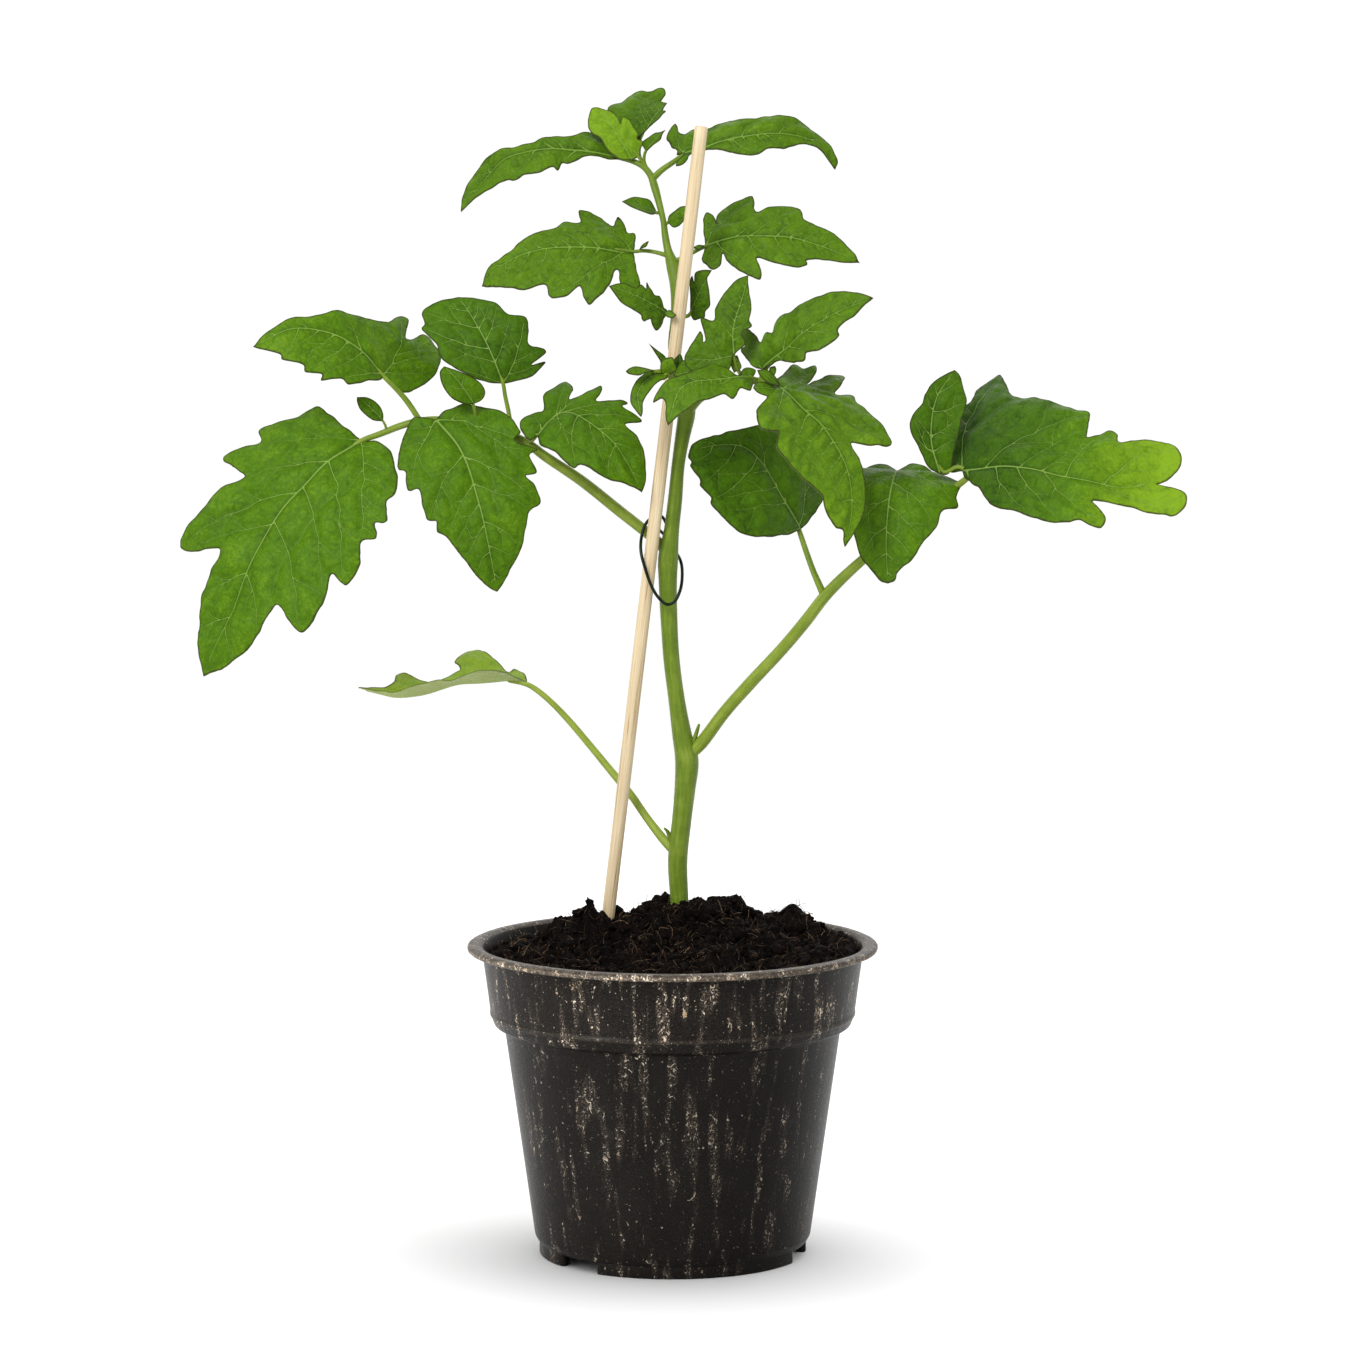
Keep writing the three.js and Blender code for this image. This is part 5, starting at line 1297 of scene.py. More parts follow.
@dataclass(frozen=True)
class StemSkin(Finish):
    """Skin of a green tomato stem: juicy and slightly waxy, streaked along its length."""

    name: str = "stem_skin"
    dark: str = "#384f0c"
    middle: str = "#566c13"
    pale: str = "#7d8d32"
    streak: float = 0.9  # width of the long streaks, in millimetres

    def lay(self, node: Node) -> None:
        """Lays out its nodes.

        Args:
            node: Adds a node to the material.
        """
        along = node("ShaderNodeAttribute", (), "Vector", attribute_name="grain")
        level = node("ShaderNodeAttribute", (), "Fac", attribute_name="tone")
        # Streaks are drawn out 11 times along the stem, over patches about 5 mm across.
        drawn = node("ShaderNodeMapping", {"Vector": along, "Scale": (1.0, 1.0, 0.09)})
        streaks = mottle(node, drawn, self.streak, -0.14, 0.14, 3.0)
        for part in (streaks, mottle(node, along, 5, -0.1, 0.1)):
            level = node("ShaderNodeMath", (level, part), operation="ADD")
        green = three_tones(node, level, (self.dark, self.middle, self.pale))
        # The skin's cells are finer than the render shows and are drawn about 0.35 mm wide.
        pores = mottle(node, along, 0.35, 0.0, 0.5)
        relief = node("ShaderNodeMath", (pores, streaks), operation="ADD")
        rough = mottle(node, along, 0.35, 0.38, 0.52)
        end_finish(node, green, relief, 0.12, roughness=rough, ior=1.4, specular=0.28)


@dataclass(frozen=True)
class PlantHair(Finish):
    """Fine glassy hairs: nearly clear, so they only catch light as a pale fuzz."""

    name: str = "plant_hair"
    root: str = "#7f9448"
    glint: str = "#b9c68e"

    def lay(self, node: Node) -> None:
        """Lays out its nodes.

        Args:
            node: Adds a node to the material.
        """
        tone = node("ShaderNodeAttribute", (), "Fac", attribute_name="tone")
        colour = laid_over(node, linear(self.root), [(tone, self.glint)])
        look = {"Base Color": colour, "Roughness": 0.4, "Specular IOR Level": 0.3}
        shader = node("ShaderNodeBsdfPrincipled", look)
        node("ShaderNodeOutputMaterial", {"Surface": shader})


@dataclass(frozen=True)
class FibreBioplastic(Finish):
    """Injection-moulded bioplastic filled with plant fibre.

    The plastic is a satin brown-black, and cut fibres lie in its skin as cream and straw flecks,
    crowded into upright streaks where the melt flowed and at the trimmed lip. The streaks are
    dusted grey, and a thin grey painted sheen lies over the whole surface, with painted light
    making the band hazier than the tapered body below it.
    """

    name: str = "fibre_filled_bioplastic"
    plastic: str = "#080605"
    worn: str = "#0d0b09"
    # The grey of the dust on the streaks, and of the thin painted sheen over the surface.
    bloom_and_sheen: str = "#554c43"
    trimmed: str = "#51483e"  # the skin at the lip
    straw: str = "#7d6549"
    cream: str = "#cdc3b2"

    # Of each kind of fibre: how far apart its curls are in millimetres, half its width as a
    # share of the noise, the level that it needs where there are no streaks, how much less
    # where they are densest, and its strength.
    FIBRES = (
        (1.4, 0.04, 0.67, 0.14, 0.55),
        (2.4, 0.026, 0.69, 0.15, 0.85),
        (4.2, 0.016, 0.7, 0.12, 0.95),
    )

    def lay(self, node: Node) -> None:
        """Lays out its nodes.

        Args:
            node: Adds a node to the material.
        """
        place = node("ShaderNodeTexCoord", (), "Object")
        lip = node("ShaderNodeAttribute", (), "Fac", attribute_name="edge")
        # Painted light and shade: the band, lit from above, is drawn hazier and with brighter
        # fibres, and the tapered body below it darker.
        height = node("ShaderNodeSeparateXYZ", {"Vector": place}, 2)
        scuffed = node("ShaderNodeMapRange", (height, 70 * MM, 77 * MM, 0.5, 1.3))
        # The flow streaks are about 5 mm wide and broken up along their length.
        flow = node("ShaderNodeMapping", {"Vector": place, "Scale": (1.0, 1.0, 0.08)})
        streak = mottle(node, flow, 3.6, -2.5, 2.1, 2.0)
        broken = mottle(node, place, 6, 0.1, 1.5)
        look = (streak, broken)
        crowd = node("ShaderNodeMath", look, operation="MULTIPLY", use_clamp=True)
        dense = node("ShaderNodeMath", (lip, 0.9, crowd), operation="MULTIPLY_ADD")
        # The grey dust on the streaks has specks of about 0.4 mm, drawn coarser than they are. A
        # thin painted sheen of the same grey is laid everywhere.
        dust = mottle(node, place, 0.4, -0.5, 1.0, 3.0)
        dust_and_sheen_share = node("ShaderNodeMath", (dense, 0.6, 0.1), operation="MULTIPLY_ADD")
        dust_and_sheen_share = node("ShaderNodeMath", (dust_and_sheen_share, scuffed), operation="MULTIPLY")
        look = (dust, dust_and_sheen_share)
        dust_and_sheen = node("ShaderNodeMath", look, operation="MULTIPLY", use_clamp=True)
        look = (lip, mottle(node, place, 1.6, 0.1, 1.0, 3.0))
        lip = node("ShaderNodeMath", look, operation="MULTIPLY")
        # Handling has worn it in patches about 9 mm across.
        worn = mottle(node, place, 9, 0.0, 1.0, 5.0)
        layers = [(worn, self.worn), (lip, self.trimmed), (dust_and_sheen, self.bloom_and_sheen)]
        colour = laid_over(node, linear(self.plastic), layers)
        proud: NodeSocket | float = 0.0
        tall = node("ShaderNodeMapping", {"Vector": place, "Scale": (1.0, 1.0, 0.6)})
        for grain, width, bare, thick, strength in self.FIBRES:
            # A fibre is a stretch of the line along which a cloud has its middle level.
            look = {"Vector": tall, "Scale": per_mm(grain), "Detail": 1.0, "Distortion": 0.6}
            cloud = node("ShaderNodeTexNoise", look)
            off = node("ShaderNodeMath", (cloud, 0.5), operation="SUBTRACT")
            off = node("ShaderNodeMath", (off,), operation="ABSOLUTE")
            line = node("ShaderNodeMapRange", (off, width * 0.4, width, 1.0, 0.0))
            least = node("ShaderNodeMath", (dense, -thick, bare), operation="MULTIPLY_ADD")
            look = {"Vector": place, "Scale": per_mm(grain * 0.6), "Detail": 2.0}
            bits = node("ShaderNodeTexNoise", look)
            over = node("ShaderNodeMath", (bits, least), operation="SUBTRACT")
            kept = node("ShaderNodeMapRange", (over, 0.0, 0.03))
            spot = node("ShaderNodeMath", (line, kept), operation="MULTIPLY")
            hue = mottle(node, place, grain * 1.6, 0.0, 1.0)
            fibre = laid_over(node, linear(self.straw), [(hue, self.cream)])
            veiled = node("ShaderNodeMath", (spot, strength), operation="MULTIPLY")
            # Painted light: the fibres show brighter on the band and dimmer on the body below it.
            look = (veiled, scuffed)
            veiled = node("ShaderNodeMath", look, operation="MULTIPLY", use_clamp=True)
            colour = laid_over(node, colour, [(veiled, fibre)])
            proud = node("ShaderNodeMath", (spot, proud), operation="MAXIMUM")
        skin = mottle(node, place, 0.5, 0.0, 0.7, 3.0)
        relief = node("ShaderNodeMath", (skin, proud), operation="ADD")
        rough = mottle(node, place, 0.5, 0.26, 0.42)
        end_finish(node, colour, relief, 0.1, roughness=rough, ior=1.47, specular=0.08)


@dataclass(frozen=True)
class Peat(Finish):
    """Damp peat compost: black-brown crumbs that hardly shine, with redder fibres."""

    name: str = "peat"
    wet: str = "#020101"
    crumb: str = "#0d0806"
    fibre: str = "#37271c"

    def lay(self, node: Node) -> None:
        """Lays out its nodes.

        Args:
            node: Adds a node to the material.
        """
        place = node("ShaderNodeTexCoord", (), "Object")
        tone = node("ShaderNodeAttribute", (), "Fac", attribute_name="tone")
        # Lumps are about 2.2 mm across, and threads and grit about 0.5 mm.
        lumps = mottle(node, place, 2.2, 0.0, 1.0, 5.0)
        # The tone holds painted shade from the soil's face: darker in its hollows, lighter on its
        # lumps.
        level = node("ShaderNodeMath", (tone, lumps), operation="MULTIPLY")
        threads = mottle(node, place, 0.5, -1.6, 0.9, 3.0)
        look = (threads, tone)
        threads = node("ShaderNodeMath", look, operation="MULTIPLY", use_clamp=True)
        layers = [(level, self.crumb), (threads, self.fibre)]
        colour = laid_over(node, linear(self.wet), layers)
        grit = mottle(node, place, 0.5, 0.0, 1.0, 3.0)
        end_finish(node, colour, grit, 0.25, roughness=0.8, specular=0.04)


@dataclass(frozen=True)
class TurnedWood(Finish):
    """Pale birch dowel: fine straight grain, cut and left raw, with a dry matt face."""

    name: str = "birch_dowel"
    pale: str = "#cfc1a3"
    middle: str = "#b19b78"
    dark: str = "#7d6243"
    grain: float = 0.5  # width of a grain line, in millimetres

    def lay(self, node: Node) -> None:
        """Lays out its nodes.

        Args:
            node: Adds a node to the material.
        """
        along = node("ShaderNodeAttribute", (), "Vector", attribute_name="grain")
        drawn = node("ShaderNodeMapping", {"Vector": along, "Scale": (1.0, 1.0, 0.02)})
        lines = mottle(node, drawn, self.grain, -0.05, 1.0, 4.0)
        # The stick is paler and darker over stretches of about 16 mm.
        broad = mottle(node, along, 16, 0.6, 1.0, 3.0)
        level = node("ShaderNodeMath", (lines, broad), operation="MULTIPLY")
        vessels = node("ShaderNodeMapRange", (lines, 0.16, 0.0, 0.0, 0.8))
        layers = [(level, self.pale), (vessels, self.dark)]
        colour = laid_over(node, linear(self.middle), layers)
        end_finish(node, colour, lines, 0.1, roughness=0.62, specular=0.25)


@dataclass(frozen=True)
class WireCoating(Finish):
    """Soft PVC drawn over garden wire: dark green, with a plastic gloss and faint draw lines."""

    name: str = "pvc_wire_coating"
    green: str = "#071406"
    scuffed: str = "#122210"

    def lay(self, node: Node) -> None:
        """Lays out its nodes.

        Args:
            node: Adds a node to the material.
        """
        along = node("ShaderNodeAttribute", (), "Vector", attribute_name="grain")
        drawn = node("ShaderNodeMapping", {"Vector": along, "Scale": (1.0, 1.0, 0.1)})
        # Scuffs are about 2 mm across, and the die's lines 0.3 mm apart and 10 times as long.
        worn = mottle(node, along, 2.0, -0.5, 1.0, 3.0)
        colour = laid_over(node, linear(self.green), [(worn, self.scuffed)])
        lines = mottle(node, drawn, 0.3, 0.0, 1.0)
        rough = mottle(node, along, 2.0, 0.22, 0.4)
        end_finish(node, colour, lines, 0.03, roughness=rough, specular=0.12)


@dataclass(frozen=True)
class WhitePaper(Finish):
    """Matt white paper for the floor: it only catches the soft shadow under the pot."""

    name: str = "white_paper"
    white: str = "#fafafa"
    roughness: float = 0.9
    relief: float = 0.03  # of its fibres, in millimetres

    def lay(self, node: Node) -> None:
        """Lays out its nodes.

        Args:
            node: Adds a node to the material.
        """
        place = node("ShaderNodeTexCoord", (), "Object")
        grain = {"Vector": place, "Scale": per_mm(1.5), "Detail": 3.0}  # 1.5 mm: its fibres
        fibre = node("ShaderNodeTexNoise", grain)
        relief = {"Height": fibre, "Distance": self.relief * MM, "Strength": 0.3}
        normal = node("ShaderNodeBump", relief)
        paper = {"Base Color": linear(self.white), "Roughness": self.roughness, "Normal": normal}
        surface = node("ShaderNodeBsdfPrincipled", paper)
        node("ShaderNodeOutputMaterial", {"Surface": surface})


# Leaves


@dataclass
class Veins:
    """The main veins of a leaflet as lines in its own plane, with their half widths."""

    paths: list[np.ndarray] = field(default_factory=list)
    widths: list[tuple[float, float]] = field(default_factory=list)

    def add(self, path: np.ndarray, widths: tuple[float, float]) -> None:
        """Adds one vein, with its half width at each end."""
        if len(path) > 1:
            self.paths.append(path)
            self.widths.append(widths)

    def near(self, flat: np.ndarray) -> tuple[np.ndarray, np.ndarray]:
        """Measures how far points are from the veins.

        Args:
            flat: Rows of (along, out).

        Returns:
            The distance to the nearest vein, and the smallest distance in half widths.
        """
        starts = np.vstack([path[:-1] for path in self.paths])
        spans = np.vstack([np.diff(path, axis=0) for path in self.paths])
        halves = np.concatenate(
            [np.linspace(a, b, len(path) - 1) for path, (a, b) in zip(self.paths, self.widths)]
        )
        rows = [
            (gaps.min(axis=1), (gaps / halves).min(axis=1))
            for gaps in from_lines(flat, starts, spans)
        ]
        return tuple(np.concatenate(column) for column in zip(*rows))

    def add_short(
        self, path: np.ndarray, widths: tuple[float, float], first: int, clear: float
    ) -> None:
        """Adds a vein that stops short of the others.

        Args:
            path: Its whole course.
            widths: Its half width at each end.
            first: How many of its samples may be near the vein that it leaves.
            clear: How far the others stay from the veins.
        """
        if len(path) > first + 2:
            free = self.near(path[first:])[0] > clear
            self.add(path[: len(path) if free.all() else first + int(np.argmin(free))], widths)


def from_lines(
    flat: np.ndarray, starts: np.ndarray, spans: np.ndarray
) -> Iterator[np.ndarray]:
    """Measures how far points are from straight lines, some points at a time.

    Args:
        flat: Rows of (along, out).
        starts: Where each line starts.
        spans: From there to its end.

    Returns:
        For some of the points, one row each with its distance from every line.
    """
    squares = np.maximum((spans**2).sum(axis=1), 1e-9)
    for rows in np.array_split(flat, max(1, len(flat) // 1500)):
        offset = rows[:, None] - starts[None]
        t = np.clip((offset * spans).sum(axis=2) / squares, 0, 1)
        yield np.linalg.norm(offset - t[..., None] * spans, axis=2)


def inside(loop: np.ndarray, flat: np.ndarray) -> np.ndarray:
    """Tells which points lie inside a closed outline.

    Args:
        loop: The outline's corners in order.
        flat: Rows of (along, out).

    Returns:
        One truth value for each point.
    """
    ends = np.roll(loop, -1, axis=0)
    crosses = (loop[:, 1] > flat[:, 1:]) != (ends[:, 1] > flat[:, 1:])
    rise = np.where(ends[:, 1] == loop[:, 1], 1e-9, ends[:, 1] - loop[:, 1])
    where = loop[:, 0] + (flat[:, 1:] - loop[:, 1]) * (ends[:, 0] - loop[:, 0]) / rise
    return (crosses & (flat[:, :1] < where)).sum(axis=1) % 2 == 1


class Blade:
    """The form of one leaflet: where it is, its outline, veins and relief."""

    THICKNESS = 0.34
    RIB_SLANT = 1.05  # how far a side rib leans forward for each millimetre it runs outwards
    FULL_LENGTH = 45  # a blade of this length or more has its full relief
    LAST_RIB = 0.94  # share of the midrib beyond which no side rib starts
    VEINED = 9  # shorter blades and side veins have no veins of their own
    LEAST_FORK, FORK_GAP = 6, 3  # shortest reach of a tooth with a branch, and between two
    TURNS = ((0.38, 0.75), (0.62, -0.8))  # of a side vein's branches: where, and radians
    # Half widths of the thinner veins at their two ends.
    BRANCH, FORK, FILLING = (0.06, 0.035), (0.07, 0.04), (0.08, 0.04)
    # In millimetres: how far the cushions sink towards a vein and the outline, and how broad
    # the small and the large waves of a blade are.
    VEIN_SINK, EDGE_SINK, RIPPLE, SWELL = 1.9, 2.2, 5.5, 12

    def __init__(self, plan: Leaflet, seed: int, quilting: float) -> None:
        """Places the leaflet and draws its outline and veins.

        Args:
            plan: The leaflet's own numbers.
            seed: Changes its small waves.
            quilting: How far the tissue bulges up between the veins.
        """
        self.plan = plan
        self.seed = seed
        self.quilting = quilting
        self.openness = 1.9 - 0.7 * quilting  # older leaves have fewer side veins
        self.base = np.array(plan.base, float)
        axis = np.array(plan.tip, float) - self.base
        self.length = float(np.linalg.norm(axis))
        self.axis = axis / self.length
        face = np.array(plan.face, float)
        face -= self.axis * (face @ self.axis)
        self.face = face / np.linalg.norm(face)
        self.side = np.cross(self.axis, self.face)
        self.size = min(1.0, self.length / self.FULL_LENGTH)
        self.step = float(np.clip(self.length / 48, 0.42, 0.85))
        self.midrib = smooth_path([(0, 0), *plan.mid, (self.length, 0)], self.step, 2)
        self.stations = lengths_along(self.midrib, 2)
        edges = []
        for corners in (plan.left, plan.right):
            knots = [(0, 0), *(corner[:2] for corner in corners), (self.length, 0)]
            edges.append(smooth_path(knots, self.step * 0.75, 2))
        self.loop = self.frayed(np.vstack([edges[0], edges[1][::-1][1:-1]]))
        self.veins = self.draw_veins()

    def frayed(self, loop: np.ndarray) -> np.ndarray:
        """Makes an outline slightly uneven, as a grown margin is.

        Args:
            loop: The smooth outline.

        Returns:
            The uneven one.
        """
        ahead = np.roll(loop, -1, axis=0) - np.roll(loop, 1, axis=0)
        ahead /= np.maximum(np.linalg.norm(ahead, axis=1), 1e-6)[:, None]
        sideways = np.column_stack([ahead[:, 1], -ahead[:, 0]])
        places = np.column_stack([loop, np.zeros(len(loop))])
        shift = 0.35 * wobble(places, 3.4, self.seed) + 0.1 * wobble(places, 1.3, 3)
        return loop + sideways * (self.size * shift)[:, None]

    def rib_start(self, corner: Point) -> float:
        """Finds where the side rib of an outline point leaves the midrib.

        Args:
            corner: The outline point, with its own start as a third number or without.

        Returns:
            The length along the midrib.
        """
        if len(corner) > 2:
            return corner[2]
        gaps = np.linalg.norm(self.midrib - np.array(corner[:2]), axis=1)
        start = self.stations[gaps.argmin()] - self.RIB_SLANT * gaps.min()
        return float(np.clip(start, 0, self.stations[-1] * self.LAST_RIB))

    def on_midrib(self, station: float) -> np.ndarray:
        """Gives the point at a length along the midrib."""
        return np.array([np.interp(station, self.stations, column) for column in self.midrib.T])

    def bowed(self, start: np.ndarray, end: np.ndarray, bow: float, clear: float) -> np.ndarray:
        """Draws a vein that leaves at a wide angle and sweeps forward, kept within the blade.

        Args:
            start: Where it leaves the larger vein.
            end: Where it points to.
            bow: How far it bends back, as a share of its length.
            clear: How far it stays from the outline.

        Returns:
            Its samples.
        """
        reach = float(np.linalg.norm(end - start))
        middle = (start + end) / 2 + np.array([-bow * reach, 0])
        count = max(3, round(reach / self.step))
        t = np.linspace(0, 1, count + 1)[:, None]
        path = (1 - t) ** 2 * start + 2 * t * (1 - t) * middle + t**2 * end
        places = np.column_stack([path, np.zeros(len(path))])
        stray = [wobble(places, 5.0, self.seed + shift) for shift in (0.2, 0.6)]
        path += self.size * np.sin(math.pi * t) * np.column_stack(stray)
        keep = inside(self.loop, path)
        keep &= self.from_edge(path) > clear
        keep[:2] = True
        stop = len(keep) if keep.all() else int(np.argmin(keep))
        return path[:stop]

    def from_edge(self, flat: np.ndarray) -> np.ndarray:
        """Measures how far points are from the outline.

        Args:
            flat: Rows of (along, out).

        Returns:
            One distance for each point.
        """
        gaps = from_lines(flat, self.loop, np.roll(self.loop, -1, axis=0) - self.loop)
        return np.concatenate([rows.min(axis=1) for rows in gaps])

    def teeth(self, corners: Route) -> list[tuple[float, float, np.ndarray]]:
        """Finds the teeth of one side of the outline.

        Args:
            corners: The outline points of that side.

        Returns:
            How far each tooth's side rib runs, where it leaves the midrib, and the tooth's tip,
            with the longest first.
        """
        knots = np.array([(0, 0), *(corner[:2] for corner in corners), (self.length, 0)], float)
        found = []
        for i, corner in enumerate(corners, 1):
            chord = knots[i + 1] - knots[i - 1]
            offset = knots[i] - knots[i - 1]
            turn = chord[0] * offset[1] - chord[1] * offset[0]
            proud = turn * (1 if corner[1] >= 0 else -1) / max(float(np.linalg.norm(chord)), 1e-6)
            start = self.rib_start(corner)
            reach = float(np.linalg.norm(knots[i] - self.on_midrib(start)))
            if proud > 0.5 and reach > 3:
                found.append((reach, start, knots[i]))
        return sorted(found, key=lambda tooth: -tooth[0])

    def draw_veins(self) -> Veins:
        """Lays the midrib, a side vein to each large tooth and a branch to each small one.

        Returns:
            The veins.
        """
        veins = Veins()
        last = int(np.searchsorted(self.stations, self.stations[-1] * self.LAST_RIB))
        veins.add(self.midrib[: last + 1], (0.05 + 0.29 * self.size, 0.08))
        if self.length < self.VEINED:
            return veins
        # An old, flat blade has its side veins further apart than a young one, and a large
        # blade has no more than about eight on a side.
        spacing = max(6.0 - 1.9 * self.quilting, self.length / 8.5)
        for corners in (self.plan.left, self.plan.right):
            taken: list[tuple[float, np.ndarray]] = []
            forks: list[int] = []
            for reach, start, tip in self.teeth(corners):
                root = self.on_midrib(start)
                if all(abs(start - other) > spacing for other, _ in taken):
                    path = self.bowed(root, root + (tip - root) * 0.9, 0.16, 1.1 * self.step)
                    stout = 0.14 * float(np.clip(reach / self.length - 0.42, 0, 1))
                    veins.add(path, (0.05 + 0.08 * self.size + stout, 0.04 + stout))
                    taken.append((start, path))
                elif taken and reach > self.LEAST_FORK:
                    _, main = min(taken, key=lambda item: abs(item[0] - start))
                    away = np.linalg.norm(main - tip, axis=1)
                    nearest = int(np.argmin(away))
                    at = max(1, nearest - int(0.8 * away[nearest] / self.step))
                    apart = all(abs(at - other) * self.step > self.FORK_GAP for other in forks)
                    if away[nearest] > self.FORK_GAP and apart:
                        path = self.bowed(main[at], main[at] + (tip - main[at]) * 0.8, 0.05, 0)
                        veins.add(path, self.FORK)
                        forks.append(at)
            starts = [start for start, _ in taken]
            out = 1 if corners[0][1] >= 0 else -1
            self.fill_veins(veins, spacing * self.openness, starts, out)
        for path in veins.paths[1:]:
            self.fork(veins, path)
        return veins

    def fork(self, veins: Veins, path: np.ndarray) -> None:
        """Adds thin branches to a side vein, which stop short of the other veins.

        Args:
            veins: The veins so far.
            path: The side vein.
        """
        reach = len(path) * self.step
        for share, turn in self.TURNS if reach >= self.VEINED else ():
            at = int(len(path) * share)
            ahead = path[at + 1] - path[at - 1]
            ahead /= max(float(np.linalg.norm(ahead)), 1e-6)
            cos, sin = math.cos(turn), math.sin(turn)
            ahead = np.array([ahead[0] * cos - ahead[1] * sin, ahead[0] * sin + ahead[1] * cos])
            branch = self.bowed(path[at], path[at] + ahead * reach * 0.4, -0.1, 1.6 * self.step)
            veins.add_short(branch, self.BRANCH, 4, 1.4 * self.step)

    def fill_veins(self, veins: Veins, spacing: float, starts: list[float], out: int) -> None:
        """Adds fainter side veins where the larger ones are far apart.

        Args:
            veins: The veins so far.
            spacing: Least length of midrib between two side veins.
            starts: Where the larger ones leave the midrib on this side.
            out: 1 for the side towards positive `out`, and -1 for the other.
        """
        for station in np.arange(0.2, 0.86, spacing * 0.8 / self.length) * self.stations[-1]:
            if any(abs(station - other) < 0.75 * spacing for other in starts):
                continue
            starts.append(station)
            root = self.on_midrib(station)
            ahead = np.array([0.72, out * 0.7])
            path = self.bowed(root, root + ahead * self.length * 0.5, 0.1, 1.6 * self.step)
            veins.add_short(path, self.FILLING, 3, 1.3 * self.step)

    def relief(
        self, flat: np.ndarray, from_vein: np.ndarray, from_edge: np.ndarray
    ) -> tuple[np.ndarray, np.ndarray]:
        """Gives the height of the blade above its own plane.

        Args:
            flat: Rows of (along, out).
            from_vein: Distance of each point from the veins.
            from_edge: Distance of each point from the outline.

        Returns:
            One height for each point, and how far it stands on a cushion, about 0 to 1.
        """
        plan = self.plan
        along, out = flat.T
        share = along / self.length
        part = np.clip(share, 0, 1) ** (math.log(0.5) / math.log(plan.peak))
        order = np.argsort(self.midrib[:, 0])
        middle = np.interp(along, self.midrib[order, 0], self.midrib[order, 1])
        away = np.abs(out - middle)
        height = plan.arch * 4 * part * (1 - part) + np.minimum(share, 0) * 2 * plan.arch
        height += plan.wave * np.sin(2 * math.pi * np.clip(share, 0, 1))
        height += plan.keel * away - plan.cup * away**2
        places = np.column_stack([along, out, np.zeros(len(flat))])
        room = (0.45 + 0.55 * self.size) * (1 - np.exp(-((from_edge / self.EDGE_SINK) ** 2)))
        fine = 0.05 + 0.35 * max(0.0, self.quilting - 0.7)
        uneven = 1 + 0.6 * wobble(places, self.RIPPLE, self.seed)
        uneven += fine * wobble(places, 2.4, self.seed + 0.5)
        cushion = (1 - np.exp(-((from_vein / self.VEIN_SINK) ** 2))) * uneven
        height += self.quilting * room * cushion
        height += 1.6 * self.size * wobble(places, self.SWELL, self.seed + 0.3)
        fringe = np.exp(-from_edge / self.EDGE_SINK)
        height += 0.6 * self.size * fringe * wobble(places, 3.8, self.seed + 0.8)
        return height, cushion

    def place(self, flat: np.ndarray, height: np.ndarray) -> np.ndarray:
        """Turns points of the blade's own plane into places on the plant.

        Args:
            flat: Rows of (along, out).
            height: Their heights towards the face.

        Returns:
            Rows of x, y and z.
        """
        span = flat[:, :1] * self.axis + flat[:, 1:] * self.side
        return self.base + span + height[:, None] * self.face

    def mesh(self) -> tuple[np.ndarray, list[tuple[int, int, int]]]:
        """Fills the outline with triangles that follow the veins.

        Returns:
            The points in the blade's plane, and the triangles seen from above.
        """
        points = [*map(tuple, self.loop)]
        edges: list[tuple[int, int]] = []
        for path in self.veins.paths:
            first = len(points)
            points += map(tuple, path)
            edges += [(i, i + 1) for i in range(first, len(points) - 1)]
        low, high = self.loop.min(axis=0), self.loop.max(axis=0)
        row = self.step * math.sqrt(0.75)
        grid = []
        for i, out in enumerate(np.arange(low[1], high[1], row)):
            start = low[0] + (self.step / 2 if i % 2 else 0)
            grid += [(along, out) for along in np.arange(start, high[0], self.step)]
        flat = np.array(grid)
        flat = flat[inside(self.loop, flat)]
        clear = self.from_edge(flat) > 0.55 * self.step
        clear &= self.veins.near(flat)[0] > 0.5 * self.step
        points += map(tuple, flat[clear])
        # A triangle whose corners all lie on veins would turn all pale, so it gets a point
        # in its middle the second time.
        for _ in range(2):
            corners = [Vector(point) for point in points]
            made = delaunay_2d_cdt(corners, edges, [[*range(len(self.loop))]], 1, 1e-4)
            flat = np.array([tuple(point) for point in made[0]])
            on_vein = self.veins.near(flat)[0] < 1e-3
            for face in made[2]:
                if on_vein[list(face)].all():
                    points.append(tuple(flat[list(face)].mean(axis=0)))
        return flat, [tuple(face)[::-1] for face in made[2]]

    def add_to(self, draft: Draft, slot: int) -> None:
        """Adds the leaflet to a mesh as a thin closed blade.

        Args:
            draft: The mesh.
            slot: The finish's number.
        """
        flat, tops = self.mesh()
        from_vein, rib = self.veins.near(flat)
        from_edge = self.from_edge(flat)
        height, cushion = self.relief(flat, from_vein, from_edge)
        half = self.THICKNESS / 2
        ridge = 0.3 * self.size * np.exp(-((rib / 3.0) ** 2)) * (from_edge > 0.3)
        faces = (height + half, height - half - ridge)
        points = np.vstack([self.place(flat, face) for face in faces])
        count = len(flat)
        used = {(t[i], t[(i + 1) % 3]) for t in tops for i in range(3)}
        rim = sorted((b, a, a + count, b + count) for a, b in used if (b, a) not in used)
        bottoms = [tuple(i + count for i in t[::-1]) for t in tops]
        share = np.clip(flat[:, 0] / self.length, 0, 1) ** 1.6
        tone = self.plan.tone[0] + (self.plan.tone[1] - self.plan.tone[0]) * share
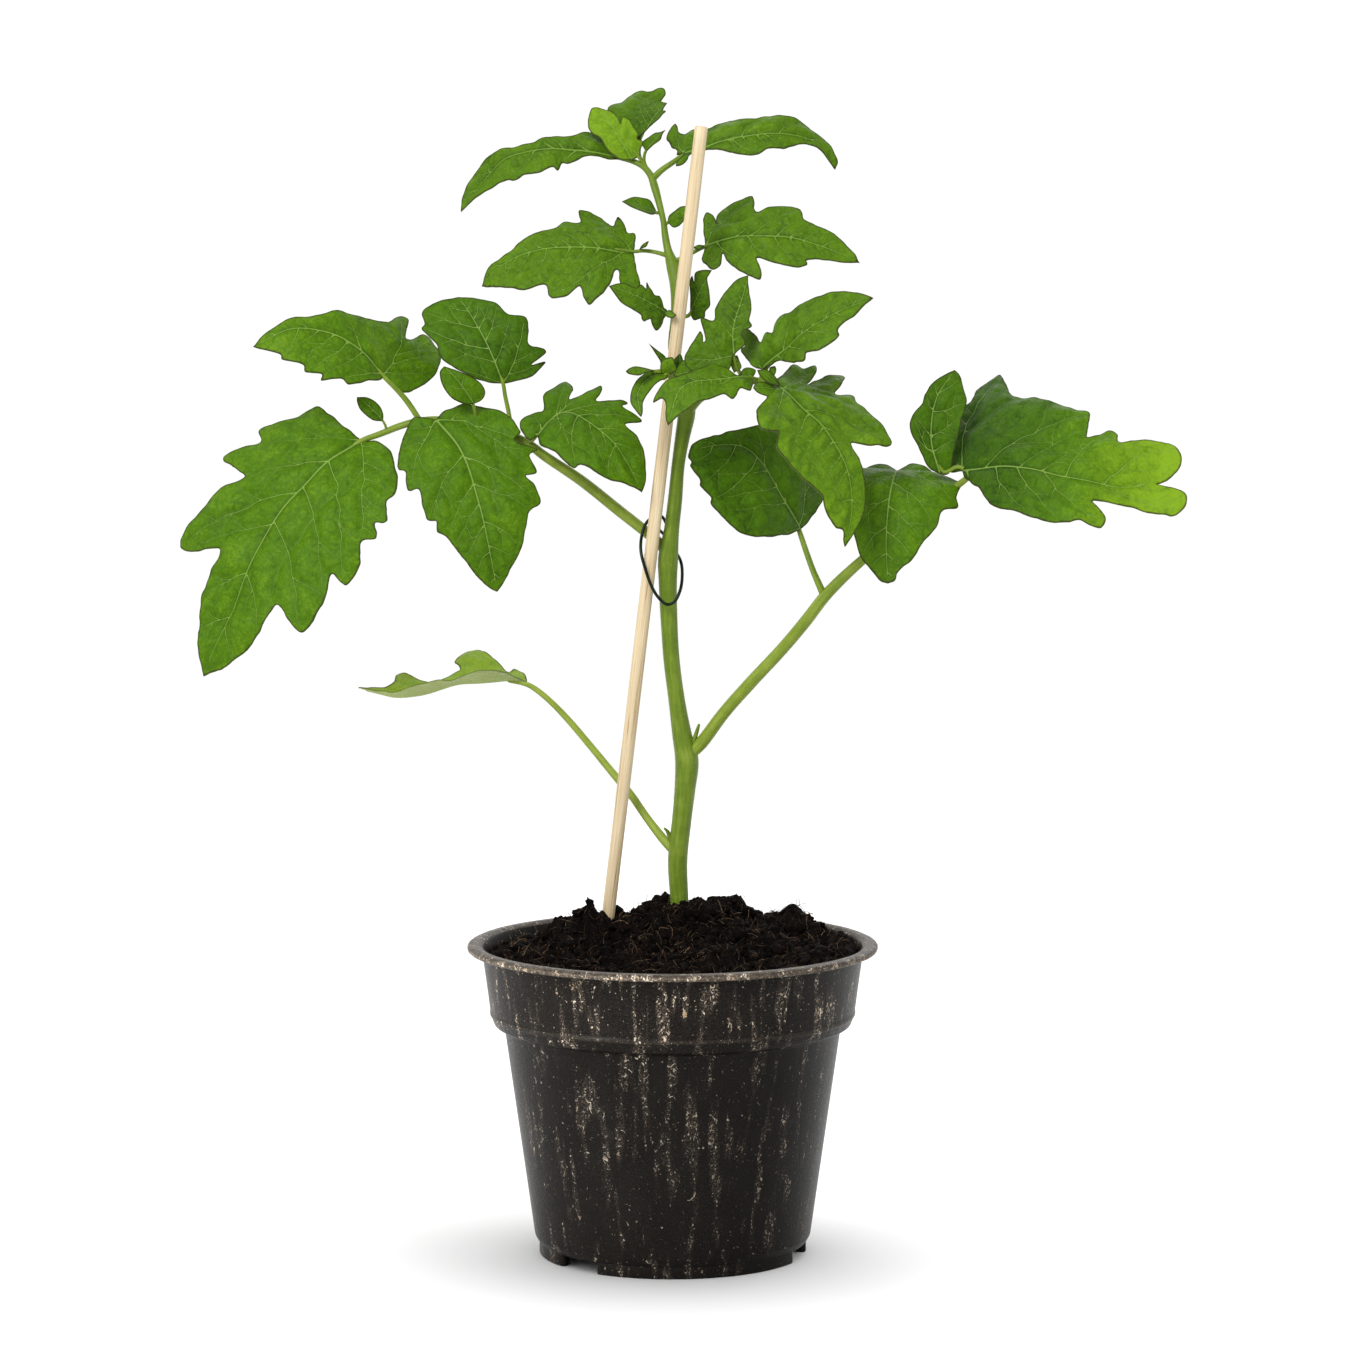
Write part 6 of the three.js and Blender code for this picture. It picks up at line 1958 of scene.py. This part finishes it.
        # Painted shade and light: the tissue is drawn darker where it sinks towards the veins and
        # paler on the tops of its cushions.
        tone += 0.09 * self.quilting * (np.clip(cushion, 0, 1.6) - 0.85)
        edge = np.clip(1 - from_edge / 0.8, 0, 1)
        draft.add(
            points,
            [*tops, *bottoms, *rim],
            slot,
            tone=np.tile(tone, 2),
            rib=np.tile(np.minimum(rib, 20), 2),
            under=np.repeat([0.0, 1.0], count),
            edge=np.tile(edge, 2),
            hairy=np.tile(0.05 + 0.03 * edge, 2),
        )


def add_stalk(draft: Draft, route: Route, slot: int, tones: tuple[float, float]) -> None:
    """Adds a hairy green stalk to a mesh.

    Args:
        draft: The mesh.
        route: Its places and radii.
        slot: The finish's number.
        tones: Tone at its first and last end.
    """
    path = smooth_path(route, 1.3)
    path[:, 3] = np.maximum(path[:, 3], THINNEST_STALK)
    sides = 14
    tone = np.repeat(np.linspace(*tones, len(path) + 4), sides)
    draft.add_tube(path, sides, slot, ridges=0.03, tone=tone, hairy=1.0)


class Part:
    """A part of the plant, which stands for one of its solids."""

    node: str  # the solid
    slot: str  # the record's material slot
    label: str  # the finished piece's name
    coat: Strewing  # its hairs, if it has any

    def shape(self, draft: Draft) -> None:
        """Adds the part's closed forms to its mesh."""
        raise NotImplementedError

    def finish(self, piece: Object) -> None:
        """Does what is left to do on the mesh, which for most parts is nothing."""

    def build(self, *finishes: Material) -> Object:
        """Makes the part in place of its solid.

        Args:
            finishes: Its materials in the order of the slots.

        Returns:
            The finished piece.
        """
        draft = Draft()
        self.shape(draft)
        piece = draft.build(self.label, finishes)
        self.finish(piece)
        return carry(piece, [self.node])

    def grow_hairs(self, host: Object, hair: Material) -> Object:
        """Covers the part's finished piece with fine hairs and gives them back."""
        return carry(self.coat.strew(host, f"{self.node}_hairs", hair))


@dataclass
class CompoundLeaf(Part):
    """One leaf of the plant: its rachis, the stalks of its leaflets, the blades and the hairs."""

    node: str
    slot: str
    stalks: Sequence[Route]
    leaflets: Mapping[str, Leaflet]
    seed: int
    quilting: float
    stalk_tones: tuple[float, float]

    def __post_init__(self) -> None:
        """Names the piece and its hairs."""
        self.label = f"{self.node}_blades_and_stalks"
        self.coat = Strewing(Litter.HAIR, 1.2, "hairy", (0.2, 0.6), 0.022, 0.45, 1.5, self.seed)

    def shape(self, draft: Draft) -> None:
        """Adds the stalks and the blades.

        Args:
            draft: Its mesh.
        """
        for number, route in enumerate(self.stalks):
            tones = self.stalk_tones if number == 0 else (self.stalk_tones[1],) * 2
            add_stalk(draft, route, 1, tones)
        for number, plan in enumerate(self.leaflets.values()):
            Blade(plan, self.seed * 20 + number, self.quilting).add_to(draft, 0)


# Stem, stake and tie


@dataclass
class MainStem(Part):
    """The stem with its two side buds and the growing tip."""

    node, slot, label = "stem", "stem", "stem_and_tip"
    coat = Strewing(Litter.HAIR, 1.3, "hairy", (0.25, 0.85), 0.024, 0.4, 1.4, 5)
    route: Route = STEM_ROUTE
    buds: Sequence[Route] = BUD_ROUTES
    tip: tuple[Sequence[Route], Mapping[str, Leaflet]] = (TIP_STALKS, TIP_LEAFLETS)
    # Its tone from the brown foot to the tip, as heights and tones there.
    tones: tuple[Point, Point] = (
        (100, 125, 160, 215, 262, 280),
        (0.35, 0.6, 0.55, 0.5, 0.44, 0.52),
    )
    sides: int = 28

    def shape(self, draft: Draft) -> None:
        """Adds the stem, the buds and the tip's small leaves.

        Args:
            draft: Its mesh.
        """
        path = smooth_path(self.route, 1.1)
        tone = np.interp(path[:, 2], *self.tones)
        tone = np.concatenate([[tone[0]] * 2, tone, [tone[-1]] * 2])
        tone = np.repeat(tone, self.sides)
        draft.add_tube(path, self.sides, 0, ridges=0.022, tone=tone, hairy=1.0)
        for route in (*self.buds, *self.tip[0]):
            add_stalk(draft, route, 0, (0.6, 0.5))
        for number, plan in enumerate(self.tip[1].values()):
            Blade(plan, 300 + number, 0.8).add_to(draft, 1)


@dataclass
class PlantStake(Part):
    """A round wooden dowel, sawn off square with its edges just broken."""

    node, slot, label = "stake", "stake", "stake_dowel"
    foot: Point = (-30.1, 21.5, 25)
    top: Point = (9, 2, 355)
    radius: float = 2.1
    bevel: float = 0.35
    sides: int = 40

    def shape(self, draft: Draft) -> None:
        """Adds the dowel.

        Args:
            draft: Its mesh.
        """
        foot, top = np.array(self.foot, float), np.array(self.top, float)
        length = float(np.linalg.norm(top - foot))
        ahead = (top - foot) / length
        across = np.cross(ahead, (0, 1, 0))
        across /= np.linalg.norm(across)
        up = np.cross(ahead, across)
        heights = [0, self.bevel, *np.linspace(4, length - 4, 60), length - self.bevel, length]
        sawn = self.radius - self.bevel
        radii = [sawn, *[self.radius] * (len(heights) - 2), sawn]
        angles = full_turn(self.sides)
        points, grain = [], []
        for height, radius in zip(heights, radii):
            # A dowel isn't quite round: three of its sides are up to 4% flatter.
            uneven = 1 - 0.018 * (1 + np.cos(angles * 3 + height * 0.004))
            flat = arc(radius * uneven, angles)
            points.append(foot + ahead * height + flat @ (across, up))
            grain.append(raised(flat, height))
        draft.add_rings(points, 0, np.vstack(grain), tone=0.5)


@dataclass
class WireTie(Part):
    """The coated wire that is wound round the stem and the stake."""

    node, slot, label = "tie", "tie", "tie_wire"
    route: Route = TIE_ROUTE
    radius: float = 0.5

    def shape(self, draft: Draft) -> None:
        """Adds the wire."""
        path = smooth_path([(*point, self.radius) for point in self.route], 0.45)
        draft.add_tube(path, 14, 0, tone=0.5)


# Pot and soil


@dataclass
class NurseryPot(Part):
    """A thin turned pot with a flat ragged lip and a wide band, on three curved feet."""

    node, slot, label = "pot", "pot", "pot_shell"
    rim_radius: float = 65
    rim_top: float = 99
    mouth_radius: float = 61.4
    band_top_radius: float = 60.3
    band_bottom_radius: float = 57.4
    band_bottom: float = 76
    body_top_radius: float = 53.1
    body_top: float = 72
    body_bottom_radius: float = 43.7
    body_bottom: float = 6
    flare: Point = (56.3, 73.4)  # radius and height, between the body and the band
    band_waist: Point = (58.7, 86)
    lip_height: float = 2.2
    lip_crown: float = 63.4  # radius inside which the lip is flat
    floor_top: float = 5.2
    base_radius: float = 42.3
    foot_height: float = 3.6
    foot_width: float = 3.2
    foot_span: float = 95
    first_foot: float = -75
    wall: float = 1.4
    drain_holes: int = 6
    drain_radius: float = 3.5
    drain_circle: float = 30
    sides: int = 216
    corner: float = 0.45  # that the corners are cut back by
    # Where the skin is trimmed or worn: least radius, lowest and highest height, and how much.
    WORN = (
        (63.2, 96.5, 100.0, 0.6),  # the outer half of the lip
        (64.2, 0.0, 98.3, 1.0),  # its cut edge
        (58.2, 98.2, 100.0, 0.5),  # its flat top
        (57.0, 76.4, 77.6, 0.16),  # the foot of the band
    )

    def profile(self) -> list[Point]:
        """Draws the shell's half section.

        Returns:
            Radius and height, from the bottom round the outside to the inside.
        """
        low, high = self.body_bottom_radius, self.body_top_radius
        foot, top = self.band_bottom_radius, self.band_top_radius
        start, band, wall = self.body_bottom, self.band_bottom, self.wall
        rim, above = self.rim_radius, self.rim_top
        below = above - self.lip_height
        outside = [
            (0, self.foot_height), (self.base_radius, self.foot_height), (low, start),
            *((low + (high - low) * t, start + (self.body_top - start) * t)
              for t in (0.2, 0.4, 0.6, 0.8)),
            (high, self.body_top), self.flare,
            (foot - 0.1, band), (foot + 0.35, band + 0.5), (foot + 0.35, band + 1.5),
            (foot + 0.25, band + 2.0), self.band_waist,
            (top - 0.2, below - 0.8), (top + 0.7, below), (rim - 0.5, below),
            (rim - 0.05, below + 0.5), (rim - 0.05, above - 0.9), (rim - 0.6, above - 0.35),
            (self.lip_crown, above - 0.05), (self.mouth_radius, above),
        ]
        inside_wall = [
            (top - 0.5, above - 1), (top - wall, above - 4), (foot - wall, band + 0.5),
            (high - wall, self.body_top + 0.5), (low - wall, start + 1),
            (low - 3, self.floor_top), (0, self.floor_top),
        ]
        return rounded([*outside, *inside_wall], self.corner)

    def add_feet(self, draft: Draft) -> None:
        """Adds the three curved feet.

        Args:
            draft: The pot's mesh.
        """
        centre = self.base_radius - self.foot_width / 2
        width, half = self.foot_width / 2, math.radians(self.foot_span / 2)
        bend = np.linspace(0, math.pi, 9)[1:-1]
        for index in range(3):
            middle = math.radians(self.first_foot + 120 * index)
            turns = np.linspace(middle - half, middle + half, 48)
            flat = np.vstack(
                [
                    arc(centre + width, turns),
                    arc(centre, turns[-1:]) + arc(width, bend + turns[-1]),
                    arc(centre - width, turns[::-1]),
                    arc(centre, turns[:1]) + arc(width, bend + turns[0] + math.pi),
                ]
            )
            core = flat * (centre / np.linalg.norm(flat, axis=1))[:, None]
            # Heights and shares of the width: the sole is eased, and the top is in the base.
            levels = ((0.0, 0.86), (0.35, 1.0), (self.foot_height + 0.6, 1.0))
            draft.add_rings([raised(core + (flat - core) * share, z) for z, share in levels])

    def drain(self, pot: Object) -> None:
        """Cuts the drain holes through the pot's base.

        Args:
            pot: The pot, whose mesh is replaced.
        """
        cutter = Draft()
        for index in range(self.drain_holes):
            angle = math.tau * (index + 0.5) / self.drain_holes
            ring = arc(self.drain_circle, angle) + arc(self.drain_radius, full_turn(36))
            # Each cutter passes well through the base on both sides.
            cutter.add_rings([raised(ring, -1.0), raised(ring, 11.0)])
        tool = cutter.build("drain_cutter", [])
        cut = pot.modifiers.new("drain_holes", "BOOLEAN")
        cut.operation, cut.object, cut.solver = "DIFFERENCE", tool, "EXACT"
        mesh = evaluated(pot)
        pot.modifiers.clear()
        pot.data = mesh
        bpy.data.objects.remove(tool)

    def shape(self, draft: Draft) -> None:
        """Adds the turned shell with its worn lip, and the feet.

        Args:
            draft: Its mesh.
        """
        profile = np.array(self.profile())
        radius, height = profile.T
        lip = np.zeros(len(profile))
        for least, low, high, share in self.WORN:
            worn = (radius > least) & (height > low) & (height < high)
            lip = np.maximum(lip, share * worn)
        draft.add_turned(profile, self.sides, 0, edge=lip)
        places = draft.points[0]
        radius = np.linalg.norm(places[:, :2], axis=1)
        # The trimmed lip is ragged: its outer edge wanders by a quarter of a millimetre.
        on_lip = np.clip((radius - 62.5) / 1.5, 0, 1)
        ragged = -0.16 + 0.16 * wobble(places, 2.2, 1.0) + 0.1 * wobble(places, 0.8, 2.0)
        worn = 1 + np.minimum(ragged, 0) * on_lip / np.maximum(radius, 1)
        places[:, :2] *= worn[:, None]
        dips = np.maximum(0, 0.25 * wobble(places, 1.7, 4.0))
        places[:, 2] -= on_lip * (places[:, 2] > self.rim_top - 1) * dips
        self.add_feet(draft)

    def finish(self, piece: Object) -> None:
        """Cuts the drain holes and keeps the edges crisp."""
        self.drain(piece)
        piece.data.set_sharp_from_angle(angle=math.radians(38))


@dataclass
class PottingSoil(Part):
    """Peat compost that fills the pot and rises round the stem."""

    node, slot, label = "soil", "soil", "soil_body"
    edge_height: float = 96.2
    slope: tuple[float, float] = (0.035, 0.03)
    mound_height: float = 13.5
    mound_spread: float = 26
    lump: float = 1.3
    wall_radius: float = 57.85
    rings: int = 110
    sides: int = 250
    FACE = 100.0  # height that marks the points of the face until they get their own
    # Radius and height of the sides, which fit the inside of the pot.
    BELOW = ((0, 5.5), (40.4, 5.5), (42, 7.3), (51.4, 72.8), (55.7, 76.8), (57.75, 89.5))
    # Clods that show above the rest: x, y, height and spread.
    clods: Route = (
        (-27, 10, 12, 6), (-36, 18, 5, 5), (-20, -2, -5, 6), (-12, 12, 2, 5.5),
        (-5, 24, 1.5, 5), (8, 13, 1.5, 5), (22, 30, 3.5, 7), (38, 30, 5, 5), (-20, -28, 3, 8),
        (15, -22, 3.5, 7), (30, -8, 3.5, 8), (5, -38, 2.5, 7), (-42, -12, 3, 8), (47, 10, 3, 5),
        (0, -8, -2.5, 7), (33, 12, -2.5, 6), (-30, -14, -2, 6),
    )

    def height(self, x: np.ndarray, y: np.ndarray) -> np.ndarray:
        """Gives the height of the soil's face without its fine crumbs.

        Args:
            x: Places across.
            y: Places from front to back.

        Returns:
            One height for each place.
        """
        away = np.hypot(x - STEM_ROUTE[2][0], y - STEM_ROUTE[2][1])
        mound = (self.mound_height - 2) * np.exp(-((away / self.mound_spread) ** 2))
        for left, back, rise, spread in self.clods:
            mound += rise * np.exp(-(((x - left) ** 2 + (y - back) ** 2) / spread**2))
        coarse = np.sin(x * 0.31 + 1.7) * np.cos(y * 0.27 - 0.6)
        fine = np.sin(x * 0.83 - y * 0.71) * np.cos(y * 0.93 + x * 0.37)
        slope = self.slope[0] * x + self.slope[1] * y
        return self.edge_height + slope + mound + self.lump * (coarse + 0.7 * fine)

    def shape(self, draft: Draft) -> None:
        """Adds the soil, with its rough face.

        Args:
            draft: Its mesh.
        """
        reach = np.linspace(self.wall_radius, 0, self.rings + 1)
        profile = np.array([*self.BELOW, *((radius, self.FACE) for radius in reach)])
        # Clods and crumbs lie on the face, and keep clear of the pot's wall.
        cloddy, crumbly = (
            np.where(profile[:, 1] == self.FACE, np.clip((limit - profile[:, 0]) / 2, 0, 1), 0.0)
            for limit in (54.5, 56.6)
        )
        draft.add_turned(profile, self.sides, 0, hairy=cloddy, edge=crumbly)
        places = draft.points[0]
        top = places[:, 2] == self.FACE
        face = places[top]
        fine = 2.8 * wobble(face, 6.5, 1.0) + 1.9 * wobble(face, 2.8, 2.0)
        fine += 0.8 * wobble(face, 1.2, 3.0)
        fine *= np.clip((self.wall_radius - np.linalg.norm(face[:, :2], axis=1)) / 4, 0.15, 1)
        rise = self.height(face[:, 0], face[:, 1]) + fine
        edge = np.linalg.norm(face[:, :2], axis=1) > self.wall_radius - 0.4
        places[top, 2] = np.where(edge, rise - 1.2, rise)
        tone = np.full(len(places), 0.35)
        # Painted shade: the face's tone follows its fine relief, so it is drawn darker in its
        # hollows and lighter on its lumps.
        tone[top] = np.clip(0.55 + 0.3 * fine, 0.1, 1)
        draft.values["tone"][0] = tone

    def strew(self, host: Object, peat: Material, root: Material) -> list[Object]:
        """Strews crumbs and fibres over the soil's face.

        Args:
            host: The body of the soil.
            peat: The crumbs' finish.
            root: The fibres' finish.

        Returns:
            The finished pieces.
        """
        fine = Strewing(Litter.CRUMB, 0.14, "edge", (0.5, 2.2), 1.0, 1.2, 2.2, 11)
        clods = Strewing(Litter.CRUMB, 0.016, "hairy", (2.0, 5.5), 1.0, 1.2, 2.0, 12)
        fibres = Strewing(Litter.FIBRE, 0.2, "edge", (1.0, 7.0), 0.1, 0.9, 2.4, 13)
        pieces = [
            fine.strew(host, "soil_crumbs", peat),
            clods.strew(host, "soil_clods", peat),
            fibres.strew(host, "soil_fibres", root),
        ]
        return [carry(piece, smooth=piece.name != "soil_fibres") for piece in pieces]


# Studio


@dataclass
class Studio:
    """White paper floor, soft lamps and the camera."""

    camera_place: Point = (0.00326, -1.610, 0.355)
    camera_tilt: float = 6.16  # degrees below level
    lens: float = 135.9
    sensor: float = 36  # its width in millimetres
    paper_radius: float = 1100  # the floor is a round sheet of paper
    paper_top: float = -0.05  # just under the pot's feet
    paper_sides: int = 96
    # Of each lamp: its place and its side in metres, its power in watts and what it lights.
    lamps: Mapping[str, tuple[Point, float, float, tuple[str, ...]]] = field(
        default_factory=lambda: {
            "key": ((-0.95, -1.75, 1.7), 0.95, 60.0, ()),
            "fill": ((1.6, -1.3, 1.0), 1.4, 5.0, ()),
            "back": ((0.4, 2.2, 1.8), 1.8, 14.0, ()),
            "overhead": ((0.1, 0.3, 2.4), 1.6, 26.0, ("floor",)),
            "gloss": ((-1.5, -1.25, 0.42), 0.35, 50.0, ("pot_shell",)),
        }
    )
    lit_place: Point = (0, 0, 0.18)  # where the lamps point, in metres
    sky: float = 1.02

    def floor(self) -> Object:
        """Lays the floor.

        Returns:
            The sheet of paper.
        """
        draft = Draft()
        outline = arc(self.paper_radius, full_turn(self.paper_sides))
        draft.add(raised(outline, self.paper_top), [range(self.paper_sides)])
        floor = draft.build("floor", [WhitePaper().material()])
        return floor

    def hang_lamp(self, name: str) -> None:
        """Hangs one soft square lamp that looks at the plant.

        The lamps that light the plant leave the floor alone, so that they throw no hard
        shadows on it.

        Args:
            name: Its name.
        """
        place, side, power, lit = self.lamps[name]
        light = bpy.data.lights.new(name, "AREA")
        light.shape, light.size, light.energy = "SQUARE", side, power
        lamp = in_scene(bpy.data.objects.new(name, light))
        lamp.location = place
        aim = Vector(self.lit_place) - Vector(place)
        lamp.rotation_euler = aim.to_track_quat("-Z", "Y").to_euler()
        group = bpy.data.collections.new(f"lit_by_{name}")
        for piece in bpy.context.scene.objects:
            if piece.type == "MESH" and (piece.name in lit if lit else piece.name != "floor"):
                group.objects.link(piece)
        lamp.light_linking.receiver_collection = group

    def build(self) -> None:
        """Sets up the floor, the lamps, the sky and the camera round the finished plant."""
        scene = bpy.context.scene
        self.floor()
        for name in self.lamps:
            self.hang_lamp(name)
        world = bpy.data.worlds.new("studio")
        world.use_nodes = True
        world.node_tree.nodes.clear()
        sky = {"Color": (1.0, 1.0, 1.0, 1.0), "Strength": self.sky}
        light = add_node(world.node_tree, "ShaderNodeBackground", sky)
        add_node(world.node_tree, "ShaderNodeOutputWorld", {"Surface": light})
        scene.world = world
        scene.view_settings.view_transform = "Standard"
        data = bpy.data.cameras.new("camera")
        data.lens, data.sensor_width, data.sensor_fit = self.lens, self.sensor, "HORIZONTAL"
        data.clip_start, data.clip_end = 0.05, 60
        scene.camera = in_scene(bpy.data.objects.new("camera", data))
        scene.camera.location = self.camera_place
        scene.camera.rotation_euler = (math.radians(90 - self.camera_tilt), 0, 0)


def note_size() -> None:
    """Brings the scene up to date."""
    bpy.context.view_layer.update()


def main() -> None:
    """Builds the studio and every part of the plant in order."""
    logging.basicConfig(level=logging.INFO, format="%(name)s: %(message)s")
    tissue = LeafTissue("leaf_tissue").material()
    young = LeafTissue(
        "young_leaf_tissue",
        "#223d04",
        "#466608",
        vein="#7f9f42",
        vein_share=0.5,
        painted_furrow_shade=0.18,
        mesh_width=2.8,
    ).material()
    old = LeafTissue(
        "old_leaf_tissue", dark="#405c10", middle="#617c18", pale="#80942f", under="#a6b274"
    ).material()
    skin = StemSkin().material()
    hair = PlantHair().material()
    NurseryPot().build(FibreBioplastic().material())
    soil = PottingSoil()
    peat = Peat().material()
    root = Peat("root_fibre", wet="#2c2018", crumb="#7b654f", fibre="#b7a185").material()
    soil.strew(soil.build(peat), peat, root)
    PlantStake().build(TurnedWood().material())
    WireTie().build(WireCoating().material())
    stem = MainStem()
    stem.grow_hairs(stem.build(skin, young), hair)
    leaves = (
        ("leaf_lower_left", "old_leaf", LOWER_LEFT_STALKS, LOWER_LEFT_LEAFLETS, 0.5, 0.95, 0.9),
        ("leaf_right", "leaf", RIGHT_STALKS, RIGHT_LEAFLETS, 0.9, 0.85, 0.6),
        ("leaf_left", "leaf", LEFT_STALKS, LEFT_LEAFLETS, 1.0, 0.85, 0.6),
        ("leaf_centre", "young_leaf", CENTRE_STALKS, CENTRE_LEAFLETS, 1.4, 0.5, 0.5),
        ("leaf_top", "young_leaf", TOP_STALKS, TOP_LEAFLETS, 1.4, 0.4, 0.5),
    )
    blades = {"old_leaf": old, "leaf": tissue, "young_leaf": young}
    for seed, (node, slot, stalks, leaflets, quilting, *tones) in enumerate(leaves, 1):
        leaf = CompoundLeaf(node, slot, stalks, leaflets, seed, quilting, tuple(tones))
        leaf.grow_hairs(leaf.build(blades[slot], skin), hair)
    Studio().build()
    note_size()


if __name__ == "__main__":
    main()
